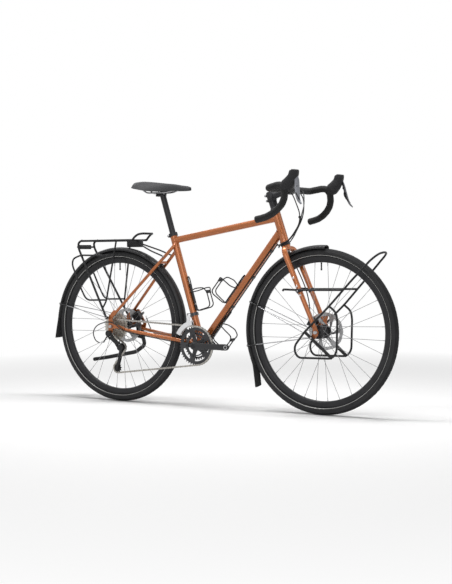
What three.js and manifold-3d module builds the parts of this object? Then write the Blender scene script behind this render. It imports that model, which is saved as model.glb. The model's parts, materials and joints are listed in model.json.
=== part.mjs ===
// Touring bicycle, in millimetres: +X points forward, +Y to the rider's left, +Z up.
// The bicycle group stands on the ground with its origin under the middle of its box.
// Inside the group, X starts at the rear axle and Z at the ground.
import * as THREE from 'three';
import { mergeVertices } from 'three/addons/utils/BufferGeometryUtils.js';
import Module from 'manifold-3d';

// Fits
const fitGap = 0.3;
const overrun = 4;
const weldDepth = 1.5;
const meshTolerance = 0.08;

// Main geometry
const wheelbase = 1044;
const tyreRadius = 348;
const bracketDrop = 75;
const chainstayLength = 455;
const seatAngle = 73;
const headAngle = 71.5;
const forkRake = 45;

// Frame tubes
const seatTubeRadius = 15.9;
const topTubeRadius = 15;
const seatTubeLength = 521;
const headTubeStart = 410;
const headTubeEnd = 555;
const topTubeSeatDrop = 34;
const topTubeSeatHeight = seatTubeLength - topTubeSeatDrop;
const topTubeHeadDrop = 35;
const topTubeHeadHeight = headTubeEnd - topTubeHeadDrop;
const downTubeRadius = 17.5;
const downTubeHeadRise = 54;
const downTubeHeadHeight = headTubeStart + downTubeHeadRise;
const headTubeRadius = 18.5;
const headRingRadius = 20.5;
const headRingLength = 9;
const shellRadius = 20.5;
const shellHalfWidth = 34;
const shellBoreRadius = 17.5;
const bracketCupWidth = 7;
const chainstayRadius = 9;
const chainstayEndRadius = 7;
const chainstaySpread = 24;
const chainstayForward = 30;
const chainstayRise = 9;
const seatstayRadius = 7.5;
const seatstayEndRadius = 6.5;
const seatstaySpread = 17;
const seatstayDrop = 59;
const seatstayHeight = seatTubeLength - seatstayDrop;
const bridgeRadius = 6;
const bossRadius = 5;
const bossHeight = 3;
const seatpostBoreDepth = 260;
const seatBridgeShare = 0.25;
const stayBridgeShare = 0.12;
const mainSides = 10;
const staySides = 8;

// Dropouts
const dropoutHalfGap = 67.5;
const dropoutThickness = 6;
const dropoutLength = 76;
const dropoutRise = 76;
const hangerDrop = 32;
const hangerSetback = 8;
const caliperTabThickness = 5;
const boltRadius = 2.5;
const hangerBoltRadius = 5;
const rearEyeletBack = 17;
const rearEyeletRise = 40;
const frontEyeletBack = 14;
const frontEyeletDrop = 22;
// Outlines as shares of the dropout's length and rise, from the axle
const dropoutShares = [
  [-0.2, 0], [-0.13, -0.18], [0.05, -0.25], [0.96, -0.26], [0.98, -0.04], [0.52, 0.16],
  [0.46, 0.94], [0.2, 1], [-0.12, 0.72], [-0.32, 0.62], [-0.32, 0.42], [-0.18, 0.3],
];
const hangerShares = [[-0.17, 0], [-0.26, -0.42], [-0.2, -0.55], [-0.02, -0.55], [0.1, -0.2]];
const caliperTabShares = [[0.3, 0], [1.2, -0.16], [1.26, 0.12], [0.72, 1], [0.3, 0.9]];

// Seatpost and saddle
const seatpostRadius = 13.6;
const seatpostTop = 698;
const seatpostInsertion = 170;
const postHeadLength = 40;
const postHeadWidth = 52;
const postHeadHeight = 27;
const railRadius = 3.5;
const railSpread = 22;
const railRise = 12.5;
const saddleLength = 302;
const saddleWidth = 156;
const saddleTailX = 95;
const saddleRise = 54;
const saddleDepth = 44;
const saddleFall = 2.6;
// Share of the length, of the half width, and heights of crown and edge as shares of the depth
const saddleShares = [
  [0, 0.42, 0.9, 0.45], [0.06, 0.78, 0.97, 0.3], [0.18, 1, 1, 0.14], [0.3, 0.9, 0.94, -0.02],
  [0.42, 0.64, 0.85, -0.12], [0.55, 0.4, 0.76, -0.12], [0.7, 0.29, 0.66, -0.1],
  [0.85, 0.235, 0.48, -0.12], [0.95, 0.2, 0.33, -0.1], [1, 0.1, 0.2, -0.02],
];
const seatClampHeight = 16;
const seatClampWall = 4;
const clampBoltRadius = 2.6;

// Headset, fork and stem
const steererRadius = 14.3;
const headBoreRadius = 15.6;
const cupLength = 13;
const cupRadius = 21;
const crownRadius = 19;
const crownDepth = 24;
const bladeRadius = 12.5;
const bladeEndRadius = 8.5;
const bladeSpread = 50;
const bladeShoulderDrop = 52;
const forkHalfGap = 50;
const forkTipThickness = 6;
const forkTipLength = 34;
// Outlines as shares of the tip's length, from the axle
const forkTipShares = [
  [-0.35, 0], [-0.6, -0.45], [-0.62, -0.85], [-0.2, -0.85],
  [0.32, -0.3], [0.35, 0.05], [0, 0.9], [-0.5, 0.9],
];
const frontTabShares = [[-0.3, 0.4], [0.2, 2.2], [-1, 2.3], [-2.5, 1.4], [-2.3, 0.5]];
const coverHeight = 12;
const spacerHeight = 28;
const spacerRadius = 17.5;
const stemClampHeight = 38;
const stemClampRadius = 19.5;
const stemLength = 91;
const stemBodyRadius = 14.5;
const topCapHeight = 5;
const faceplateWidth = 46;

// Handlebar, tape, hoods and levers, measured from the clamp centre
const barRadius = 11.9;
const barBulgeRadius = 15.9;
const barBulgeHalfWidth = 40;
const barTopHalfWidth = 178;
const barEndHalfWidth = 233;
const barReach = 91;
const barDrop = 131;
const barEndSetback = 26;
const tapeRadius = 15;
const tapeStart = 46;
const barSides = 8;
// Half of the bar: share of the reach, share between top and end half width, share of the drop
const barShares = [
  [0.04, 0, 0], [0.2, 0.13, 0.02], [0.76, 0.36, 0.06], [0.95, 0.44, -0.06],
  [1, 0.5, -0.28], [0.92, 0.59, -0.5], [0.66, 0.74, -0.72], [0.25, 0.88, -0.9],
];
const hoodLength = 78;
const hoodWidth = 30;
const hoodHeight = 42;
const leverLength = 118;
const leverWidth = 14;
const leverThickness = 7;
const leverPinRadius = 2;
const leverPinShare = 0.4;
const leverEyeRadius = 5;
const paddlePinLength = 14;
const paddleEyeLength = 6;
const paddlePinShare = [0.14, -0.25];
// Stations along a centre line: shares of length forward and height up, and the section's scale
const hoodShares = [
  [0, 0, 0.55], [0.25, 0.35, 1], [0.42, 0.7, 1.05],
  [0.52, 1.15, 0.95], [0.55, 1.62, 0.8], [0.54, 1.86, 0.35],
];
const leverShares = [
  [0.02, 0.06, 0.6], [0.1, -0.14, 0.9], [0.2, -0.42, 1],
  [0.3, -0.68, 1], [0.38, -0.84, 0.9], [0.5, -0.96, 0.6],
];
const paddleShares = [[0.06, -0.26, 0.7], [0.03, -0.44, 1], [0.12, -0.62, 1.1], [0.25, -0.8, 0.5]];

// Wheels
const wheelFacets = 28;
const tyreWidth = 37;
const treadHalfWidth = 5;
const tyreWallShares = [[-0.42, 0.97], [0.4, 1]];
const beadHalfWidth = 8.2;
const rimFlangeRadius = 316.5;
const rimBedRadius = 311.5;
const rimInnerRadius = 290;
const rimHalfWidth = 11.8;
const rimFloorHalfWidth = 5;
const spokeCount = 32;
const hubFacets = 10;
const spokeRadius = 1.2;
const spokeCrossingAngle = 61.875;
const spokeRimOffset = 2.5;
const spokeApart = 0.4;
const flangeRadius = 29;
const flangeHoleRadius = 26;
const flangeThickness = 3;
const barrelRadius = 13;
const axleRadius = 5;
const locknutRadius = 9;
const frontFlangeOffset = 30;
const rearFlangeRight = 19;
const rearFlangeLeft = 31;
const rotorRadius = 80;
const rotorThickness = 1.8;
const rotorTrackWidth = 15;
const rotorSetIn = 10.6;
const rearRotorSetIn = 15.3;
const rotorSeatRadius = 20;
const rotorBoreRadius = 17.5;
const axleNutRadius = 9;
const axleNutThickness = 9;

// Drive
const linkPitch = 12.7;
const ringTeeth = 42;
const innerRingTeeth = 30;
const cogTeeth = [11, 13, 16, 20, 25, 32];
const chainClearance = 0.4;
const drivenCog = 2;
const pulleyTeeth = 11;
const cogSpacing = 5.2;
const toothThickness = 1.8;
const chainPlane = -50;
const ringSpacing = 7;
const rollerRadius = 3.85;
const innerPlateFrom = 1.3;
const plateStep = 2.35;
const outerPlateTo = 3.4;
const toothRootDepth = 4.9;
const toothFlankOffset = 3.9;
const toothFlankDepth = 2.2;
const toothTipHeight = 3.4;
const boltCircleRadius = 47;
const ringBoreRadius = 40;
const spindleRadius = 12;
const spiderThickness = 4.2;
const spiderArmWidth = 13;
const crankLength = 170;
const crankBossRadius = 17;
const crankEyeRadius = 13.5;
const crankThickness = 13;
const crankInnerFace = 60.5;
const crankFlare = 7;
const pedalHoleRadius = 7.1;
const freehubRadius = 17;
const spiderArms = 5;
const boltSides = 5;

// Derailleurs
const guidePulleyForward = 44;
const guidePulleyDrop = 96;
const cageLength = 98;
const cageRestAngle = -104.5;
const cagePlateThickness = 1.6;
const cagePlateOffset = 4.6;
const cagePlateHalfWidth = 9;
const pulleyBoltRadius = 2.5;
const pulleyHubRadius = 6;
const knuckleRadius = 11;
const knuckleLength = 15;
const linkHalfHeight = 8.5;
const linkThickness = 13;
const frontMechHeight = 141;
const frontCageInner = 92.5;
const frontCageOuter = 113;
const frontCageHalfGap = 6;
const frontCageThickness = 1.6;
const frontCageStartAngle = 100;
const frontCageSpanAngle = 52;
const frontBandWidth = 14;
const frontMechSetback = 4;
const frontMechOut = 32;
const frontPinLength = 22;
const frontEarThickness = 3;
const mechKnuckle = 5;
const linkPinOffset = 22;
const linkEarThickness = 3;
const mechStopBack = 30;
const mechStopDrop = 42;

// Brakes
const caliperRadius = 71;
const caliperLength = 40;
const caliperHeight = 37;
const caliperSlot = 4;
const caliperArmLength = 36;
const caliperArmThickness = 3;
const caliperBoltOffset = 15;
const rearCaliperAngle = 35;
const frontCaliperAngle = 150;
const frontCaliperInner = 29;
const rearCaliperInner = 41;

// Luggage racks: corners are measured from the axle below, as forward, outward and up
const rackRodRadius = 5;
const rackHalfWidth = 55;
const rackDeckHeight = 742;
const deckRise = rackDeckHeight - tyreRadius;
const rackSideCorners = [
  [-17, 86, 40], [-195, 60, deckRise - 34], [-197, 58, deckRise - 12], [-186, 56, deckRise - 1],
  [112, 55, deckRise], [134, 50, deckRise + 28], [158, 42, deckRise + 24],
];
const rackStrutCorners = [[21, 55, deckRise], [-29, 70, 113], [-41, 82, 84]];
const pannierCorners = [
  [9, 58.7, deckRise - 70], [-181, 66, deckRise - 67], [-222, 68, deckRise - 84],
  [-227, 68, deckRise - 112], [-174, 70, 170], [-151, 70, 131], [-132, 70, 119], [-29, 70, 121],
];
const rackCrossBars = [-182, -90, 10, 108];
const rackBlockFrom = 47;
const rackBlockLength = 79;
const rackBlockWidth = 24;
const rackBlockDrop = 16;
const lightPlateBack = 204;
const lightPlateDrop = 29;
const lightPlateThickness = 3;
const lightPlateWidth = 92;
const lightPlateHeight = 20;
const rackBossShare = 0.155;
const rackStayBendShare = 0.45;
const lowriderRodRadius = 4.5;
const lowriderHalfWidth = 70;
const lowriderSide = [[-45, 67, 3], [73, 69, 114], [167, 70, 214], [276, 70, 315], [290, 58, 328]];
const lowriderLoop = [
  [70, 69, 111], [101, 69, 87], [107, 69, 54], [103, 69, -78], [82, 69, -104],
  [-73, 69, -106], [-91, 69, -85], [-91, 69, -56], [-45, 67, 3],
];
const lowriderStripEnd = 3;
const lowriderRail = [[-146, 70, 170], [-143, 70, 178], [-75, 70, 176], [131, 70, 178]];
const lowriderClampHeight = 187;
const lowriderClampForward = 28;
const lowriderClampOut = 1.6;
const lowriderClampWidth = 14;

// Mudguards
const guardRadius = 361;
const guardHalfWidth = 22;
const guardSag = 9;
const guardSheet = 2;
const guardStayRadius = 2;
const guardEyeThickness = 6;
const guardStepAngle = 13;
const rearGuardStartAngle = -9;
const rearGuardEndAngle = 190;
const rearFlapSpanAngle = 16;
const rearFlapFlare = 26;
const rearStayAngle = 164;
const frontGuardStartAngle = 86;
const frontGuardEndAngle = 218;
const frontFlapSpanAngle = 15;
const frontFlapFlare = 40;
const frontStayAngles = [160, 191];
const archShares = [[-1, 0], [-0.55, 0.9], [0.55, 0.9], [1, 0]];

// Bottle cages
const cageWireRadius = 2.6;
const bottleRadius = 38;
const bottleCageLength = 124;
const cageStripWidth = 16;
const cageStripThickness = 3.5;
const bottleBossSpacing = 64;
const seatCageHeight = 215;
const downCageHeight = 285;
const lowerCageHeight = 118;
const cageClipLength = 14;
const cageClipWidth = 32;
const cageClipShares = [0.52, 1.08, 0];
// A side of the wire: shares of the cage's length, of the bottle's diameter and of its radius
const cageWireShares = [
  [0.04, 0, 0.15], [-0.02, 0.12, 0.2], [-0.03, 0.92, 0.34], [0.05, 1.08, 0.36], [0.5, 1.08, 0.34],
  [0.68, 1.04, 0.7], [0.73, 0.62, 1.02], [0.71, 0.16, 0.8], [0.7, 0, 0.16],
];
const cageTabShares = [
  [0.9, 0, 0.15], [1.2, 0, 0.16], [1.27, 0, 0.08], [1.27, 0, -0.08], [1.2, 0, -0.16], [0.9, 0, -0.15],
];

// Kickstand
const standPivotForward = 62;
const standPivotHeight = 296;
const standRodRadius = 6.5;
const standFootRadius = 9;
const standBoltSpacing = 24;
const standPlateThickness = 6;
const standHubRadius = 11;
const standHubLength = 14;
const standPlateShares = [[-0.55, -0.15], [0.1, -0.27], [0.4, 0], [0.3, 1.3], [-0.7, 1.3]];

const standCorners = [
  [0, 0, 0], [13, 0, -40], [-40, 1, -75], [-84, 3, -83], [-209, 8, -107], [-298, 12, -121],
];

// Cables
const housingRadius = 2.4;
const housingSpread = 12;
const housingClips = [545, 400, 235];
const housingPull = 20;
const housingEntry = 585;
const shellTurnAngles = [-39, -80, -121];
// Runs along the stays: a share of the chainstay, or forward, left and up from the rear axle.
const rearMechRun = [
  [0.8, 0, 0, 0], [0, 90, -73, -22], [0, 58, -79.5, -8], [0, 30, -80, 10],
  [0, 0, -80, 20], [0, -37, -80, 17],
  [0, -80, -80, -1], [0, -98, -79, -30], [0, -86, -80, -63], [0, -64, -81, -75], [0, -47, -81, -75],
];
const rearBrakeRun = [
  [0.7, 0, 0, 0], [0, 130, 68, -27], [0, 112, 69, 2], [0, 102, 66.5, 30], [0, 98.9, 65.2, 44.7],
];
// Runs at the bar, measured from the clamp centre
const controlRunRight = [
  [16.6, -80, -2], [38, -54, -16], [60, -45, -66], [71, -40, -106], [66, -36.5, -143], [42, -34, -181],
  [13, -32.5, -212], [-24, -30, -230], [-55, -15, -236],
];
const controlRunLeft = [
  [16.6, 80, -2], [44, 46, -14], [67, 6, -66], [75, -28, -106], [66, -31, -143], [42, -28, -181],
  [13, -26.5, -212], [-27, -25, -232], [-47, -8, -244], [-56, 10.5, -237],
];
const controlTie = [70, -37, -118];
const frontBrakeRun = [
  [14.5, 62, -5.2], [38, 55, -40], [38, 50, -110], [0, 46, -190], [-31, 46, -240], [-21, 54, -285],
  [12, 56, -345], [51, 54, -428], [68, 50, -495],
];

// Colours
const paint = new THREE.MeshStandardMaterial({ color: 0xb4602f, roughness: 0.35, metalness: 0.55 });
const blackMetal = new THREE.MeshStandardMaterial({ color: 0x1c1d1f, roughness: 0.45, metalness: 0.6 });
const blackPlastic = new THREE.MeshStandardMaterial({ color: 0x17181a, roughness: 0.6, metalness: 0 });
const rubber = new THREE.MeshStandardMaterial({ color: 0x202123, roughness: 0.9, metalness: 0 });
const vinyl = new THREE.MeshStandardMaterial({ color: 0x35363a, roughness: 0.7, metalness: 0 });
const silver = new THREE.MeshStandardMaterial({ color: 0xb9bbbd, roughness: 0.3, metalness: 0.9 });
const greyMetal = new THREE.MeshStandardMaterial({ color: 0x6b6d70, roughness: 0.4, metalness: 0.8 });

const wasm = await Module();
wasm.setup();

// Directions and places
const radians = THREE.MathUtils.degToRad;
const point = (x, y, z) => new THREE.Vector3(x, y, z);
const lateral = point(0, 1, 0);
const seatUp = point(-Math.cos(radians(seatAngle)), 0, Math.sin(radians(seatAngle)));
const steerUp = point(-Math.cos(radians(headAngle)), 0, Math.sin(radians(headAngle)));
const steerForward = point(Math.sin(radians(headAngle)), 0, Math.cos(radians(headAngle)));
const rearAxle = point(0, 0, tyreRadius);
const frontAxle = point(wheelbase, 0, tyreRadius);
const bracketForward = Math.sqrt(chainstayLength ** 2 - bracketDrop ** 2);
const bracket = point(bracketForward, 0, tyreRadius - bracketDrop);
const steerFoot = frontAxle.clone().addScaledVector(steerForward, -forkRake);
const pitch = linkPitch / (2 * Math.PI);

const shifted = (from, x, y, z) => from.clone().add(point(x, y, z));
const seatTubeAt = (height, forward = 0) => bracket.clone().addScaledVector(seatUp, height)
  .addScaledVector(point(seatUp.z, 0, -seatUp.x), forward);
const steererAt = (height, forward = 0, y = 0) => steerFoot.clone().addScaledVector(steerUp, height)
  .addScaledVector(steerForward, forward).setY(y);
const clampHeight = headTubeEnd + fitGap + coverHeight + spacerHeight + fitGap;
const barCentre = steererAt(clampHeight + stemClampHeight / 2, stemLength);
const polar = (centre, radius, angle) => point(
  centre.x + radius * Math.cos(angle),
  centre.y,
  centre.z + radius * Math.sin(angle),
);

// Solids
function solidOf(geometry) {
  const bare = geometry.clone();
  bare.deleteAttribute('normal');
  bare.deleteAttribute('uv');
  const merged = mergeVertices(bare, 1e-4);
  const vertProperties = Float32Array.from(merged.attributes.position.array);
  const triVerts = Uint32Array.from(merged.index.array);
  const solid = new wasm.Manifold(new wasm.Mesh({ numProp: 3, vertProperties, triVerts }));
  if (solid.volume() > 0) {
    return solid;
  }
  for (let face = 0; face < triVerts.length; face += 3) {
    [triVerts[face], triVerts[face + 1]] = [triVerts[face + 1], triVerts[face]];
  }
  return new wasm.Manifold(new wasm.Mesh({ numProp: 3, vertProperties, triVerts }));
}

function geometryOf(solid) {
  const mesh = solid.getMesh();
  const geometry = new THREE.BufferGeometry();
  geometry.setAttribute('position', new THREE.BufferAttribute(Float32Array.from(mesh.vertProperties), 3));
  geometry.setIndex(Array.from(mesh.triVerts));
  geometry.computeVertexNormals();
  return geometry;
}

const joined = (solids) => solids.reduce((whole, solid) => whole.add(solid));
const cut = (solid, tools) => tools.reduce((rest, tool) => rest.subtract(tool), solid);
const offsetFor = (radius, sides) => radius + fitGap / Math.cos(Math.PI / sides);
const boreFor = (radius, sides) => (radius + fitGap) / Math.cos(Math.PI / sides);

// A straight round bar, tapered where the end radius differs.
function rod(from, to, radius, sides = 8, endRadius = radius) {
  const along = to.clone().sub(from);
  const geometry = new THREE.CylinderGeometry(endRadius, radius, along.length(), sides);
  const turn = new THREE.Quaternion().setFromUnitVectors(lateral, along.clone().normalize());
  geometry.applyQuaternion(turn);
  const middle = from.clone().lerp(to, 0.5);
  geometry.translate(middle.x, middle.y, middle.z);
  return solidOf(geometry);
}

// A ring or boss turned about the lateral axis through a centre; the profile lists [radius, y].
function turned(profile, facets, centre = point(0, 0, 0), phase = 0) {
  const closed = profile.map(([radius, y]) => new THREE.Vector2(radius, y));
  if (profile[0][0] > 0) {
    closed.push(closed[0].clone());
  }
  const geometry = new THREE.LatheGeometry(closed, facets, phase);
  geometry.translate(centre.x, centre.y, centre.z);
  return solidOf(geometry);
}

// A ring turned about any axis: the profile lists [radius, height along the axis].
function turnedAlong(profile, facets, foot, axis) {
  const closed = profile.map(([radius, height]) => new THREE.Vector2(radius, height));
  closed.push(closed[0].clone());
  const geometry = new THREE.LatheGeometry(closed, facets);
  geometry.applyQuaternion(new THREE.Quaternion().setFromUnitVectors(lateral, axis));
  geometry.translate(foot.x, foot.y, foot.z);
  return solidOf(geometry);
}

// A flat plate cut from a side view: outline and holes list [x, z] about a centre.
function plate(centre, outline, fromY, toY, holes = []) {
  const shape = new THREE.Shape(outline.map(([x, z]) => new THREE.Vector2(x, z)));
  for (const hole of holes) {
    shape.holes.push(new THREE.Path(hole.map(([x, z]) => new THREE.Vector2(x, z))));
  }
  const low = Math.min(fromY, toY);
  const high = Math.max(fromY, toY);
  const geometry = new THREE.ExtrudeGeometry(shape, { depth: high - low, bevelEnabled: false });
  geometry.rotateX(Math.PI / 2);
  geometry.translate(centre.x, centre.y + high, centre.z);
  return solidOf(geometry);
}

function block(centre, length, width, height, tilt = 0) {
  const geometry = new THREE.BoxGeometry(length, width, height);
  geometry.rotateY(-tilt);
  geometry.translate(centre.x, centre.y, centre.z);
  return solidOf(geometry);
}

const circle = (radius, sides, phase = 0) => Array.from({ length: sides }, (_, index) => {
  const angle = phase + (2 * Math.PI * index) / sides;
  return [radius * Math.cos(angle), radius * Math.sin(angle)];
});

// A closed skin over rings with the same number of points, capped at both ends.
function skin(rings, outline) {
  const count = outline.length;
  const faces = [];
  for (let ring = 0; ring + 1 < rings.length; ring += 1) {
    for (let index = 0; index < count; index += 1) {
      const a = ring * count + index;
      const b = ring * count + ((index + 1) % count);
      faces.push(a, b, b + count, a, b + count, a + count);
    }
  }
  const last = (rings.length - 1) * count;
  const flat = outline.map(([u, v]) => new THREE.Vector2(u, v));
  const clockwise = THREE.ShapeUtils.isClockWise(flat);
  for (const [a, b, c] of THREE.ShapeUtils.triangulateShape(flat, [])) {
    const [p, q, r] = clockwise ? [c, b, a] : [a, b, c];
    faces.push(r, q, p, last + p, last + q, last + r);
  }
  const geometry = new THREE.BufferGeometry();
  const places = rings.flat().flatMap((corner) => [corner.x, corner.y, corner.z]);
  geometry.setAttribute('position', new THREE.Float32BufferAttribute(places, 3));
  geometry.setIndex(faces);
  return solidOf(geometry);
}

// Tangents and carried frames along a polyline.
function carriedFrames(points, start) {
  const frames = [];
  let side = start ? start.clone() : null;
  for (let index = 0; index < points.length; index += 1) {
    const before = points[Math.max(index - 1, 0)];
    const after = points[Math.min(index + 1, points.length - 1)];
    const along = after.clone().sub(before).normalize();
    if (!side) {
      side = Math.abs(along.y) < 0.9 ? lateral.clone() : point(0, 0, 1);
    }
    side = side.addScaledVector(along, -side.dot(along)).normalize();
    frames.push({ along, side: side.clone(), up: along.clone().cross(side) });
  }
  return frames;
}

// A profile carried along a polyline; each station may scale the profile.
function carried(points, outline, start, scales = []) {
  const frames = carriedFrames(points, start);
  const rings = points.map((place, index) => {
    const scale = scales[index] ?? 1;
    return outline.map(([u, v]) => place.clone()
      .addScaledVector(frames[index].side, u * scale)
      .addScaledVector(frames[index].up, v * scale));
  });
  return skin(rings, outline);
}

const wire = (points, radius, sides = 6, scales = []) => (
  carried(points, circle(radius, sides), null, scales)
);

// Straight runs between corners, each corner rounded by a short curve.
function bent(corners, cornerRadius, steps = 3) {
  const points = [corners[0]];
  for (let index = 1; index + 1 < corners.length; index += 1) {
    const corner = corners[index];
    const back = corners[index - 1].clone().sub(corner);
    const ahead = corners[index + 1].clone().sub(corner);
    const reach = Math.min(cornerRadius, back.length() / 2, ahead.length() / 2);
    const entry = corner.clone().addScaledVector(back.normalize(), reach);
    const exit = corner.clone().addScaledVector(ahead.normalize(), reach);
    points.push(...new THREE.QuadraticBezierCurve3(entry, corner, exit).getPoints(steps));
  }
  points.push(corners[corners.length - 1]);
  return points;
}

// Scene graph helpers
const bicycle = new THREE.Group();
bicycle.name = 'touring_bicycle';

function group(parent, place = point(0, 0, 0)) {
  const made = new THREE.Group();
  made.position.copy(place);
  parent.add(made);
  return made;
}

function add(parent, name, solid, material) {
  const mesh = new THREE.Mesh(geometryOf(solid.asOriginal().simplify(meshTolerance)), material);
  mesh.name = name;
  parent.add(mesh);
  return mesh;
}

// Frame
const chainstayFront = (side) => shifted(bracket, -chainstayForward, side * chainstaySpread, chainstayRise);
const chainstayRear = (side) => shifted(
  rearAxle,
  dropoutLength * 0.8,
  side * (dropoutHalfGap - dropoutThickness / 2),
  -dropoutRise * 0.15,
);
const seatstayTop = (side) => seatTubeAt(seatstayHeight).setY(side * seatstaySpread);
const seatstayFoot = (side) => shifted(
  rearAxle,
  dropoutLength * 0.32,
  side * (dropoutHalfGap + dropoutThickness / 2 - seatstayEndRadius / 2),
  dropoutRise * 0.86,
);
const onSeatstay = (side, share) => seatstayTop(side).lerp(seatstayFoot(side), share);
const onChainstay = (side, share) => chainstayFront(side).lerp(chainstayRear(side), share);

const sharesOf = (shares, length, height) => shares.map(([x, z]) => [x * length, z * height]);
const counted = (shares) => (THREE.ShapeUtils.isClockWise(shares.map(([x, z]) => new THREE.Vector2(x, z)))
  ? shares.slice().reverse() : shares);

function bottleBosses(foot, along, outward, spacing) {
  return [-0.5, 0.5].map((share) => {
    const base = foot.clone().addScaledVector(along, share * spacing);
    const top = base.clone().addScaledVector(outward, bossHeight);
    return rod(base.addScaledVector(outward, -weldDepth), top, bossRadius, 6);
  });
}

const downUp = steererAt(downTubeHeadHeight).sub(bracket).normalize();
const downAbove = point(-downUp.z, 0, downUp.x);
const seatAhead = point(seatUp.z, 0, -seatUp.x);
const seatCageFoot = seatTubeAt(seatCageHeight, seatTubeRadius);
const onDownTube = (height, above) => bracket.clone().addScaledVector(downUp, height)
  .addScaledVector(downAbove, above);
const downCageFoot = onDownTube(downCageHeight, downTubeRadius);
const lowerCageFoot = onDownTube(lowerCageHeight, -downTubeRadius);
const downBelow = downAbove.clone().negate();

// Bolt places and holes through the frame's and fork's plates.
const hangerPlace = shifted(rearAxle, -hangerSetback, 0, -hangerDrop);
const rearEyelets = [shifted(rearAxle, -rearEyeletBack, 0, rearEyeletRise)];
const frontEyelet = shifted(frontAxle, -frontEyeletBack, 0, -frontEyeletDrop);
const standBolts = [-1, 1].map((end) => shifted(
  rearAxle,
  standPivotForward * 0.85 + end * standBoltSpacing / 2,
  0,
  -boltRadius * 4,
));
const caliperAt = (axle, angle) => ({ centre: polar(axle, caliperRadius, angle), angle });
const rearCaliper = caliperAt(rearAxle, radians(rearCaliperAngle));
const frontCaliper = caliperAt(frontAxle, radians(frontCaliperAngle));
const caliperBolts = ({ centre, angle }) => [-1, 1].map((end) => (
  polar(centre, end * caliperBoltOffset, angle + Math.PI / 2)
));
const bar = (centre, halfWidth, radius, sides) => rod(
  shifted(centre, 0, -halfWidth, 0),
  shifted(centre, 0, halfWidth, 0),
  radius,
  sides,
);
const across = (place, reach, radius, side = 0) => rod(
  place.clone().setY(side > 0 ? 0 : -reach),
  place.clone().setY(side < 0 ? 0 : reach),
  boreFor(radius, 6),
  6,
);
const rackBossPlace = (side) => onSeatstay(side, rackBossShare);
const rackBoss = (side) => rod(
  rackBossPlace(side),
  shifted(rackBossPlace(side), 0, side * (seatstayRadius + bossHeight), 0),
  bossRadius,
  6,
);

function buildFrame() {
  const parts = [
    bar(bracket, shellHalfWidth, shellRadius, mainSides),
    rod(bracket, seatTubeAt(seatTubeLength), seatTubeRadius, mainSides),
    rod(steererAt(headTubeStart), steererAt(headTubeEnd), headTubeRadius, mainSides),
    rod(steererAt(headTubeStart), steererAt(headTubeStart + headRingLength), headRingRadius, mainSides),
    rod(steererAt(headTubeEnd - headRingLength), steererAt(headTubeEnd), headRingRadius, mainSides),
    rod(seatTubeAt(topTubeSeatHeight), steererAt(topTubeHeadHeight), topTubeRadius, mainSides),
    rod(bracket, steererAt(downTubeHeadHeight), downTubeRadius, mainSides),
    ...bottleBosses(seatCageFoot, seatUp, seatAhead, bottleBossSpacing),
    ...bottleBosses(downCageFoot, downUp, downAbove, bottleBossSpacing),
    ...bottleBosses(lowerCageFoot, downUp, downBelow, bottleBossSpacing),
  ];
  for (const side of [-1, 1]) {
    const front = chainstayFront(side);
    const root = bracket.clone().setY(side * chainstaySpread * 0.75);
    parts.push(rod(root, front, chainstayRadius, staySides));
    parts.push(rod(front, chainstayRear(side), chainstayRadius, staySides, chainstayEndRadius));
    parts.push(rod(seatTubeAt(seatstayHeight), seatstayTop(side), seatstayRadius, staySides));
    parts.push(rod(seatstayTop(side), seatstayFoot(side), seatstayRadius, staySides, seatstayEndRadius));
    const inner = side * dropoutHalfGap;
    const outer = side * (dropoutHalfGap + dropoutThickness);
    parts.push(plate(rearAxle, counted(sharesOf(dropoutShares, dropoutLength, dropoutRise)), inner, outer));
  }
  parts.push(plate(
    rearAxle,
    counted(sharesOf(hangerShares, dropoutLength, dropoutRise)),
    -dropoutHalfGap,
    -dropoutHalfGap - dropoutThickness,
  ));
  parts.push(plate(
    rearAxle,
    counted(sharesOf(caliperTabShares, dropoutLength, dropoutRise)),
    dropoutHalfGap,
    dropoutHalfGap + caliperTabThickness,
  ));
  parts.push(rod(onSeatstay(-1, seatBridgeShare), onSeatstay(1, seatBridgeShare), bridgeRadius));
  parts.push(rod(onChainstay(-1, stayBridgeShare), onChainstay(1, stayBridgeShare), bridgeRadius));
  parts.push(...[-1, 1].map((side) => rackBoss(side)));
  const dropoutAcross = dropoutHalfGap + dropoutThickness + overrun;
  return cut(joined(parts), [
    ...rearEyelets.map((place) => across(place, dropoutAcross, boltRadius)),
    ...standBolts.map((place) => across(place, dropoutAcross, boltRadius, 1)),
    ...caliperBolts(rearCaliper).map((place) => across(place, dropoutAcross, boltRadius, 1)),
    across(hangerPlace, dropoutAcross, hangerBoltRadius, -1),
    rod(
      seatTubeAt(seatTubeLength - seatpostBoreDepth),
      seatTubeAt(seatTubeLength + overrun),
      boreFor(seatpostRadius, mainSides),
      mainSides,
    ),
    rod(steererAt(headTubeStart - overrun), steererAt(headTubeEnd + overrun), headBoreRadius, mainSides),
    bar(bracket, shellHalfWidth + overrun, shellBoreRadius, mainSides),
    bar(rearAxle, dropoutAcross, boreFor(axleRadius, 8), 8),
  ]);
}

// Ring of the given wall between two heights on a tube's axis.
const sleeve = (at, axis, bore, outer, from, to, facets = mainSides) => turnedAlong(
  [[bore, from], [outer, from], [outer, to], [bore, to]],
  facets,
  at,
  axis,
);

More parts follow.
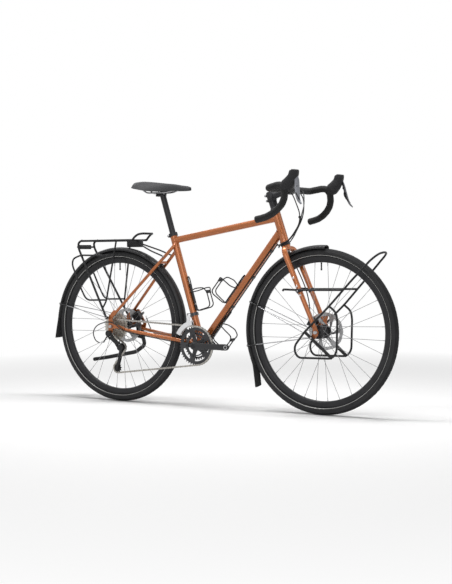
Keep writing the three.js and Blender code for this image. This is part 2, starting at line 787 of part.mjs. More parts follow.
function buildSeatClamp() {
  const bore = offsetFor(seatTubeRadius, mainSides);
  const outer = bore + seatClampWall;
  const low = seatTubeLength - seatClampHeight;
  const collar = rod(seatTubeAt(low), seatTubeAt(seatTubeLength - fitGap), outer, mainSides);
  const ear = seatTubeAt(seatTubeLength - seatClampHeight / 2, -outer);
  const lean = radians(90 - seatAngle);
  const lug = block(ear, seatClampHeight, seatClampHeight, seatClampHeight - seatClampWall, lean);
  const bolt = bar(ear, seatClampHeight, clampBoltRadius, 6);
  const core = rod(seatTubeAt(low - overrun), seatTubeAt(seatTubeLength + overrun), bore, mainSides);
  return cut(collar.add(lug).add(bolt), [core]);
}

const bracketCup = (side) => turned([
  [boreFor(spindleRadius, mainSides), side * (shellHalfWidth + fitGap)],
  [shellRadius, side * (shellHalfWidth + fitGap)],
  [shellRadius, side * (shellHalfWidth + bracketCupWidth)],
  [boreFor(spindleRadius, mainSides), side * (shellHalfWidth + bracketCupWidth)],
], mainSides, bracket);

const lowerCup = () => sleeve(
  steerFoot,
  steerUp,
  boreFor(steererRadius, mainSides),
  cupRadius,
  headTubeStart - fitGap - cupLength,
  headTubeStart - fitGap,
);

const frameGroup = group(bicycle);
add(frameGroup, 'frame', buildFrame(), paint);
add(frameGroup, 'seat_clamp', buildSeatClamp(), blackMetal);
add(frameGroup, 'bottom_bracket_cup_right', bracketCup(-1), blackMetal);
add(frameGroup, 'bottom_bracket_cup_left', bracketCup(1), blackMetal);
add(frameGroup, 'headset_lower_cup', lowerCup(), blackMetal);

// Seatpost, rails and saddle
const postTop = seatTubeAt(seatpostTop);
const railHeight = postTop.z + railRise;
const postHead = point(postTop.x - postHeadLength / 4, 0, railHeight - postHeadHeight / 8);
const railRear = postHead.x - postHeadLength * 1.7;
const railFront = postHead.x + postHeadLength * 1.15;

function saddleRailPath() {
  const side = (y) => [
    point(railRear - postHeadLength * 0.55, y * 1.7, railHeight + postHeadHeight * 1.12),
    point(railRear, y, railHeight),
    point(railFront, y, railHeight),
    point(railFront + postHeadLength * 1.15, y * 0.45, railHeight + postHeadHeight * 0.42),
  ];
  return bent([...side(railSpread), ...side(-railSpread).reverse()], postHeadLength / 2, 1);
}

function buildSeatpost() {
  const post = rod(seatTubeAt(seatTubeLength - seatpostInsertion), postTop, seatpostRadius, mainSides);
  const head = block(postHead, postHeadLength, postHeadWidth, postHeadHeight);
  const waist = postHeadWidth / 2 - railSpread + railRadius;
  const recesses = [-1, 1].flatMap((end) => [-1, 1].map((side) => block(
    shifted(postHead, end * postHeadLength * 0.42, side * (railSpread - waist / 2), -postHeadHeight * 0.45),
    postHeadLength / 2,
    postHeadWidth / 2,
    postHeadHeight / 2,
  )));
  const bores = [-1, 1].map((side) => rod(
    point(railRear, side * railSpread, railHeight),
    point(railFront, side * railSpread, railHeight),
    boreFor(railRadius, 6),
    6,
  ));
  return cut(post.add(head), [...recesses, ...bores]);
}

function buildSaddle() {
  const across = [-1, -0.86, -0.5, 0, 0.5, 0.86, 1];
  const under = [0.86, 0.45, -0.45, -0.86];
  const base = railHeight + saddleRise - saddleDepth;
  const shell = saddleDepth / 3;
  const rings = saddleShares.map(([length, width, crown, edge]) => {
    const x = saddleTailX + saddleLength * length;
    const half = (saddleWidth / 2) * width;
    const top = base + saddleDepth * crown;
    const low = base + saddleDepth * edge;
    const surface = (share) => top - (top - low) * Math.abs(share) ** saddleFall;
    return [
      ...across.map((share) => point(x, half * share, surface(share))),
      ...under.map((share) => point(x, half * share, surface(share) - shell * (1 - share ** 4))),
    ];
  });
  const outline = rings[2].map((corner) => [corner.y, corner.z]);
  return skin(rings, outline);
}

const seatGroup = group(bicycle);
add(seatGroup, 'seatpost', buildSeatpost(), blackMetal);
add(seatGroup, 'saddle_rails', wire(saddleRailPath(), railRadius, 6), silver);
add(seatGroup, 'saddle', buildSaddle(), vinyl);

// Fork, headset cover, stem and handlebar
const crownTop = headTubeStart - fitGap - cupLength - fitGap;
const steererTop = clampHeight + stemClampHeight - 2 * topCapHeight / 5;
const bladePath = (side) => [
  steererAt(crownTop - crownDepth * 0.55, 0, side * crownRadius * 0.4),
  steererAt(crownTop - crownDepth * 0.75, crownRadius * 0.4, side * bladeSpread * 0.68),
  steererAt(crownTop - crownDepth * 1.4, crownRadius * 0.55, side * bladeSpread * 0.93),
  steererAt(crownTop - bladeShoulderDrop * 1.3, crownRadius * 0.75, side * bladeSpread),
  steererAt(forkTipLength * 0.55, forkRake, side * (forkHalfGap + forkTipThickness / 2)),
];

function buildFork() {
  const parts = [
    rod(steererAt(crownTop - overrun), steererAt(steererTop), steererRadius, mainSides),
    rod(steererAt(crownTop - crownDepth), steererAt(crownTop), crownRadius, mainSides),
  ];
  for (const side of [-1, 1]) {
    const path = bladePath(side);
    const taper = path.map((_, index) => (index + 1 < path.length ? 1 : bladeEndRadius / bladeRadius));
    parts.push(wire(path, bladeRadius, staySides, taper));
    const inner = side * forkHalfGap;
    const outer = side * (forkHalfGap + forkTipThickness);
    const outline = counted(sharesOf(forkTipShares, forkTipLength, forkTipLength));
    parts.push(plate(frontAxle, outline, inner, outer));
  }
  parts.push(plate(
    frontAxle,
    counted(sharesOf(frontTabShares, forkTipLength, forkTipLength)),
    forkHalfGap,
    forkHalfGap + caliperTabThickness,
  ));
  const reach = forkHalfGap + forkTipThickness + overrun;
  return cut(joined(parts), [
    bar(frontAxle, reach, boreFor(axleRadius, 8), 8),
    across(frontEyelet, reach, boltRadius),
    ...caliperBolts(frontCaliper).map((place) => across(place, reach, boltRadius, 1)),
  ]);
}

function buildHeadsetCover() {
  const bore = boreFor(steererRadius, mainSides);
  const foot = headTubeEnd + fitGap;
  return turnedAlong([
    [bore, foot],
    [headRingRadius, foot],
    [headRingRadius, foot + coverHeight / 3],
    [spacerRadius, foot + coverHeight],
    [spacerRadius, foot + coverHeight + spacerHeight],
    [bore, foot + coverHeight + spacerHeight],
  ], mainSides, steerFoot, steerUp);
}

function buildStem() {
  const middle = clampHeight + stemClampHeight / 2;
  const clampHalf = faceplateWidth / 2;
  const ringRadius = barBulgeRadius + stemClampRadius - steererRadius;
  const bolts = [-0.3, 0.3].map((share) => {
    const at = steererAt(middle + share * stemClampHeight, -stemClampRadius);
    return bar(at, stemClampRadius * 0.7, topCapHeight, 6);
  });
  const body = joined([
    rod(steererAt(clampHeight), steererAt(clampHeight + stemClampHeight), stemClampRadius, mainSides),
    rod(steererAt(middle), steererAt(middle, stemLength), stemBodyRadius, mainSides),
    bar(barCentre, clampHalf, ringRadius, mainSides),
    ...bolts,
  ]);
  const cap = joined([
    rod(
      steererAt(clampHeight + stemClampHeight - weldDepth),
      steererAt(clampHeight + stemClampHeight + topCapHeight),
      spacerRadius,
      mainSides,
      spacerRadius * 0.85,
    ),
  ]);
  return cut(body.add(cap), [
    rod(
      steererAt(clampHeight - overrun),
      steererAt(clampHeight + stemClampHeight - weldDepth),
      boreFor(steererRadius, mainSides),
      mainSides,
    ),
    bar(barCentre, 2 * clampHalf, boreFor(barBulgeRadius, 12), 12),
  ]);
}

const barPoint = (side, [reach, spread, drop]) => shifted(
  barCentre,
  barReach * reach,
  side * (barTopHalfWidth + (barEndHalfWidth - barTopHalfWidth) * spread),
  barDrop * drop,
);
const barHalf = (side) => [
  shifted(barCentre, 0, side * tapeStart, 0),
  shifted(barCentre, 0, side * barTopHalfWidth * 0.93, 0),
  ...barShares.map((share) => barPoint(side, share)),
  shifted(barCentre, -barEndSetback, side * barEndHalfWidth, -barDrop),
];

// The whole bar from end to end; its ends may reach a little further.
function barPath(further = 0) {
  const path = [...barHalf(-1).reverse(), ...barHalf(1)];
  for (const [end, inner] of [[0, 1], [path.length - 1, path.length - 2]]) {
    const outward = path[end].clone().sub(path[inner]).normalize();
    path[end] = path[end].clone().addScaledVector(outward, further);
  }
  return path;
}

function buildHandlebar() {
  const bar = wire(barPath(), barRadius, barSides);
  const shoulder = barBulgeHalfWidth * 0.75;
  const root = barRadius * 1.01;
  const bulge = turned([
    [0, -barBulgeHalfWidth], [root, -barBulgeHalfWidth], [barBulgeRadius, -shoulder],
    [barBulgeRadius, shoulder], [root, barBulgeHalfWidth], [0, barBulgeHalfWidth],
  ], barSides, barCentre, Math.PI / barSides);
  return bar.add(bulge);
}

function buildTape(side) {
  const outside = barHalf(side);
  const last = outside.length - 1;
  const end = outside[last].clone().sub(outside[last - 1]).normalize();
  outside[last] = outside[last].clone().addScaledVector(end, tapeRadius / 4);
  const inside = wire(barPath(fitGap), boreFor(barRadius + fitGap, barSides), barSides);
  return cut(wire(outside, tapeRadius, barSides), [inside]);
}

const hoodFoot = (side) => barPoint(side, barShares[3]);
const leverPivot = (side) => shifted(hoodFoot(side), hoodLength * 0.74, 0, hoodHeight * 1.14);
const leverPath = (side, shares = leverShares) => shares.map(([x, z]) => shifted(
  leverPivot(side),
  leverLength * x,
  side * hoodWidth * 0.12 * (1 - z),
  leverLength * z,
));

function buildHood(side) {
  const foot = hoodFoot(side);
  const path = hoodShares.map(([x, z]) => (
    shifted(foot, hoodLength * x, side * hoodWidth * 0.05 * x, hoodHeight * z)
  ));
  const section = circle(1, barSides, Math.PI / barSides);
  const outline = section.map(([u, v]) => [u * hoodWidth / 2, v * hoodHeight / 2]);
  const body = carried(path, outline, lateral, hoodShares.map((share) => share[2]));
  const tape = wire(barHalf(side), offsetFor(tapeRadius, barSides), barSides);
  const pivot = leverPivot(side);
  const mouth = block(
    shifted(pivot, hoodLength * 0.115, 0, -hoodHeight * 0.4),
    hoodLength * 0.57,
    leverWidth + 6 * fitGap,
    hoodHeight * 1.2,
  );
  const pin = bar(pivot, hoodWidth * leverPinShare, leverPinRadius, 6);
  return cut(body, [tape, mouth]).add(pin);
}

const paddlePin = (side) => leverPath(side, [paddlePinShare])[0];

function buildLever(side) {
  const outline = circle(1, 6).map(([u, v]) => [u * leverWidth / 2, v * leverThickness / 2]);
  const blade = carried(leverPath(side), outline, lateral, leverShares.map((share) => share[2]));
  const pivot = leverPivot(side);
  const eye = bar(pivot, leverWidth / 2, leverEyeRadius, 8);
  const bore = bar(pivot, leverWidth, boreFor(leverPinRadius, 6), 6);
  const pin = paddlePin(side);
  const stub = rod(pin, shifted(pin, -paddlePinLength, 0, 0), leverPinRadius, 6);
  return cut(blade.add(eye), [bore]).add(stub);
}

function buildPaddle(side) {
  const outline = circle(1, 6).map(([u, v]) => [u * leverWidth * 0.4, v * leverThickness / 2]);
  const path = leverPath(side, paddleShares);
  const blade = carried(path, outline, lateral, paddleShares.map((share) => share[2]));
  const pin = paddlePin(side);
  const from = shifted(pin, -paddlePinLength, 0, 0);
  const to = shifted(pin, -paddlePinLength + paddleEyeLength, 0, 0);
  const bore = rod(
    shifted(pin, -3 * paddlePinLength, 0, 0),
    shifted(pin, paddlePinLength, 0, 0),
    boreFor(leverPinRadius, 6),
    6,
  );
  return cut(blade.add(rod(from, to, leverEyeRadius, 8)), [bore]);
}

const steeringGroup = group(bicycle);
add(steeringGroup, 'fork', buildFork(), paint);
add(steeringGroup, 'headset_cover', buildHeadsetCover(), blackMetal);
add(steeringGroup, 'stem', buildStem(), blackMetal);
add(steeringGroup, 'handlebar', buildHandlebar(), blackMetal);
for (const [hand, side] of [['right', -1], ['left', 1]]) {
  add(steeringGroup, `bar_tape_${hand}`, buildTape(side), rubber);
  add(steeringGroup, `hood_${hand}`, buildHood(side), rubber);
  add(steeringGroup, `brake_lever_${hand}`, buildLever(side), greyMetal);
  add(steeringGroup, `shift_paddle_${hand}`, buildPaddle(side), blackMetal);
}

// Wheels: every ring has a facet centred at the ground, so the tyre stands on a true flat.
const facetGrowth = 1 / Math.cos(Math.PI / wheelFacets);
const wheelRing = (profile) => turned(
  profile.map(([radius, y]) => [radius * facetGrowth, y]),
  wheelFacets,
  point(0, 0, 0),
  Math.PI / wheelFacets,
);
const mirroredProfile = (half) => [...half, ...half.slice().reverse().map(([radius, y]) => [radius, -y])];

function buildTyre() {
  const casing = tyreWidth / 2;
  const centre = tyreRadius - casing;
  const wall = tyreWallShares.map(([rise, width]) => [centre + casing * rise, casing * width]);
  return wheelRing(mirroredProfile([
    [rimBedRadius + fitGap, beadHalfWidth],
    [rimFlangeRadius + fitGap, beadHalfWidth],
    ...wall,
    [tyreRadius, treadHalfWidth],
  ]));
}

function buildRim() {
  return wheelRing(mirroredProfile([
    [rimBedRadius, beadHalfWidth + fitGap],
    [rimFlangeRadius, beadHalfWidth + fitGap],
    [(rimInnerRadius + rimFlangeRadius) / 2, rimHalfWidth],
    [rimInnerRadius, rimFloorHalfWidth],
  ]));
}

// Spokes leave the flange holes along the barrel's tangent and cross to the rim.
function buildSpokes(flanges) {
  const spokes = [];
  const perFlange = spokeCount / 2;
  for (const [turn, flange] of flanges.entries()) {
    for (let index = 0; index < perFlange; index += 1) {
      const hole = radians((360 * index) / perFlange);
      const lead = (index + turn) % 2 ? -1 : 1;
      const nipple = hole + lead * radians(spokeCrossingAngle);
      const beside = flange + lead * (flangeThickness / 2 + spokeApart);
      const from = polar(point(0, beside, 0), flangeHoleRadius, hole);
      const to = polar(point(0, Math.sign(flange) * spokeRimOffset, 0), rimInnerRadius - fitGap, nipple);
      spokes.push(rod(from, to, spokeRadius, 3));
    }
  }
  return spokes;
}

function hubShell(right, left, halfWidth, rotorSeat) {
  const bore = boreFor(axleRadius, hubFacets);
  const half = flangeThickness / 2;
  return turned([
    [bore, right], [locknutRadius, right], [barrelRadius, right + locknutRadius / 2],
    [barrelRadius, -halfWidth.right - half], [flangeRadius, -halfWidth.right - half],
    [flangeRadius, -halfWidth.right + half], [barrelRadius, -halfWidth.right + flangeThickness],
    [barrelRadius, halfWidth.left - flangeThickness], [flangeRadius, halfWidth.left - half],
    [flangeRadius, halfWidth.left + half], [rotorSeatRadius, halfWidth.left + flangeThickness],
    [rotorSeatRadius, rotorSeat], [rotorBoreRadius - fitGap, rotorSeat],
    [locknutRadius, left], [bore, left],
  ], hubFacets);
}

function buildRotor(y) {
  const outer = circle(rotorRadius, 28);
  const windows = [];
  const arms = 6;
  for (let arm = 0; arm < arms; arm += 1) {
    const start = (2 * Math.PI * arm) / arms;
    const trackInner = rotorRadius - rotorTrackWidth;
    const seat = rotorBoreRadius + rotorTrackWidth / 2;
    windows.push([
      [0.32, trackInner], [0.9, trackInner], [0.84, seat], [0.16, seat],
    ].map(([share, radius]) => {
      const lean = share + (radius > seat ? 0 : -0.35);
      const angle = start + lean * ((2 * Math.PI) / arms);
      return [radius * Math.cos(angle), radius * Math.sin(angle)];
    }));
  }
  const bore = circle(rotorBoreRadius / Math.cos(Math.PI / 12), 12);
  return plate(point(0, 0, 0), outer, y, y + rotorThickness, [bore, ...windows]);
}

function axle(halfGap, thickness) {
  const outer = halfGap + thickness + fitGap;
  const nutEnd = outer + axleNutThickness;
  return joined([
    rod(point(0, -nutEnd, 0), point(0, nutEnd, 0), axleRadius, 8),
    ...[-1, 1].map((side) => {
      const end = point(0, side * nutEnd, 0);
      return rod(point(0, side * outer, 0), end, axleNutRadius, 8, axleNutRadius * 0.8);
    }),
  ]);
}

const rotorFace = (halfGap, setIn) => halfGap - setIn - rotorThickness / 2;
const wheels = {
  front: {
    place: frontAxle,
    halfGap: forkHalfGap,
    rotor: rotorFace(forkHalfGap, rotorSetIn),
    right: -forkHalfGap + fitGap,
    flanges: { right: frontFlangeOffset, left: frontFlangeOffset - flangeThickness },
    thickness: forkTipThickness,
  },
  rear: {
    place: rearAxle,
    halfGap: dropoutHalfGap,
    rotor: rotorFace(dropoutHalfGap, rearRotorSetIn),
    right: -rearFlangeRight - locknutRadius,
    flanges: { right: rearFlangeRight, left: rearFlangeLeft },
    thickness: dropoutThickness,
  },
};
for (const [end, wheel] of Object.entries(wheels)) {
  const wheelGroup = group(bicycle, wheel.place);
  const shell = hubShell(wheel.right, wheel.halfGap - fitGap, wheel.flanges, wheel.rotor - fitGap);
  const spokes = buildSpokes([-wheel.flanges.right, wheel.flanges.left]);
  add(wheelGroup, `${end}_tyre`, buildTyre(), rubber);
  add(wheelGroup, `${end}_rim`, buildRim(), blackMetal);
  add(wheelGroup, `${end}_hub_and_spokes`, joined([shell, ...spokes]), silver);
  add(wheelGroup, `${end}_rotor`, buildRotor(wheel.rotor), silver);
  add(wheelGroup, `${end}_axle`, axle(wheel.halfGap, wheel.thickness), blackMetal);
}

// Sprockets: the pitch radius is the one on which pins a link apart divide the circle evenly.
const pitchRadius = (teeth) => teeth * pitch;

// Teeth that carry the chain have a root, two flanks and a tip; the others a root and a tip.
function toothOutline(teeth, phase, meshed) {
  const radius = pitchRadius(teeth);
  const half = Math.PI / teeth;
  const outline = [];
  for (let tooth = 0; tooth < teeth; tooth += 1) {
    const seat = phase + 2 * half * tooth;
    const flank = Math.atan2(toothFlankOffset, radius - toothFlankDepth);
    const at = (distance, angle) => outline.push([distance * Math.cos(angle), distance * Math.sin(angle)]);
    at(radius - toothRootDepth, seat);
    if (meshed) {
      at(radius - toothFlankDepth, seat + flank);
      at(radius + toothTipHeight, seat + half);
      at(radius - toothFlankDepth, seat + 2 * half - flank);
    } else {
      at(radius + toothTipHeight, seat + half);
    }
  }
  return outline;
}

const sprocket = (teeth, phase, meshed, y, holes = []) => plate(
  point(0, 0, 0),
  toothOutline(teeth, phase, meshed),
  y - toothThickness / 2,
  y + toothThickness / 2,
  holes,
);

// Chain loop: ring top, back over the cog, down the front of the guide pulley, round the tension
// pulley and forward to the ring. Each wheel is [centre x, centre z, radius, turning sense].
function chainWheels(cageAngle) {
  const guide = { x: guidePulleyForward, z: tyreRadius - guidePulleyDrop };
  const tension = {
    x: guide.x + cageLength * Math.cos(cageAngle),
    z: guide.z + cageLength * Math.sin(cageAngle),
  };
  return [
    { x: bracket.x, z: bracket.z, radius: pitchRadius(ringTeeth), sense: 1 },
    { x: rearAxle.x, z: rearAxle.z, radius: pitchRadius(cogTeeth[drivenCog]), sense: 1 },
    { x: guide.x, z: guide.z, radius: pitchRadius(pulleyTeeth), sense: -1 },
    { x: tension.x, z: tension.z, radius: pitchRadius(pulleyTeeth), sense: 1 },
  ];
}

// Straight run that leaves one wheel and meets the next, each followed in its own sense.
function tangentRun(from, to) {
  const dx = to.x - from.x;
  const dz = to.z - from.z;
  const distance = Math.hypot(dx, dz);
  const lean = Math.asin((from.radius * from.sense - to.radius * to.sense) / distance);
  const heading = Math.atan2(dz, dx) + lean;
  const leave = heading - (Math.PI / 2) * from.sense;
  const meet = heading - (Math.PI / 2) * to.sense;
  return {
    leave,
    meet,
    heading,
    start: [from.x + from.radius * Math.cos(leave), from.z + from.radius * Math.sin(leave)],
    length: Math.sqrt(distance ** 2 - (to.radius * to.sense - from.radius * from.sense) ** 2),
  };
}

function chainLoop(cageAngle) {
  const wheelsOnLoop = chainWheels(cageAngle);
  const next = (index) => wheelsOnLoop[(index + 1) % wheelsOnLoop.length];
  const runs = wheelsOnLoop.map((wheel, index) => tangentRun(wheel, next(index)));
  const pieces = [];
  for (const [index, wheel] of wheelsOnLoop.entries()) {
    const arriving = runs[(index + runs.length - 1) % runs.length];
    const turn = wheel.sense * (runs[index].leave - arriving.meet);
    const wrap = ((turn % (2 * Math.PI)) + 2 * Math.PI) % (2 * Math.PI);
    pieces.push({ wheel, from: arriving.meet, length: wrap * wheel.radius });
    pieces.push({ run: runs[index], length: runs[index].length });
  }
  return { pieces, length: pieces.reduce((sum, piece) => sum + piece.length, 0), wheelsOnLoop };
}

// The cage turns until the loop holds a whole, even number of links.
const restAngle = radians(cageRestAngle);
const linkCount = 2 * Math.round(chainLoop(restAngle).length / linkPitch / 2);
function settledCageAngle() {
  const reach = radians(22);
  let slack = restAngle + reach;
  let tight = restAngle - reach;
  const missing = (angle) => chainLoop(angle).length - linkCount * linkPitch;
  const rising = missing(slack) > missing(tight);
  for (let step = 0; step < 50; step += 1) {
    const middle = (slack + tight) / 2;
    if ((missing(middle) > 0) === rising) {
      slack = middle;
    } else {
      tight = middle;
    }
  }
  return (slack + tight) / 2;
}
const cageAngle = settledCageAngle();
const loop = chainLoop(cageAngle);

// Place and heading on the loop at a distance from its start.
function onLoop(distance) {
  let left = distance;
  for (const piece of loop.pieces) {
    if (left <= piece.length) {
      if (piece.run) {
        const { start, heading } = piece.run;
        return { x: start[0] + left * Math.cos(heading), z: start[1] + left * Math.sin(heading), heading };
      }
      const { wheel } = piece;
      const angle = piece.from + (wheel.sense * left) / wheel.radius;
      return {
        x: wheel.x + wheel.radius * Math.cos(angle),
        z: wheel.z + wheel.radius * Math.sin(angle),
        heading: angle + (Math.PI / 2) * wheel.sense,
        angle,
        wheel,
      };
    }
    left -= piece.length;
  }
  return onLoop(0);
}
const spacing = loop.length / linkCount;
const pins = Array.from({ length: linkCount }, (_, index) => onLoop((index + 0.5) * spacing));
const phaseOn = (index) => pins.find((pin) => pin.wheel === loop.wheelsOnLoop[index]).angle;

// The chain is one skin: six-sided pin barrels joined by pairs of plates. The plates of every
// second link stand outside those of the links between, which leaves the gaps for the teeth.
function buildChain() {
  const places = [];
  const faces = [];
  const flat = rollerRadius * Math.cos(Math.PI / 6);
  const half = rollerRadius / 2;
  const corner = (pin, along, radial, y) => {
    places.push(
      pin.x + along * Math.cos(pin.heading) - radial * Math.sin(pin.heading),
      chainPlane + y,
      pin.z + along * Math.sin(pin.heading) + radial * Math.cos(pin.heading),
    );
    return places.length / 3 - 1;
  };
  const polygon = (corners, flipped = false) => {
    for (let index = 1; index + 1 < corners.length; index += 1) {
      const [b, c] = flipped ? [index + 1, index] : [index, index + 1];
      faces.push(corners[0], corners[b], corners[c]);
    }
  };
  const count = pins.length;
  const open = pins.map((pin, index) => {
    const next = pins[(index + 1) % count];
    const middle = [(pin.x + next.x) / 2, (pin.z + next.z) / 2];
    const nearest = (wheel) => Math.min(...[[pin.x, pin.z], middle, [next.x, next.z]].map(
      ([x, z]) => Math.hypot(x - wheel.x, z - wheel.z),
    ));
    return loop.wheelsOnLoop.some((wheel) => (
      nearest(wheel) < wheel.radius + toothTipHeight + rollerRadius + chainClearance
    ));
  });
  const before = (index) => (index + count - 1) % count;
  const columns = pins.map((pin, index) => {
    const crest = [-1, 1].map((edge) => [-1, 1].map((side) => (
      corner(pin, 0, edge * rollerRadius, side * outerPlateTo)
    )));
    if (!open[index] && !open[before(index)]) {
      return { crest, ends: null };
    }
    const ends = [before(index), index].map((link, turn) => {
      const inside = link % 2 === 0 ? plateStep : innerPlateFrom;
      const across = open[link]
        ? [-outerPlateTo, -inside, inside, outerPlateTo]
        : [-outerPlateTo, outerPlateTo];
      return [-1, 1].map((edge) => across.map((y) => corner(pin, (2 * turn - 1) * flat, edge * half, y)));
    });
    return { crest, ends };
  });
  const wall = (first, second) => {
    const last = first[0].length - 1;
    polygon([first[1][0], second[1][0], second[1][1], first[1][last]]);
    polygon([first[0][0], second[0][0], second[0][1], first[0][last]], true);
    polygon([first[0][last], first[1][last], second[1][1], second[0][1]]);
    polygon([first[0][0], first[1][0], second[1][0], second[0][0]], true);
  };
  for (const [index, { ends, crest }] of columns.entries()) {
    const following = columns[(index + 1) % count];
    if (ends) {
      const [back, ahead] = ends;
      for (const edge of [0, 1]) {
        polygon([crest[edge][0], ...ahead[edge], crest[edge][1]], edge === 0);
        polygon([crest[edge][1], ...back[edge].slice().reverse(), crest[edge][0]], edge === 0);
      }
      for (const side of [0, 1]) {
        const [behind, front] = [back, ahead].map((end) => end.map((row) => row[side * (row.length - 1)]));
        polygon([crest[0][side], behind[0], behind[1], crest[1][side], front[1], front[0]], side === 0);
      }
      if (open[index]) {
        polygon([ahead[0][1], ahead[0][2], ahead[1][2], ahead[1][1]]);
      }
      if (open[before(index)]) {
        polygon([back[0][1], back[0][2], back[1][2], back[1][1]], true);
      }
    }
    if (open[index]) {
      const [next] = following.ends;
      const ahead = ends[1];
      for (const from of [0, 2]) {
        const rail = (end) => end.map((row) => row.slice(from, from + 2));
        wall(rail(ahead), rail(next));
      }
    } else {
      const start = ends ? ends[1] : crest;
      const finish = following.ends ? following.ends[0] : following.crest;
      if (index % 2 === 0) {
        const middle = {
          x: (pins[index].x + pins[(index + 1) % count].x) / 2,
          z: (pins[index].z + pins[(index + 1) % count].z) / 2,
          heading: pins[index].heading,
        };
        const waist = [-1, 1].map((edge) => (
          [-1, 1].map((side) => corner(middle, 0, edge * half, side * outerPlateTo))
        ));
        wall(start, waist);
        wall(waist, finish);
      } else {
        wall(start, finish);
      }
    }
  }
  const geometry = new THREE.BufferGeometry();
  geometry.setAttribute('position', new THREE.Float32BufferAttribute(places, 3));
  geometry.setIndex(faces);
  return solidOf(geometry);
}

// Cassette on its freehub body, turned about the rear axle.
function buildCassette() {
  const ringPhase = phaseOn(1);
  const parts = cogTeeth.map((teeth, index) => sprocket(
    teeth,
    ringPhase,
    index === drivenCog,
    chainPlane + (index - drivenCog) * cogSpacing,
  ));
  const outside = chainPlane - drivenCog * cogSpacing - cogSpacing / 2;
  const inside = chainPlane + (cogTeeth.length - 1 - drivenCog) * cogSpacing + cogSpacing / 4;
  const bore = boreFor(axleRadius, hubFacets);
  const body = turned(
    [[bore, outside], [freehubRadius, outside], [freehubRadius, inside], [bore, inside]],
    hubFacets,
  );
  return cut(joined([body, ...parts]), [
    rod(point(0, outside - overrun, 0), point(0, inside + overrun, 0), bore, hubFacets),
  ]);
}

// Crankset
const spiderTurn = Math.PI / spiderArms;
const ringInside = chainPlane + toothThickness / 2 + fitGap;
const armPoint = (radius, arm) => {
  const angle = spiderTurn + (2 * Math.PI * arm) / spiderArms;
  return [radius * Math.cos(angle), radius * Math.sin(angle)];
};
const ringHoles = () => Array.from({ length: spiderArms }, (_, arm) => {
  const [x, z] = armPoint(boltCircleRadius, arm);
  return circle(boreFor(topCapHeight, boltSides), boltSides).map(([u, v]) => [x + u, z + v]);
});

function buildChainring(teeth, meshed, y) {
  const bore = circle(ringBoreRadius, 20);
  const phase = meshed ? phaseOn(0) : 0;
  return sprocket(teeth, phase, meshed, y, [bore, ...ringHoles()]);
}

function crankArm(side, reach) {
  const inner = side * crankInnerFace;
  const middle = inner + side * crankThickness / 2;
  const eyeY = middle + side * crankFlare;
  const stations = [
    [-crankBossRadius, 0, 0.75],
    [-crankBossRadius * 0.4, 0, 1.2],
    [crankBossRadius * 0.6, 0.05, 1.15],
    [crankLength * 0.25, 0.4, 0.84],
    [crankLength * 0.7, 0.9, 0.74],
    [crankLength - crankEyeRadius * 0.6, 1, 0.98],
    [crankLength + crankEyeRadius * 0.5, 1, 0.92],
    [crankLength + crankEyeRadius, 1, 0.5],
  ];
  const outline = [[-0.5, -0.8], [0.5, -0.8], [0.5, 0.8], [0.25, 1], [-0.25, 1], [-0.5, 0.8]];
  const rings = stations.map(([distance, flare, scale]) => outline.map(([u, v]) => point(
    reach * distance,
    middle + (eyeY - middle) * flare + u * crankThickness,
    v * scale * crankEyeRadius,
  )));
  const eye = point(reach * crankLength, eyeY, 0);
  const hole = rod(
    shifted(eye, 0, -crankThickness, 0),
    shifted(eye, 0, crankThickness, 0),
    pedalHoleRadius / Math.cos(Math.PI / 12),
    12,
  );
  return cut(skin(rings, outline), [hole]);
}

function buildRightCrank() {
  const shellEnd = shellHalfWidth + bracketCupWidth + fitGap;
  const spider = ringInside + spiderThickness;
  const middle = crankInnerFace + crankThickness / 2;
  const parts = [
    rod(point(0, -middle, 0), point(0, crankInnerFace, 0), spindleRadius, mainSides),
    rod(point(0, -crankInnerFace - weldDepth, 0), point(0, -shellEnd, 0), crankBossRadius, mainSides),
    crankArm(-1, 1),
  ];
  for (let arm = 0; arm < spiderArms; arm += 1) {
    const [x, z] = armPoint(boltCircleRadius + spiderArmWidth / 2, arm);
    const angle = Math.atan2(z, x);
    const length = Math.hypot(x, z);
    const halfway = point(x / 2, (ringInside + spider) / 2, z / 2);
    parts.push(block(halfway, length, spiderThickness, spiderArmWidth, angle));
    const [boltX, boltZ] = armPoint(boltCircleRadius, arm);
    const outer = chainPlane - toothThickness - topCapHeight / 4;
    const far = chainPlane + ringSpacing + toothThickness / 2;
    parts.push(rod(point(boltX, outer, boltZ), point(boltX, far, boltZ), topCapHeight, boltSides));
  }
  return joined(parts);
}

function buildLeftCrank() {
  const boss = rod(
    point(0, shellHalfWidth + bracketCupWidth + fitGap, 0),
    point(0, crankInnerFace + weldDepth, 0),
    crankBossRadius,
    mainSides,
  );
  const bore = rod(
    point(0, 0, 0),
    point(0, crankInnerFace + fitGap, 0),
    boreFor(spindleRadius, mainSides),
    mainSides,
  );
  return cut(crankArm(1, -1).add(boss), [bore]);
}

const driveGroup = group(bicycle);
add(driveGroup, 'chain', buildChain(), greyMetal);
const cassetteGroup = group(bicycle, rearAxle);
add(cassetteGroup, 'cassette', buildCassette(), silver);
const crankGroup = group(bicycle, bracket);
add(crankGroup, 'crank_right', buildRightCrank(), blackMetal);
add(crankGroup, 'chainring_outer', buildChainring(ringTeeth, true, chainPlane), blackMetal);
const innerPlane = chainPlane + ringSpacing;
add(crankGroup, 'chainring_inner', buildChainring(innerRingTeeth, false, innerPlane), blackMetal);
add(crankGroup, 'crank_left', buildLeftCrank(), blackMetal);

// Front mech: a band and fork-eared body on the seat tube, a cage swinging on its pin.
const mechPivot = seatTubeAt(frontMechHeight, -frontMechSetback).setY(-frontMechOut);
const earReach = frontPinLength / 2;

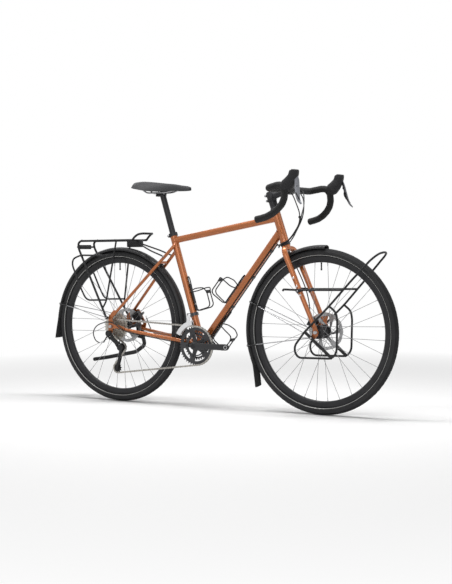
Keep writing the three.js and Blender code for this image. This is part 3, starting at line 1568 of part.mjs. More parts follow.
const cageHangerShare = 0.27;
function buildFrontMechClamp() {
  const bore = offsetFor(seatTubeRadius, mainSides);
  const low = frontMechHeight - frontBandWidth / 2;
  const band = rod(seatTubeAt(low), seatTubeAt(low + frontBandWidth), bore + seatClampWall, mainSides);
  const arm = seatTubeRadius + seatClampWall;
  const bodyTo = frontMechOut - mechKnuckle - fitGap;
  const bodyFrom = arm - 2 * seatClampWall;
  const body = block(
    seatTubeAt(frontMechHeight, -frontMechSetback).setY(-(bodyFrom + bodyTo) / 2),
    frontPinLength,
    bodyTo - bodyFrom,
    frontBandWidth,
  );
  const ears = [-1, 1].map((end) => block(
    shifted(mechPivot, end * (earReach - frontEarThickness / 2), mechKnuckle / 2, 0),
    frontEarThickness,
    3 * mechKnuckle,
    frontBandWidth,
  ));
  const pin = rod(shifted(mechPivot, -earReach, 0, 0), shifted(mechPivot, earReach, 0, 0), boltRadius, 6);
  const core = rod(seatTubeAt(low - overrun), seatTubeAt(low + frontBandWidth + overrun), bore, mainSides);
  return cut(joined([band, body, ...ears, pin]), [core]);
}

function buildFrontMechCage() {
  const steps = 5;
  const from = radians(frontCageStartAngle);
  const span = radians(frontCageSpanAngle);
  const arc = (radius, share) => {
    const angle = from + span * share;
    return [radius * Math.cos(angle), radius * Math.sin(angle)];
  };
  const outline = [];
  for (let step = 0; step <= steps; step += 1) {
    outline.push(arc(frontCageOuter, step / steps));
  }
  for (let step = steps; step >= 0; step -= 1) {
    outline.push(arc(frontCageInner, step / steps));
  }
  const plates = [-1, 1].map((side) => plate(
    bracket,
    counted(outline),
    chainPlane + side * frontCageHalfGap,
    chainPlane + side * (frontCageHalfGap + frontCageThickness),
  ));
  const outside = frontCageHalfGap + frontCageThickness;
  const spanning = (share, radius) => {
    const [x, z] = arc(radius, share);
    return rod(
      shifted(bracket, x, chainPlane - outside, z),
      shifted(bracket, x, chainPlane + outside, z),
      boltRadius,
      6,
    );
  };
  const width = 2 * (earReach - frontEarThickness - fitGap);
  const knuckle = rod(
    shifted(mechPivot, -width / 2, 0, 0),
    shifted(mechPivot, width / 2, 0, 0),
    mechKnuckle,
    8,
  );
  const [footX, footZ] = arc(frontCageOuter - frontCageThickness, cageHangerShare);
  const footY = chainPlane + frontCageHalfGap + frontCageThickness / 2;
  const foot = shifted(bracket, footX, footY, footZ);
  const hanger = carried(
    [shifted(foot, 0, 0, -boltRadius), foot, shifted(mechPivot, 0, -mechKnuckle / 2, 0)],
    [[-0.5, -0.5], [0.5, -0.5], [0.5, 0.5], [-0.5, 0.5]].map(([u, v]) => [u * 2 * boltRadius, v * width]),
    lateral,
  );
  const ahead = shifted(mechPivot, width, 0, 0);
  const bore = rod(shifted(mechPivot, -width, 0, 0), ahead, boreFor(boltRadius, 6), 6);
  return cut(joined([
    ...plates,
    spanning(0.06, frontCageOuter - boltRadius),
    spanning(0.95, frontCageInner + boltRadius),
    knuckle,
    hanger,
  ]), [bore]);
}

// Rear mech: knuckle on the hanger, link, knuckle at the guide pulley, and the caged pulleys.
const guideCentre = point(guidePulleyForward, chainPlane, tyreRadius - guidePulleyDrop);
const tensionCentre = polar(guideCentre, cageLength, cageAngle);
const knuckleInner = -(dropoutHalfGap + dropoutThickness + fitGap);
const mountCentre = hangerPlace.clone().setY(knuckleInner - knuckleLength / 2);
const cageOutside = chainPlane - cagePlateOffset - cagePlateThickness;
const footCentre = guideCentre.clone().setY(cageOutside - fitGap - knuckleLength / 2);
const linkAlong = footCentre.clone().sub(mountCentre).setY(0).normalize();
const linkAxis = point(-linkAlong.z, 0, linkAlong.x);
const upperPin = mountCentre.clone().addScaledVector(linkAlong, linkPinOffset);
const lowerPin = footCentre.clone().addScaledVector(linkAlong, -linkPinOffset);
const earTilt = Math.atan2(linkAlong.z, linkAlong.x);
const pinReach = linkHalfHeight + fitGap + linkEarThickness;

// Two ears that carry a pin beside a knuckle; end is 1 below the knuckle and -1 above it.
function pinEars(centre, pin, end) {
  const middle = centre.clone().lerp(pin, 0.5).addScaledVector(linkAlong, end * boltRadius);
  const ears = [-1, 1].map((side) => block(
    middle.clone().addScaledVector(linkAxis, side * (linkHalfHeight + fitGap + linkEarThickness / 2)),
    linkPinOffset + 2 * boltRadius,
    knuckleRadius,
    linkEarThickness,
    earTilt,
  ));
  const axlePin = rod(
    pin.clone().addScaledVector(linkAxis, -pinReach),
    pin.clone().addScaledVector(linkAxis, pinReach),
    boltRadius,
    6,
  );
  return [...ears, axlePin];
}

function buildRearMechMount() {
  const stop = shifted(mountCentre, -mechStopBack, 0, -mechStopDrop);
  return joined([
    rod(
      shifted(mountCentre, 0, knuckleLength / 2, 0),
      shifted(mountCentre, 0, -knuckleLength / 2, 0),
      knuckleRadius + linkEarThickness,
      10,
    ),
    rod(mountCentre, hangerPlace.clone().setY(-dropoutHalfGap + fitGap), hangerBoltRadius, 6),
    ...pinEars(mountCentre, upperPin, 1),
    carried([mountCentre, stop], circle(linkEarThickness, 4, Math.PI / 4), lateral),
  ]);
}

function buildRearMechLink() {
  const span = lowerPin.clone().sub(upperPin);
  const across90 = linkAxis.clone().cross(span.clone().normalize());
  const end = (pin) => rod(
    pin.clone().addScaledVector(linkAxis, -linkHalfHeight),
    pin.clone().addScaledVector(linkAxis, linkHalfHeight),
    linkThickness / 2,
    8,
  );
  const corners = [[-1, -1], [1, -1], [1, 1], [-1, 1]];
  const ring = (pin) => corners.map(([u, v]) => pin.clone()
    .addScaledVector(across90, (u * linkThickness) / 2.3)
    .addScaledVector(linkAxis, v * linkHalfHeight));
  const bores = [upperPin, lowerPin].map((pin) => rod(
    pin.clone().addScaledVector(linkAxis, -2 * linkHalfHeight),
    pin.clone().addScaledVector(linkAxis, 2 * linkHalfHeight),
    boreFor(boltRadius, 6),
    6,
  ));
  return cut(joined([end(upperPin), end(lowerPin), skin([ring(upperPin), ring(lowerPin)], corners)]), bores);
}

function buildRearMechKnuckle() {
  const bore = rod(
    shifted(footCentre, 0, knuckleLength, 0),
    shifted(footCentre, 0, -knuckleLength / 2 + linkEarThickness, 0),
    boreFor(pulleyHubRadius, 8),
    8,
  );
  return cut(joined([
    rod(
      shifted(footCentre, 0, knuckleLength / 2, 0),
      shifted(footCentre, 0, -knuckleLength / 2, 0),
      knuckleRadius + linkEarThickness,
      10,
    ),
    ...pinEars(footCentre, lowerPin, -1),
  ]), [bore]);
}

const cageShares = [
  [-1, 0.3], [-0.5, 0.95], [0.4, 1], [1, 0.55], [1, -0.55], [0.4, -1], [-0.5, -0.95], [-1, -0.3],
];

function buildRearMechCage() {
  const along = [Math.cos(cageAngle), Math.sin(cageAngle)];
  const outline = cageShares.map(([share, side]) => {
    const distance = share > 0.9 ? cageLength + cagePlateHalfWidth : cagePlateHalfWidth * share;
    const reach = share === 0.4 ? cageLength / 2 : distance;
    const width = share === 0.4 ? side * cagePlateHalfWidth * 0.75 : side * cagePlateHalfWidth;
    return [along[0] * reach - along[1] * width, along[1] * reach + along[0] * width];
  });
  const centre = guideCentre.clone().setY(0);
  const plates = [-1, 1].map((side) => plate(
    centre,
    counted(outline),
    chainPlane + side * cagePlateOffset,
    chainPlane + side * (cagePlateOffset + cagePlateThickness),
  ));
  const reach = cagePlateOffset + cagePlateThickness;
  const bolts = [guideCentre, tensionCentre].map((place) => rod(
    shifted(place, 0, -reach, 0),
    shifted(place, 0, reach, 0),
    pulleyBoltRadius,
    6,
  ));
  const stub = rod(
    shifted(guideCentre, 0, -reach + cagePlateThickness / 2, 0),
    shifted(footCentre, 0, -knuckleLength / 2 + linkEarThickness + fitGap, 0),
    pulleyHubRadius,
    8,
  );
  return joined([...plates, ...bolts, stub]);
}

function buildPulley(index) {
  const half = cagePlateOffset - fitGap;
  const hub = rod(point(0, -half, 0), point(0, half, 0), pulleyHubRadius, 8);
  const bore = rod(point(0, -2 * half, 0), point(0, 2 * half, 0), boreFor(pulleyBoltRadius, 6), 6);
  return cut(sprocket(pulleyTeeth, phaseOn(index), true, 0).add(hub), [bore]);
}

add(frameGroup, 'front_mech_clamp', buildFrontMechClamp(), silver);
add(frameGroup, 'front_mech_cage', buildFrontMechCage(), silver);
add(frameGroup, 'rear_mech_mount', buildRearMechMount(), blackMetal);
add(frameGroup, 'rear_mech_link', buildRearMechLink(), greyMetal);
add(frameGroup, 'rear_mech_knuckle', buildRearMechKnuckle(), blackMetal);
add(frameGroup, 'rear_mech_cage', buildRearMechCage(), greyMetal);
add(group(bicycle, guideCentre), 'guide_pulley', buildPulley(2), blackPlastic);
add(group(bicycle, tensionCentre), 'tension_pulley', buildPulley(3), blackPlastic);

// Disc calipers: a slotted body bolted to its tab, and a cable arm outside it.
function buildCaliper({ centre, angle }, inner, tab, rotorY) {
  const outer = tab - 2 * fitGap - caliperArmThickness - boltRadius / 2;
  const body = block(
    centre.clone().setY((inner + outer) / 2),
    caliperHeight,
    outer - inner,
    caliperLength,
    angle,
  );
  const inward = polar(centre, -caliperHeight / 2, angle);
  const slot = block(
    inward.setY(rotorY + rotorThickness / 2),
    caliperHeight * 1.78,
    caliperSlot,
    caliperLength * 1.2,
    angle,
  );
  const tabOut = tab + caliperTabThickness;
  const bolts = caliperBolts({ centre, angle }).flatMap((place) => {
    const run = (from, to, radius) => rod(place.clone().setY(from), place.clone().setY(to), radius, 6);
    return [
      run(outer - weldDepth, tab - fitGap, bossRadius),
      run(outer, tabOut + bossHeight, boltRadius),
      run(tabOut + fitGap, tabOut + bossHeight + fitGap, bossRadius),
    ];
  });
  const stub = rod(centre.clone().setY(outer - weldDepth), centre.clone().setY(tab - fitGap), bossRadius, 8);
  return cut(body, [slot]).add(joined([...bolts, stub]));
}

function buildCaliperArm({ centre, angle }, tab) {
  const from = tab - 2 * fitGap - caliperArmThickness;
  const half = caliperArmLength / 4;
  const along = [[-0.2, 0.7], [0, 1], [0.3, 0.9], [1, 0.5], [1, -0.5], [0.3, -0.9], [0, -1], [-0.2, -0.7]];
  const outline = along.map(([share, side]) => {
    const distance = caliperArmLength * share;
    const width = half * side;
    return [
      Math.cos(angle) * distance - Math.sin(angle) * width,
      Math.sin(angle) * distance + Math.cos(angle) * width,
    ];
  });
  const bore = circle(boreFor(bossRadius, 8), 8);
  return plate(centre.clone().setY(0), counted(outline), from, from + caliperArmThickness, [bore]);
}

add(
  frameGroup,
  'rear_caliper',
  buildCaliper(rearCaliper, rearCaliperInner, dropoutHalfGap, wheels.rear.rotor),
  blackMetal,
);
add(frameGroup, 'rear_caliper_arm', buildCaliperArm(rearCaliper, dropoutHalfGap), silver);
add(
  steeringGroup,
  'front_caliper',
  buildCaliper(frontCaliper, frontCaliperInner, forkHalfGap, wheels.front.rotor),
  blackMetal,
);
add(steeringGroup, 'front_caliper_arm', buildCaliperArm(frontCaliper, forkHalfGap), silver);

// Mudguards: an arched sheet round the wheel with a flap, stays to the eyelets and a seat block.
function guardSheetSolid(centre, from, to, flare) {
  const outside = archShares.map(([side, rise]) => [side * guardHalfWidth, guardSag * rise]);
  const inside = archShares.slice().reverse().map(([side, rise]) => [
    side * (guardHalfWidth - guardSheet * 0.6),
    guardSag * rise - guardSheet,
  ]);
  const outline = [...outside, ...inside];
  const steps = Math.round((to - from) / guardStepAngle);
  const rings = [];
  for (let step = 0; step <= steps; step += 1) {
    const angle = from + ((to - from) * step) / steps;
    const past = Math.max(0, angle - flare.from) / (to - flare.from);
    const radius = guardRadius - guardSag + guardSheet + flare.by * past ** 1.5;
    rings.push(outline.map(([y, rise]) => polar(centre, radius + rise, radians(angle)).setY(y)));
  }
  return skin(rings, outline);
}

function guardStay(eye, y, centre, clip) {
  const end = polar(centre, guardRadius - guardSag + guardSheet / 2, radians(clip));
  const side = Math.sign(y);
  const foot = eye.clone().setY(y + side * (guardEyeThickness - guardStayRadius));
  const bound = end.clone().setY(side * (guardHalfWidth - guardSheet / 3));
  return [
    rod(foot, bound, guardStayRadius, 5),
  ];
}

const guardEye = (eye, y) => rod(
  eye.clone().setY(y),
  eye.clone().setY(y + Math.sign(y) * guardEyeThickness),
  bossRadius,
  8,
);

function buildMudguard(centre, span, flare, eye, halfGap, clips, seats) {
  const outer = halfGap + fitGap;
  const parts = [guardSheetSolid(centre, span[0], span[1], flare)];
  const bores = [];
  for (const side of [-1, 1]) {
    parts.push(guardEye(eye, side * outer));
    parts.push(...clips.flatMap((clip) => guardStay(eye, side * outer, centre, clip)));
    bores.push(across(eye, outer + 2 * guardEyeThickness, boltRadius));
  }
  for (const { angle, reach } of seats) {
    const turn = radians(angle);
    const middle = polar(centre, guardRadius + (reach - guardSheet) / 2, turn);
    parts.push(block(middle, reach + guardSheet, guardHalfWidth * 0.9, guardHalfWidth * 0.6, turn));
  }
  return cut(joined(parts), bores);
}

const bridgeRoom = (place) => place.length() - bridgeRadius - guardRadius - guardSheet - fitGap;
const seatBridgePlace = onSeatstay(1, seatBridgeShare).setY(0).sub(rearAxle);
const stayBridgePlace = onChainstay(1, stayBridgeShare).setY(0).sub(rearAxle);
const degreesOf = (from) => THREE.MathUtils.radToDeg(Math.atan2(from.z, from.x));
const crownPlace = steererAt(crownTop - crownDepth).sub(frontAxle);

add(frameGroup, 'rear_mudguard', buildMudguard(
  rearAxle,
  [rearGuardStartAngle, rearGuardEndAngle],
  { from: rearGuardEndAngle - rearFlapSpanAngle, by: rearFlapFlare },
  rearEyelets[0],
  dropoutHalfGap + dropoutThickness,
  [rearStayAngle],
  [
    { angle: degreesOf(seatBridgePlace), reach: bridgeRoom(seatBridgePlace) },
    { angle: degreesOf(stayBridgePlace), reach: bridgeRoom(stayBridgePlace) },
  ],
), blackPlastic);
add(steeringGroup, 'front_mudguard', buildMudguard(
  frontAxle,
  [frontGuardStartAngle, frontGuardEndAngle],
  { from: frontGuardEndAngle - frontFlapSpanAngle, by: frontFlapFlare },
  frontEyelet,
  forkHalfGap + forkTipThickness,
  frontStayAngles,
  [{ angle: degreesOf(crownPlace), reach: crownPlace.length() - guardRadius - 2 * guardSheet }],
), blackPlastic);

// Bottle cages: a strip on two bosses, a wire up each side of the bottle, a clip and a tab.
function buildBottleCage(foot, along, outward) {
  const base = foot.clone().addScaledVector(outward, bossHeight + fitGap + cageStripThickness / 2);
  const tilt = Math.atan2(along.z, along.x);
  const strip = block(base, bottleCageLength, cageStripWidth, cageStripThickness, tilt);
  const start = base.clone().addScaledVector(along, -bottleCageLength / 2);
  const place = ([length, out, half], side = 1) => start.clone()
    .addScaledVector(along, bottleCageLength * length)
    .addScaledVector(outward, 2 * bottleRadius * out)
    .setY(side * (bottleRadius + cageWireRadius) * half);
  const sides = [-1, 1].map((side) => wire(
    cageWireShares.map((share) => place(share, side)),
    cageWireRadius,
    4,
  ));
  const tab = wire(cageTabShares.map((share) => place(share)), cageWireRadius, 4);
  const clip = block(
    place(cageClipShares),
    cageClipLength,
    cageClipWidth,
    3 * cageWireRadius,
    tilt,
  );
  return joined([strip, ...sides, tab, clip]);
}

add(frameGroup, 'seat_tube_bottle_cage', buildBottleCage(seatCageFoot, seatUp, seatAhead), blackMetal);
add(frameGroup, 'down_tube_bottle_cage', buildBottleCage(downCageFoot, downUp, downAbove), blackMetal);
add(frameGroup, 'lower_bottle_cage', buildBottleCage(lowerCageFoot, downUp, downBelow), blackMetal);

// Kickstand: a plate bolted outside the left dropout, and the folded leg on its pin.
const standPivot = point(standPivotForward, dropoutHalfGap + dropoutThickness + fitGap, standPivotHeight);

function buildStandBracket() {
  const outside = standPivot.y + standPlateThickness;
  const rise = standBolts[0].z - standPivotHeight;
  const outline = standPlateShares.map(([x, z]) => [x * rise, z * rise]);
  const pinEnd = outside + fitGap + standHubLength + fitGap;
  return joined([
    plate(standPivot.clone().setY(0), counted(outline), standPivot.y, outside),
    ...standBolts.flatMap((place) => [
      rod(place.clone().setY(dropoutHalfGap - boltRadius), place.clone().setY(outside), boltRadius, 6),
      rod(place.clone().setY(outside - weldDepth), place.clone().setY(outside + bossHeight), bossRadius, 6),
    ]),
    rod(standPivot, standPivot.clone().setY(pinEnd), bossRadius, 8),
    rod(standPivot.clone().setY(pinEnd), standPivot.clone().setY(pinEnd + bossHeight), standFootRadius, 8),
  ]);
}

function buildStandLeg() {
  const from = standPivot.y + standPlateThickness + fitGap;
  const middle = standPivot.clone().setY(from + standHubLength / 2);
  const path = standCorners.map(([x, y, z]) => shifted(middle, x, y, z));
  const hub = bar(middle, standHubLength / 2, standHubRadius, 10);
  const end = path[path.length - 1];
  const toward = end.clone().sub(path[path.length - 2]).normalize();
  const foot = rod(end.clone().addScaledVector(toward, -3 * standFootRadius), end, standFootRadius, 8);
  const bore = bar(middle, standHubLength / 2 + overrun, boreFor(bossRadius, 8), 8);
  return cut(joined([hub, wire(bent(path, standFootRadius * 2, 1), standRodRadius, 6), foot]), [bore]);
}

add(frameGroup, 'kickstand_bracket', buildStandBracket(), blackMetal);
add(frameGroup, 'kickstand_leg', buildStandLeg(), blackMetal);

// Rear rack: one rod from foot to foot over the front hoop, with struts, side loops and cross bars.
const fromRear = (corners, side) => corners.map(([x, y, z]) => shifted(rearAxle, x, side * y, z));

function buildRearRack() {
  const right = fromRear(rackSideCorners, -1);
  const left = fromRear(rackSideCorners, 1).reverse();
  const parts = [wire([...right, ...left], rackRodRadius, 6)];
  for (const side of [-1, 1]) {
    parts.push(wire(fromRear(rackStrutCorners, side), rackRodRadius * 0.8, 5));
    parts.push(wire(fromRear(pannierCorners, side), rackRodRadius * 0.8, 5));
    const foot = fromRear(rackSideCorners, side)[0];
    const eye = dropoutHalfGap + dropoutThickness + 2 * fitGap + guardEyeThickness;
    parts.push(rod(
      rearEyelets[0].clone().setY(side * eye),
      rearEyelets[0].clone().setY(foot.y + side * rackRodRadius),
      rackRodRadius * 1.3,
      8,
    ));
    parts.push(rod(
      rearEyelets[0].clone().setY(side * (dropoutHalfGap - boltRadius)),
      rearEyelets[0].clone().setY(side * eye),
      boltRadius,
      6,
    ));
    const boss = shifted(rackBossPlace(side), 0, side * (seatstayRadius + bossHeight + fitGap), 0);
    const outside = shifted(boss, 0, side * rackRodRadius, 0);
    parts.push(rod(boss, outside, bossRadius, 6));
    const stayX = rackBlockFrom + rackBlockLength * 0.85;
    const front = shifted(rearAxle, stayX, side * rackBlockWidth * 0.35, deckRise - rackBlockDrop);
    const bend = outside.clone().lerp(front, rackStayBendShare).setY(outside.y);
    parts.push(wire([front, bend, outside], rackRodRadius * 0.7, 5));
  }
  for (const x of rackCrossBars) {
    parts.push(rod(
      shifted(rearAxle, x, -rackHalfWidth, deckRise),
      shifted(rearAxle, x, rackHalfWidth, deckRise),
      rackRodRadius * 0.8,
      5,
    ));
  }
  parts.push(block(
    shifted(rearAxle, rackBlockFrom + rackBlockLength / 2, 0, deckRise - rackBlockDrop),
    rackBlockLength,
    rackBlockWidth,
    2 * rackBlockDrop,
  ));
  const lightAt = shifted(rearAxle, -lightPlateBack, 0, deckRise - lightPlateDrop);
  parts.push(block(lightAt, lightPlateThickness, lightPlateWidth, lightPlateHeight));
  parts.push(rod(
    shifted(lightAt, lightPlateThickness, -rackSideCorners[1][1], 0),
    shifted(lightAt, lightPlateThickness, rackSideCorners[1][1], 0),
    rackRodRadius * 0.8,
    5,
  ));
  return joined(parts);
}

add(frameGroup, 'rear_rack', buildRearRack(), blackMetal);

// Low-rider rack on the fork, joined over the tyre.
const fromFront = (corners, side) => corners.map(([x, y, z]) => shifted(frontAxle, x, side * y, z));

function buildLowrider() {
  const hoop = [...fromFront(lowriderSide, -1), ...fromFront(lowriderSide, 1).reverse()];
  const parts = [wire(hoop, lowriderRodRadius, 5)];
  const bladeY = bladeSpread + lowriderClampOut;
  const cores = [];
  for (const side of [-1, 1]) {
    parts.push(wire(fromFront(lowriderLoop, side), lowriderRodRadius, 5));
    parts.push(wire(fromFront(lowriderRail, side), lowriderRodRadius, 5));
    const eye = forkHalfGap + forkTipThickness + 2 * fitGap + guardEyeThickness;
    const strip = fromFront(lowriderSide, side)[0];
    const seat = frontEyelet.clone().setY(side * eye);
    parts.push(rod(seat, frontEyelet.clone().setY(strip.y), bossRadius, 6));
    parts.push(rod(frontEyelet.clone().setY(side * (forkHalfGap - boltRadius)), seat, boltRadius, 6));
    parts.push(wire([
      strip,
      frontEyelet.clone().setY(strip.y),
      fromFront(lowriderLoop, side)[lowriderStripEnd],
    ], lowriderRodRadius * 0.9, 4));
    const [top, tip] = bladePath(side).slice(-2);
    const axis = top.clone().sub(tip).normalize();
    const middle = steererAt(lowriderClampHeight, lowriderClampForward, side * bladeY);
    const onBlade = tip.clone().addScaledVector(axis, middle.clone().sub(tip).dot(axis));
    const share = onBlade.distanceTo(tip) / top.distanceTo(tip);
    const bore = boreFor(bladeEndRadius + (bladeRadius - bladeEndRadius) * share + fitGap, 8);
    parts.push(rod(
      onBlade.clone().addScaledVector(axis, -lowriderClampWidth / 2),
      onBlade.clone().addScaledVector(axis, lowriderClampWidth / 2),
      bore + seatClampWall,
      8,
    ));
    parts.push(block(
      onBlade.clone().setY(side * lowriderHalfWidth),
      lowriderClampWidth * 1.3,
      2 * lowriderRodRadius,
      lowriderClampWidth,
    ));
    cores.push(rod(
      onBlade.clone().addScaledVector(axis, -lowriderClampWidth),
      onBlade.clone().addScaledVector(axis, lowriderClampWidth),
      bore,
      8,
    ));
  }
  return cut(joined(parts), cores);
}

add(steeringGroup, 'lowrider_rack', buildLowrider(), blackMetal);

// Cable housings: the pair under the down tube and along the stays, and the pairs at the bar.
const underTube = (height, y, out = housingOffset) => bracket.clone()
  .addScaledVector(downUp, height)
  .addScaledVector(downBelow, Math.sqrt(out ** 2 - y ** 2))
  .setY(y);
const housingOffset = downTubeRadius + housingRadius + 2 * fitGap;
const underStay = (side, share) => {
  const place = onChainstay(side, share);
  const radius = chainstayRadius + (chainstayEndRadius - chainstayRadius) * share;
  return shifted(place, 0, 0, -radius - housingRadius - 2 * fitGap);
};
const housing = (path) => wire(path, housingRadius, 5);

function buildFrameHousings() {
  const runs = [-1, 1].map((side) => housing([
    underTube(housingEntry, side * housingSpread),
    underTube(shellRadius * 3.4, side * housingSpread),
    ...shellTurnAngles.map((angle) => polar(bracket, shellRadius + 1.8 * housingRadius, radians(angle))
      .setY(side * housingSpread)),
    underStay(side, 0.08),
    ...(side < 0 ? rearMechRun : rearBrakeRun).map(([share, x, y, z]) => (
      share > 0 ? underStay(side, share) : shifted(rearAxle, x, y, z)
    )),
  ]));
  const clipOut = downTubeRadius + fitGap + housingRadius / 2;
  const clips = housingClips.map((height) => block(
    bracket.clone().addScaledVector(downUp, height).addScaledVector(downBelow, clipOut),
    5 * housingRadius,
    2 * (housingSpread + housingRadius / 2),
    housingRadius,
    Math.atan2(downUp.z, downUp.x),
  ));
  return joined([...runs, ...clips]);
}

function buildControlHousings() {
  const runs = [controlRunRight, controlRunLeft].map((run) => (
    housing(run.map((place) => shifted(barCentre, ...place)))
  ));
  const middle = shifted(barCentre, ...controlTie);
  const tie = block(middle, 4 * housingRadius, 5 * housingRadius, 3 * housingRadius, radians(90));
  return joined([...runs, tie]);
}

function buildBrakeHousing() {
  const { centre, angle } = frontCaliper;
  const armEnd = polar(centre, caliperArmLength, angle);
  return housing([
    ...frontBrakeRun.map((place) => shifted(barCentre, ...place)),
    polar(armEnd, housingPull, angle - Math.PI / 2)
      .setY(forkHalfGap - 2 * fitGap - caliperArmThickness / 2),
  ]);
}

add(frameGroup, 'frame_housings', buildFrameHousings(), blackPlastic);
add(steeringGroup, 'control_housings', buildControlHousings(), blackPlastic);
add(steeringGroup, 'front_brake_housing', buildBrakeHousing(), blackPlastic);

// Centre the box over the origin.
bicycle.updateMatrixWorld(true);
const box = new THREE.Box3().setFromObject(bicycle);
bicycle.position.x = -(box.min.x + box.max.x) / 2;

export default bicycle;
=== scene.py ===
"""Looks of a touring bicycle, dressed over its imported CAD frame.

Every size below is in millimetres, counted from the rear axle (X forward), the middle plane
(Y to the rider's left) and the ground (Z up), and becomes metres in the row frame only when a
mesh is made.
"""

from __future__ import annotations

import json
import logging
import math
from dataclasses import dataclass, field
from enum import Enum
from typing import Callable, Iterable, Sequence

import bmesh
import bpy
import numpy as np
from mathutils import Matrix, Vector
from mathutils.geometry import tessellate_polygon

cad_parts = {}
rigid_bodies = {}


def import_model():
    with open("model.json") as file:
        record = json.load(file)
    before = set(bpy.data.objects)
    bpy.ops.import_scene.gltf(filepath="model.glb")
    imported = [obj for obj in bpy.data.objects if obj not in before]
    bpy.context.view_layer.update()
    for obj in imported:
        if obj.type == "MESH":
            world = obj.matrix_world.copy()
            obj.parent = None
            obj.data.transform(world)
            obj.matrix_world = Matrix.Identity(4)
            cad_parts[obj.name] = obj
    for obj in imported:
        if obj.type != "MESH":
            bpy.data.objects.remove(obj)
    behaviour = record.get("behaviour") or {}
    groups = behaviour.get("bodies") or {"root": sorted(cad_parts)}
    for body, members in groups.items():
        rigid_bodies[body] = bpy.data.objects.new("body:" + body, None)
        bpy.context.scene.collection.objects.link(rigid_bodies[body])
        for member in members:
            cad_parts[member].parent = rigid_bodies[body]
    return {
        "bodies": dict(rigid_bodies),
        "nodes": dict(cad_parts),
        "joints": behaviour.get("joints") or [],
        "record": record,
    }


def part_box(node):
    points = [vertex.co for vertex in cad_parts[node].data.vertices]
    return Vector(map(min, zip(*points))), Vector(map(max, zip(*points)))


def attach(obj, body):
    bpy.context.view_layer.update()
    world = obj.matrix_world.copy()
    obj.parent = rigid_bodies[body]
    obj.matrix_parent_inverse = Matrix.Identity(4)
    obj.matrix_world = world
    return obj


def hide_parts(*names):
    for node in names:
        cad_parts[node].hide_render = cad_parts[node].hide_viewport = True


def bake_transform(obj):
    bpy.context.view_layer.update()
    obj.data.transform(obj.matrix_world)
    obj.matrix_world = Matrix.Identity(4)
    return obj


LOG = logging.getLogger("touring_bicycle")
MM = 0.001
FRAME_SHIFT = np.array([-504.898, 0.0, 0.0])
RIGHT, LEFT = SIDES = (-1, 1)
CHAIN_PITCH = 12.7

Path = np.ndarray
Radii = float | Sequence[float] | np.ndarray
Spot = tuple[float, float, float]
Rows = tuple[tuple[float, ...], ...]


class Body(str, Enum):
    """Names of the CAD bodies that pieces ride on."""

    FRAME = "frame"
    SEAT = "seat"
    FORK = "fork"
    FRONT_WHEEL = "front_wheel"
    REAR_WHEEL = "rear_wheel"
    CRANK = "crank"
    LEVER_RIGHT = "lever_right"
    LEVER_LEFT = "lever_left"
    PADDLE_RIGHT = "paddle_right"
    PADDLE_LEFT = "paddle_left"
    KICKSTAND = "kickstand"


class Slot(str, Enum):
    """Material slots of the record."""

    PAINT = "paint"
    BLACK_METAL = "black_metal"
    BLACK_PLASTIC = "black_plastic"
    RUBBER = "rubber"
    TAPE = "tape"
    TYRE = "tyre"
    VINYL = "vinyl"
    SILVER = "silver"
    GREY_METAL = "grey_metal"


@dataclass(frozen=True)
class Sizes:
    """Main sizes of the bicycle, as in the CAD part."""

    wheelbase: float = 1044
    tyre_radius: float = 348
    bracket_drop: float = 75
    chainstay: float = 455
    seat_angle: float = 73
    head_angle: float = 71.5
    rake: float = 45
    seat_tube: float = 521
    seat_tube_radius: float = 15.9
    top_tube_radius: float = 15
    top_tube_seat: float = 487
    top_tube_head: float = 520
    down_tube_radius: float = 17.5
    down_tube_head: float = 464
    head_tube_radius: float = 18.5
    head_ring_radius: float = 20.5
    head_ring: float = 9
    head_start: float = 410
    head_end: float = 555
    shell_radius: float = 20.5
    shell_half: float = 34
    dropout_half: float = 67.5
    dropout_thick: float = 6
    dropout_span: float = 76
    fork_half: float = 50
    fork_thick: float = 6
    fork_tip: float = 34
    stem_length: float = 91
    stem_clamp: float = 38
    fit: float = 0.3
    cover: float = 12
    spacer: float = 28
    crank: float = 170
    chain_plane: float = -50


S = Sizes()


def vec(x: float, y: float, z: float) -> np.ndarray:
    """Makes a point or direction."""
    return np.array([x, y, z], dtype=float)


ACROSS = vec(0, 1, 0)


def unit(v: np.ndarray) -> np.ndarray:
    """Scales a vector to length one."""
    return v / np.linalg.norm(v)


def between(start: np.ndarray, end: np.ndarray, share: float) -> np.ndarray:
    """Finds the point at a share of the way from one point to another."""
    return start + (end - start) * share


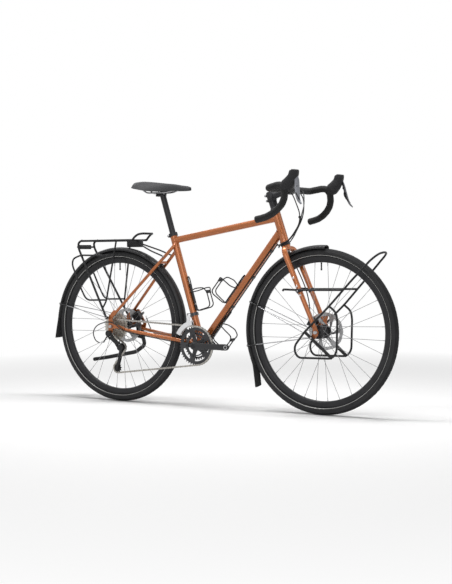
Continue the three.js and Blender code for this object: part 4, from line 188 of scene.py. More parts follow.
class Places:
    """The construction points that the pieces share."""

    def __init__(self, sizes: Sizes) -> None:
        """Works the points out.

        Args:
            sizes: The bicycle's main sizes.
        """
        seat, head = math.radians(sizes.seat_angle), math.radians(sizes.head_angle)
        self.seat_up = vec(-math.cos(seat), 0, math.sin(seat))
        self.seat_ahead = vec(self.seat_up[2], 0, -self.seat_up[0])
        self.steer_up = vec(-math.cos(head), 0, math.sin(head))
        self.steer_ahead = vec(math.sin(head), 0, math.cos(head))
        self.rear_axle = vec(0, 0, sizes.tyre_radius)
        self.front_axle = vec(sizes.wheelbase, 0, sizes.tyre_radius)
        forward = math.sqrt(sizes.chainstay**2 - sizes.bracket_drop**2)
        self.bracket = vec(forward, 0, sizes.tyre_radius - sizes.bracket_drop)
        self.steer_foot = self.front_axle - self.steer_ahead * sizes.rake
        self.clamp = sizes.head_end + sizes.fit + sizes.cover + sizes.spacer + sizes.fit
        self.bar = self.steerer(self.clamp + sizes.stem_clamp / 2, sizes.stem_length)
        self.down_up = unit(self.steerer(sizes.down_tube_head) - self.bracket)
        self.down_above = vec(-self.down_up[2], 0, self.down_up[0])

    def seat_tube(self, height: float, forward: float = 0) -> np.ndarray:
        """Finds a point on or beside the seat tube's axis."""
        return self.bracket + self.seat_up * height + self.seat_ahead * forward

    def steerer(self, height: float, forward: float = 0, side: float = 0) -> np.ndarray:
        """Finds a point on or beside the steering axis."""
        place = self.steer_foot + self.steer_up * height + self.steer_ahead * forward
        return vec(place[0], side, place[2])


P = Places(S)


# Curves


def catmull(points: Iterable[Sequence[float]], steps: int = 8) -> Path:
    """Runs a smooth curve through points.

    Each stretch blends the straight lines through four neighbours, with knots spaced by the root of the
    distance between them.

    Args:
        points: The points that it passes.
        steps: Pieces between one point and the next.

    Returns:
        The curve's points.
    """
    p = np.asarray(list(points), dtype=float)
    ext = np.vstack([2 * p[0] - p[1], p, 2 * p[-1] - p[-2]])
    out = []
    for i in range(1, len(ext) - 2):
        knots = [0.0]
        for a, b in zip(ext[i - 1 : i + 2], ext[i : i + 3]):
            knots.append(knots[-1] + max(np.linalg.norm(b - a), 1e-6) ** 0.5)
        t0, t1, t2, t3 = knots
        for t in np.linspace(t1, t2, steps, endpoint=False):
            a1 = (t1 - t) / (t1 - t0) * ext[i - 1] + (t - t0) / (t1 - t0) * ext[i]
            a2 = (t2 - t) / (t2 - t1) * ext[i] + (t - t1) / (t2 - t1) * ext[i + 1]
            a3 = (t3 - t) / (t3 - t2) * ext[i + 1] + (t - t2) / (t3 - t2) * ext[i + 2]
            b1 = (t2 - t) / (t2 - t0) * a1 + (t - t0) / (t2 - t0) * a2
            b2 = (t3 - t) / (t3 - t1) * a2 + (t - t1) / (t3 - t1) * a3
            out.append((t2 - t) / (t2 - t1) * b1 + (t - t1) / (t2 - t1) * b2)
    out.append(p[-1])
    return np.array(out)


def corner_curve(corners: Sequence[np.ndarray], radius: float, share: float, steps: int) -> list[np.ndarray]:
    """Rounds the middle one of three corners.

    The curve is of the second degree: it leaves one side, is drawn towards the corner and meets the
    other side.

    Args:
        corners: The corner before it, itself and the one after it.
        radius: How far from it the curve starts.
        share: Most that the curve may take up of either side.
        steps: Pieces in the curve.

    Returns:
        The curve's points.
    """
    back, here, ahead = corners
    reach = min(radius, np.linalg.norm(back - here) * share, np.linalg.norm(ahead - here) * share)
    entry, leave = here + unit(back - here) * reach, here + unit(ahead - here) * reach
    turns = np.linspace(0, 1, steps + 1)
    return [(1 - t) ** 2 * entry + 2 * t * (1 - t) * here + t**2 * leave for t in turns]


def rounded(corners: Iterable[Sequence[float]], radius: float, steps: int = 6) -> Path:
    """Joins corners by straight runs with each corner rounded.

    Args:
        corners: The corners in order.
        radius: How far from a corner its curve starts.
        steps: Pieces in each curve.

    Returns:
        The path's points.
    """
    c = [np.asarray(p, dtype=float) for p in corners]
    out = [c[0]]
    for three in zip(c, c[1:], c[2:]):
        out += corner_curve(three, radius, 0.5, steps)
    return np.array([*out, c[-1]])


def lengths(path: Path) -> np.ndarray:
    """Measures along a path."""
    return np.concatenate([[0.0], np.cumsum(np.linalg.norm(np.diff(path, axis=0), axis=1))])


def resampled(path: Path, step: float) -> Path:
    """Spaces a path's points evenly.

    Args:
        path: The path's points.
        step: Rough distance between points.

    Returns:
        The evenly spaced points.
    """
    along = lengths(path)
    count = max(int(along[-1] / step), 2)
    return at_places(np.linspace(0, along[-1], count + 1), along, path)


def at_places(at: np.ndarray, along: np.ndarray, path: Path) -> Path:
    """Finds the points of a path at given distances from its start."""
    return np.stack([np.interp(at, along, path[:, k]) for k in range(3)], axis=1)


def carried_frames(path: Path, start: np.ndarray | None = None) -> tuple[Path, Path, Path]:
    """Carries a frame along a path without twist.

    Each side is the one before it less its share along the path; each up is square to both.

    Args:
        path: The path's points.
        start: The first side direction, if it matters.

    Returns:
        Tangents, sides and ups at each point.
    """
    tangent = np.gradient(path, axis=0)
    tangent /= np.linalg.norm(tangent, axis=1)[:, None]
    side = start if start is not None else (ACROSS if abs(tangent[0, 1]) < 0.9 else vec(0, 0, 1))
    sides = []
    for along in tangent:
        side = unit(side - along * np.dot(side, along))
        sides.append(side)
    sides = np.array(sides)
    return tangent, sides, np.cross(tangent, sides)


# Shapes


@dataclass
class Shape:
    """A mesh being made: points in millimetres, faces, and a material number for each face."""

    points: list[np.ndarray] = field(default_factory=list)
    faces: list[tuple[int, ...]] = field(default_factory=list)
    tints: list[int] = field(default_factory=list)

    def add(self, other: "Shape", tint: int | None = None) -> "Shape":
        """Takes in another shape.

        Args:
            other: The shape to take in.
            tint: A material number for all its faces, if they get a new one.

        Returns:
            This shape.
        """
        base = len(self.points)
        self.points.extend(other.points)
        self.faces.extend(tuple(i + base for i in face) for face in other.faces)
        self.tints.extend(other.tints if tint is None else [tint] * len(other.faces))
        return self

    def moved(self, change: Callable[[np.ndarray], np.ndarray]) -> "Shape":
        """Copies the shape with its points changed."""
        return Shape(list(change(np.array(self.points))), list(self.faces), list(self.tints))


def grid(rings: np.ndarray, loop: bool = False, caps: bool = True, tint: int = 0) -> Shape:
    """Skins a stack of closed rings.

    Each face joins two neighbours on one ring to the same two on the next.

    Args:
        rings: Array of ring, point on ring, and coordinate.
        loop: Whether the last ring joins the first.
        caps: Whether open ends are closed by flat faces.
        tint: Material number.

    Returns:
        The skin.
    """
    n, m = rings.shape[:2]
    faces = []
    for i in range(n if loop else n - 1):
        a, b = i * m, ((i + 1) % n) * m
        for j in range(m):
            k = (j + 1) % m
            faces.append((a + j, a + k, b + k, b + j))
    if caps and not loop:
        faces.append(tuple(range(m - 1, -1, -1)))
        faces.append(tuple((n - 1) * m + j for j in range(m)))
    return Shape(list(rings.reshape(-1, 3)), faces, [tint] * len(faces))


def ring_round(side: Path, up: Path, sides: int, flat: float = 1.0) -> np.ndarray:
    """Draws a round section of radius one at each point of a path."""
    turn = np.linspace(0, 2 * np.pi, sides, endpoint=False)
    return side[:, None] * np.cos(turn)[None, :, None] + up[:, None] * np.sin(turn)[None, :, None] * flat


def sweep(
    path: Path,
    radii: Radii,
    sides: int = 20,
    flat: float = 1.0,
    start: np.ndarray | None = None,
    dome: bool = False,
    tint: int = 0,
) -> Shape:
    """Carries a round or oval section along a path.

    Each ring is a point of the path plus the radius times cosine along the side and sine along the up.

    Args:
        path: The path's points.
        radii: One radius, or one for each point.
        sides: Points on the section.
        flat: Height of the section over its width.
        start: The first side direction.
        dome: Whether the ends are rounded off.
        tint: Material number.

    Returns:
        The swept bar.
    """
    path = np.asarray(path, dtype=float)
    radii = np.broadcast_to(np.asarray(radii, dtype=float), (len(path),)).copy()
    if dome:
        path, radii = domed(path, radii)
    _, side, up = carried_frames(path, start)
    return grid(path[:, None, :] + ring_round(side, up, sides, flat) * radii[:, None, None], tint=tint)


def domed(path: Path, radii: np.ndarray, steps: int = 4) -> tuple[Path, np.ndarray]:
    """Adds rounded ends to a path within its length.

    Over each end the radius follows a quarter of a circle.

    Args:
        path: The path's points.
        radii: The radius at each.
        steps: Rings in each dome.

    Returns:
        The new points and radii.
    """
    along = lengths(path)
    turn = np.linspace(0.12, 1, steps)
    scale = np.sqrt(1 - (1 - turn) ** 2)
    head, tail = radii[0] * 0.9, radii[-1] * 0.9
    at = np.concatenate([
        turn * head - turn[0] * head,
        along[(along > head) & (along < along[-1] - tail)],
        along[-1] - (turn * tail - turn[0] * tail)[::-1],
    ])
    size = np.interp(at, along, radii)
    size[:steps] *= scale
    size[-steps:] *= scale[::-1]
    return at_places(at, along, path), size


def rod(start: np.ndarray, end: np.ndarray, radius: float, sides: int = 20, tint: int = 0) -> Shape:
    """Makes a straight round bar with flat ends and a small edge break.

    Args:
        start: Centre of one end.
        end: Centre of the other end.
        radius: Its radius.
        sides: Points round it.
        tint: Material number.

    Returns:
        The bar.
    """
    length = np.linalg.norm(end - start)
    edge = min(0.6, radius * 0.15, length * 0.2)
    along = unit(end - start)
    stops = [(0, radius - edge), (edge, radius), (length - edge, radius), (length, radius - edge)]
    path = np.array([start + along * s for s, _ in stops])
    return sweep(path, [r for _, r in stops], sides, tint=tint)


def crossbar(at: np.ndarray, low: float, high: float, radius: float, sides: int = 20, tint: int = 0) -> Shape:
    """Makes a rod across the bicycle, through a place."""
    return rod(at + vec(0, low, 0), at + vec(0, high, 0), radius, sides, tint)


def spokes_round(axis: np.ndarray, sides: int) -> Path:
    """Lists the directions that stand out evenly round an axis.

    Args:
        axis: The axis, of length one.
        sides: How many directions.

    Returns:
        The cosine of each turn times a first direction, plus its sine times the one square to it.
    """
    first = unit(np.cross(axis, vec(1, 0, 0) if abs(axis[0]) < 0.9 else vec(0, 0, 1)))
    turn = np.linspace(0, 2 * np.pi, sides, endpoint=False)
    return np.cos(turn)[:, None] * first + np.sin(turn)[:, None] * np.cross(axis, first)


def striped(shape: Shape, tints: Sequence[int]) -> Shape:
    """Gives the faces of a shape the material numbers of a list, again and again."""
    shape.tints = [tints[i % len(tints)] for i in range(len(shape.faces))]
    return shape


def turned(
    profile: Sequence[Sequence[float]],
    foot: np.ndarray,
    axis: np.ndarray,
    sides: int = 48,
    tints: Sequence[int] | None = None,
) -> Shape:
    """Turns a closed profile about an axis.

    Each point is the foot, plus its height along the axis, plus its radius times a direction round it.

    Args:
        profile: Closed loop of radius and height along the axis.
        foot: Where the height is zero.
        axis: Direction of the axis.
        sides: Steps round the axis.
        tints: Material number for each edge of the profile.

    Returns:
        The turned ring.
    """
    axis = unit(axis)
    p = np.asarray(profile, dtype=float)
    rings = foot + spokes_round(axis, sides)[:, None, :] * p[None, :, 0, None] + axis * p[None, :, 1, None]
    shape = grid(rings, loop=True)
    return shape if tints is None else striped(shape, tints)


def solid_turned(profile: Sequence[Sequence[float]], foot: np.ndarray, axis: np.ndarray, sides: int = 32,
                 tint: int = 0) -> Shape:
    """Turns an open profile that starts and ends near the axis, capping both ends.

    Args:
        profile: Radius and height pairs from one end to the other.
        foot: Where the height is zero.
        axis: Direction of the axis.
        sides: Steps round the axis.
        tint: Material number.

    Returns:
        The turned solid.
    """
    axis = unit(axis)
    p = np.asarray(profile, dtype=float)
    rings = foot + spokes_round(axis, sides)[None, :, :] * p[:, 0, None, None] + axis * p[:, 1, None, None]
    return grid(rings, tint=tint)


def plate(
    centre: np.ndarray,
    outline: Sequence[Sequence[float]],
    low: float,
    high: float,
    holes: Sequence[Sequence[Sequence[float]]] = (),
) -> Shape:
    """Cuts a flat plate from a side view.

    Both faces are the outline and its holes cut into triangles, and walls join their edges.

    Args:
        centre: Where the outline is measured from.
        outline: Corners as forward and up.
        low: Its right face.
        high: Its left face.
        holes: Outlines of its holes.

    Returns:
        The plate.
    """
    low, high = min(low, high), max(low, high)
    loops = [np.asarray(outline, dtype=float), *(np.asarray(h, dtype=float) for h in holes)]
    flat = [Vector((x, z, 0)) for loop in loops for x, z in loop]
    count = len(flat)
    triangles = tessellate_polygon([[Vector((x, z, 0)) for x, z in loop] for loop in loops])
    shape = Shape()
    for y in (low, high):
        shape.points.extend(vec(centre[0] + p.x, centre[1] + y, centre[2] + p.y) for p in flat)
    for a, b, c in triangles:
        area = (flat[b] - flat[a]).cross(flat[c] - flat[a]).z
        face = (a, b, c) if area > 0 else (c, b, a)
        shape.faces.append(face)
        shape.faces.append(tuple(i + count for i in reversed(face)))
    start = 0
    for number, loop in enumerate(loops):
        area = sum(a[0] * b[1] - b[0] * a[1] for a, b in zip(loop, np.roll(loop, -1, axis=0)))
        for i in range(len(loop)):
            a, b = start + i, start + (i + 1) % len(loop)
            face = (a, b, b + count, a + count)
            outward = (area > 0) == (number == 0)
            shape.faces.append(tuple(reversed(face)) if outward else face)
        start += len(loop)
    shape.tints = [0] * len(shape.faces)
    return shape


def circle(radius: float, count: int, at: Sequence[float] = (0, 0)) -> np.ndarray:
    """Draws a round outline, from its radius, number of corners and centre."""
    turn = np.linspace(0, 2 * np.pi, count, endpoint=False)
    return np.stack([at[0] + radius * np.cos(turn), at[1] + radius * np.sin(turn)], axis=1)


def softened(outline: Sequence[Sequence[float]], radius: float, steps: int = 4) -> np.ndarray:
    """Rounds the corners of a closed outline.

    Args:
        outline: The corners.
        radius: How far from a corner its curve starts.
        steps: Pieces in each curve.

    Returns:
        The rounded outline.
    """
    c = np.asarray(outline, dtype=float)
    out = []
    for i, here in enumerate(c):
        out += corner_curve((c[i - 1], here, c[(i + 1) % len(c)]), radius, 0.45, steps)
    return np.array(out)


def box(centre: np.ndarray, size: Sequence[float], tilt: float = 0, tint: int = 0,
        soft: float = 1.0) -> Shape:
    """Makes a block with broken edges.

    Four rectangles with soft corners lie across the bicycle, the outer two drawn in by the edge's
    width.

    Args:
        centre: Its middle.
        size: Its length, width and height.
        tilt: Its rise from the horizontal, in radians.
        tint: Material number.
        soft: Width of the broken edges.

    Returns:
        The block.
    """
    half = np.asarray(size, dtype=float) / 2
    ahead, up = vec(math.cos(tilt), 0, math.sin(tilt)), vec(-math.sin(tilt), 0, math.cos(tilt))
    edge = min(soft, *(half * 0.45))
    rings = []
    for y, inset in ((-half[1], edge), (-half[1] + edge, 0), (half[1] - edge, 0), (half[1], edge)):
        u, v = half[0] - inset, half[2] - inset
        ring = softened([(-u, -v), (u, -v), (u, v), (-u, v)], edge * 1.4, 3)
        rings.append([centre + ahead * a + up * b + vec(0, y, 0) for a, b in ring])
    return grid(np.array(rings)[:, ::-1], tint=tint)


def weld(at: np.ndarray, tube_axis: np.ndarray, tube_radius: float, from_axis: np.ndarray,
         from_radius: float) -> Shape:
    """Lays a weld bead where one tube ends on another.

    Each point is where a line along the arriving tube's wall cuts the other tube, the larger root of a
    square equation. The bead's radius goes up and down from point to point.

    Args:
        at: Where their axes meet.
        tube_axis: Direction of the tube that is met.
        tube_radius: Its radius.
        from_axis: Direction of the tube that ends there, away from the joint.
        from_radius: Its radius.

    Returns:
        The bead.
    """
    bead, ripple, corners = 1.9, 0.14, 72
    axis, along = unit(tube_axis), unit(from_axis)
    first = unit(np.cross(along, ACROSS))
    second = np.cross(along, first)
    turn = np.linspace(0, 2 * np.pi, corners, endpoint=False)[:, None]
    edge = at + (first * np.cos(turn) + second * np.sin(turn)) * from_radius
    m, n = np.cross(edge - at, axis), np.cross(along, axis)
    a, b, c = n @ n, 2 * m @ n, (m * m).sum(axis=1) - tube_radius**2
    path = edge + along * ((-b + np.sqrt(np.maximum(b * b - 4 * a * c, 0))) / (2 * a))[:, None]
    tangent = np.roll(path, -1, axis=0) - np.roll(path, 1, axis=0)
    tangent /= np.linalg.norm(tangent, axis=1)[:, None]
    side = np.cross(tangent, np.broadcast_to(along, path.shape))
    side /= np.linalg.norm(side, axis=1)[:, None]
    thick = bead * (1 + ripple * (np.arange(len(path)) % 2))
    rings = path[:, None, :] + ring_round(side, np.cross(tangent, side), 8) * thick[:, None, None]
    return grid(rings, loop=True)


# Materials


class Graph:
    """A node material being wired."""

    def __init__(self, name: str) -> None:
        """Starts a material that has a shader and nothing else.

        Args:
            name: Its name.
        """
        self.material = bpy.data.materials.new(name)
        self.material.use_nodes = True
        self.tree = self.material.node_tree
        self.tree.nodes.clear()
        self.out = self.tree.nodes.new("ShaderNodeOutputMaterial")
        self.shader = self.tree.nodes.new("ShaderNodeBsdfPrincipled")
        self.tree.links.new(self.shader.outputs[0], self.out.inputs[0])
        self.coords = self.tree.nodes.new("ShaderNodeTexCoord").outputs["Object"]

    def node(self, kind: str, **values: object) -> bpy.types.Node:
        """Adds a node.

        Args:
            kind: Its type.
            values: Its properties, and its unlinked inputs by name.

        Returns:
            The node.
        """
        made = self.tree.nodes.new(kind)
        for key, value in values.items():
            if hasattr(made, key):
                setattr(made, key, value)
            else:
                made.inputs[key.replace("_", " ")].default_value = value
        return made

    def link(self, source: bpy.types.NodeSocket, target: bpy.types.NodeSocket) -> None:
        """Wires two sockets."""
        self.tree.links.new(source, target)

    def math(self, operation: str, *values: object) -> bpy.types.NodeSocket:
        """Adds a calculation.

        Args:
            operation: Its name.
            values: Numbers or sockets that it takes.

        Returns:
            Its result.
        """
        made = self.tree.nodes.new("ShaderNodeMath")
        made.operation = operation
        for index, value in enumerate(values):
            if isinstance(value, (int, float)):
                made.inputs[index].default_value = value
            else:
                self.link(value, made.inputs[index])
        return made.outputs[0]

    def stretched(self, scale: Sequence[float]) -> bpy.types.NodeSocket:
        """Stretches the object's coordinates.

        Args:
            scale: How much along each axis.

        Returns:
            The stretched coordinates.
        """
        mapping = self.node("ShaderNodeMapping", Scale=scale)
        self.link(self.coords, mapping.inputs["Vector"])
        return mapping.outputs[0]

    def texture(self, kind: str, scale: float, vector: bpy.types.NodeSocket,
                detail: float = 3) -> bpy.types.NodeSocket:
        """Adds a pattern.

        Args:
            kind: noise or cells.
            scale: Its fineness, per metre.
            vector: Its coordinates.
            detail: Octaves of the noise.

        Returns:
            Its value.
        """
        if kind == "noise":
            made = self.node("ShaderNodeTexNoise", Scale=scale, Detail=detail)
        else:
            made = self.node("ShaderNodeTexVoronoi", Scale=scale)
        self.link(vector, made.inputs["Vector"])
        return made.outputs[0]

    def ramp(self, source: bpy.types.NodeSocket,
             stops: Sequence[tuple[float, Sequence[float]]]) -> bpy.types.NodeSocket:
        """Maps a value to colours.

        Args:
            source: The value.
            stops: Places and their colours.

        Returns:
            The colour.
        """
        made = self.node("ShaderNodeValToRGB")
        elements = made.color_ramp.elements
        for index, (place, colour) in enumerate(stops):
            element = elements[index] if index < 2 else elements.new(place)
            element.position = place
            element.color = (*colour, 1)
        self.link(source, made.inputs[0])
        return made.outputs[0]

    def spread(self, source: bpy.types.NodeSocket, low: float, high: float) -> bpy.types.NodeSocket:
        """Rescales a value from between 0 and 1.

        Args:
            source: The value.
            low: What 0 becomes.
            high: What 1 becomes.

        Returns:
            The rescaled value.
        """
        made = self.node("ShaderNodeMapRange", To_Min=low, To_Max=high)
        self.link(source, made.inputs[0])
        return made.outputs[0]

    def bump(self, heights: Sequence[tuple[bpy.types.NodeSocket, float, float]]) -> None:
        """Adds relief.

        Args:
            heights: Height, strength and depth in metres of each layer.
        """
        last = None
        for height, strength, distance in heights:
            made = self.node("ShaderNodeBump", Strength=strength, Distance=distance)
            self.link(height, made.inputs["Height"])
            if last is not None:
                self.link(last, made.inputs["Normal"])
            last = made.outputs[0]
        self.link(last, self.shader.inputs["Normal"])


@dataclass(frozen=True)
class Finish:
    """What one surface looks like.

    Attributes:
        dark: Colour where the grain is low.
        light: Colour where it is high.
        metal: Metallic share.
        rough: Lowest and highest roughness.
        grain: Fineness of the colour grain, per metre.
        broad: Fineness of the broad patches in it, per metre.
        relief: Layers of kind, fineness, strength and depth in metres.
        coat: Weight of a clear coat.
        stretch: How the grain is stretched along each axis.
        sheen: Weight of a cloth sheen.
        shine: Strength of plain reflections.
    """

    dark: tuple[float, float, float]
    light: tuple[float, float, float]
    metal: float = 0.0
    rough: tuple[float, float] = (0.4, 0.6)
    grain: float = 400
    relief: tuple[tuple[str, float, float, float], ...] = (("noise", 900, 0.2, 0.0002),)
    coat: float = 0.0
    stretch: tuple[float, float, float] = (1, 1, 1)
    sheen: float = 0.0
    shine: float = 0.5
    broad: float = 14

    def build(self, name: str) -> bpy.types.Material:
        """Wires the material.

        Args:
            name: Its name.

        Returns:
            The material.
        """
        g = Graph(name)
        vector = g.stretched(self.stretch)
        fine, broad = g.texture("noise", self.grain, vector, 4), g.texture("noise", self.broad, g.coords, 2)
        mixed = g.math("MULTIPLY_ADD", fine, 0.7, g.math("MULTIPLY", broad, 0.3))
        g.link(g.ramp(mixed, [(0.35, self.dark), (0.65, self.light)]), g.shader.inputs["Base Color"])
        g.link(g.spread(mixed, *self.rough), g.shader.inputs["Roughness"])
        plain = {"Metallic": self.metal, "Coat Weight": self.coat, "Coat Roughness": 0.08,
                 "Sheen Weight": self.sheen, "Specular IOR Level": self.shine}
        for key, value in plain.items():
            g.shader.inputs[key].default_value = value
        g.bump([(g.texture(kind, fineness, vector), *rest) for kind, fineness, *rest in self.relief])
        return g.material


class Look(str, Enum):
    """Names of the finishes."""

    PAINT = "copper_metallic_paint"
    SATIN_BLACK = "satin_black_metal"
    POWDER_BLACK = "powder_coated_rod"
    BLACK_PLASTIC = "moulded_black_plastic"
    TYRE = "tyre_rubber"
    TREAD = "tread_rubber"
    REFLECTOR = "reflective_line"
    HOOD = "hood_rubber"
    TAPE = "cork_bar_tape"
    SADDLE = "saddle_cover"
    STEEL = "brushed_steel"
    BRIGHT = "polished_aluminium"
    GREY = "anodised_grey"
    LEVER = "lever_silver_grey"
    CHAIN = "plated_chain"
    CABLE = "housing_sleeve"
    ROTOR = "rotor_steel"
    BOLT = "stainless_bolt"
    # Painted shade: a dark aluminium put where a bore shows only shade.
    INNER = "shadowed_aluminium"
    GUARD = "glossy_black_guard"
    SPOKE = "spoke_wire"
    COG = "nickel_cogs"
    DARK_BOLT = "black_bolt"
    FLAP = "soft_black_flap"
    CRANK = "anodised_black_crank"
    RING = "machined_chainring"
    CHAIN_OUTER = "plated_chain_outer"


FINISHES = {
    Look.PAINT: Finish((0.29, 0.076, 0.013), (0.5, 0.146, 0.029), 0.5, (0.26, 0.36), 2600,
                       (("noise", 520, 0.06, 0.0001),), 0.6),
    Look.SATIN_BLACK: Finish((0.014, 0.014, 0.0154), (0.0308, 0.0308, 0.0336), 0.2, (0.34, 0.48), 700,
                             (("noise", 1500, 0.12, 0.0001),), 0.08, shine=0.25),
    Look.POWDER_BLACK: Finish((0.0112, 0.0112, 0.0126), (0.0252, 0.0252, 0.0266), 0.0, (0.42, 0.56), 900,
                              (("noise", 2400, 0.25, 0.0001),), 0.04, shine=0.22),
    Look.BLACK_PLASTIC: Finish((0.0143, 0.0143, 0.0156), (0.0273, 0.0273, 0.0286), 0.0, (0.45, 0.6), 600,
                               (("noise", 3000, 0.2, 0.0001),), shine=0.2),
    Look.TYRE: Finish((0.0225, 0.0225, 0.0238), (0.0425, 0.0425, 0.0438), 0.0, (0.62, 0.78), 350,
                      (("noise", 1400, 0.3, 0.0002),), shine=0.2),
    Look.TREAD: Finish((0.0156, 0.0156, 0.0169), (0.0338, 0.0338, 0.0351), 0.0, (0.7, 0.88), 500,
                       (("noise", 900, 0.45, 0.0004),), shine=0.15),
    Look.REFLECTOR: Finish((0.34, 0.34, 0.33), (0.5, 0.5, 0.48), 0.2, (0.25, 0.4), 2500,
                           (("cells", 2600, 0.3, 0.0001),)),
    Look.HOOD: Finish((0.0126, 0.0126, 0.014), (0.0294, 0.0294, 0.0308), 0.0, (0.55, 0.72), 500,
                      (("cells", 420, 0.35, 0.0004), ("noise", 2000, 0.2, 0.0001)), shine=0.25),
    Look.TAPE: Finish((0.0128, 0.0128, 0.0128), (0.032, 0.032, 0.032), 0.0, (0.68, 0.86), 420,
                      (("cells", 700, 0.5, 0.0005), ("noise", 260, 0.25, 0.0005)), sheen=0.06, shine=0.2),
    Look.SADDLE: Finish((0.017, 0.017, 0.0187), (0.034, 0.0348, 0.0374), 0.0, (0.5, 0.66), 800,
                        (("cells", 900, 0.4, 0.0003), ("noise", 3000, 0.2, 0.0001)), sheen=0.04, shine=0.25),
    Look.STEEL: Finish((0.26, 0.26, 0.27), (0.44, 0.44, 0.45), 0.95, (0.26, 0.4), 300,
                       (("noise", 900, 0.15, 0.0001),), stretch=(1, 9, 1)),
    Look.SPOKE: Finish((0.13, 0.13, 0.135), (0.24, 0.24, 0.245), 0.9, (0.28, 0.4), 900,
                       (("noise", 1800, 0.1, 0.0001),)),
    Look.COG: Finish((0.325, 0.306, 0.269), (0.625, 0.594, 0.537), 0.75, (0.28, 0.42), 420,
                     (("noise", 900, 0.2, 0.0002),)),
    Look.BRIGHT: Finish((0.62, 0.62, 0.63), (0.78, 0.78, 0.79), 0.95, (0.16, 0.3), 500,
                        (("noise", 1200, 0.08, 0.0001),)),
    Look.GREY: Finish((0.05, 0.052, 0.056), (0.1, 0.104, 0.11), 0.7, (0.3, 0.42), 1200,
                      (("noise", 2200, 0.15, 0.0001),), shine=0.3),
    Look.LEVER: Finish((0.13, 0.135, 0.15), (0.21, 0.217, 0.236), 0.8, (0.28, 0.4), 1400,
                       (("noise", 2200, 0.1, 0.0001),), 0.15),
    Look.CHAIN: Finish((0.2, 0.19, 0.18), (0.42, 0.41, 0.39), 0.9, (0.28, 0.5), 500,
                       (("noise", 1600, 0.25, 0.0002),)),
    Look.CABLE: Finish((0.008, 0.008, 0.008), (0.016, 0.016, 0.016), 0.0, (0.35, 0.5), 900,
                       (("noise", 2600, 0.1, 0.0001),), shine=0.25),
    Look.ROTOR: Finish((0.3, 0.3, 0.305), (0.46, 0.46, 0.465), 0.95, (0.24, 0.36), 1500,
                       (("noise", 2600, 0.2, 0.0001),)),
    Look.BOLT: Finish((0.34, 0.34, 0.35), (0.5, 0.5, 0.51), 0.9, (0.24, 0.36), 1200,
                      (("noise", 2600, 0.15, 0.0001),)),
    Look.DARK_BOLT: Finish((0.02, 0.02, 0.021), (0.05, 0.05, 0.052), 0.6, (0.3, 0.42), 1200,
                           (("noise", 2600, 0.15, 0.0001),), shine=0.3),
    # Painted shade: dark aluminium for the shaded insides of bores.
    Look.INNER: Finish((0.03, 0.03, 0.031), (0.06, 0.06, 0.062), 0.5, (0.45, 0.6), 500),
    Look.GUARD: Finish((0.0132, 0.0132, 0.0144), (0.0264, 0.0264, 0.0276), 0.0, (0.38, 0.52), 500,
                       (("noise", 160, 0.04, 0.0002), ("noise", 2400, 0.05, 0.0001)), 0.06, shine=0.28),
    Look.FLAP: Finish((0.013, 0.013, 0.0143), (0.026, 0.026, 0.0273), 0.0, (0.5, 0.66), 600,
                      (("cells", 1600, 0.3, 0.0002),), shine=0.2),
    Look.CRANK: Finish((0.024, 0.024, 0.0255), (0.048, 0.048, 0.051), 0.4, (0.3, 0.42), 1600,
                       (("noise", 2600, 0.1, 0.0001),), 0.1, shine=0.3),
    Look.RING: Finish((0.0364, 0.0364, 0.0392), (0.0728, 0.0728, 0.077), 0.6, (0.32, 0.46), 1300,
                      (("noise", 2600, 0.12, 0.0001),), shine=0.3),
    Look.CHAIN_OUTER: Finish((0.27, 0.255, 0.23), (0.48, 0.46, 0.43), 0.92, (0.24, 0.42), 700,
                             (("noise", 1900, 0.2, 0.0001),)),
}


class Palette:
    """Makes each finish once."""

    def __init__(self) -> None:
        """Starts with no material made."""
        self.made: dict[Look, bpy.types.Material] = {}

    def __getitem__(self, look: Look) -> bpy.types.Material:
        """Finds the material of a finish, made at its first use.

        Args:
            look: The finish.

        Returns:
            Its material.
        """
        if look not in self.made:
            self.made[look] = FINISHES[look].build(look.value)
        return self.made[look]


def shown(name: str, data: bpy.types.ID) -> bpy.types.Object:
    """Puts data in the scene.

    Args:
        name: Name of the new object.
        data: Its mesh, camera or lamp.

    Returns:
        The object.
    """
    made = bpy.data.objects.new(name, data)
    bpy.context.scene.collection.objects.link(made)
    return made


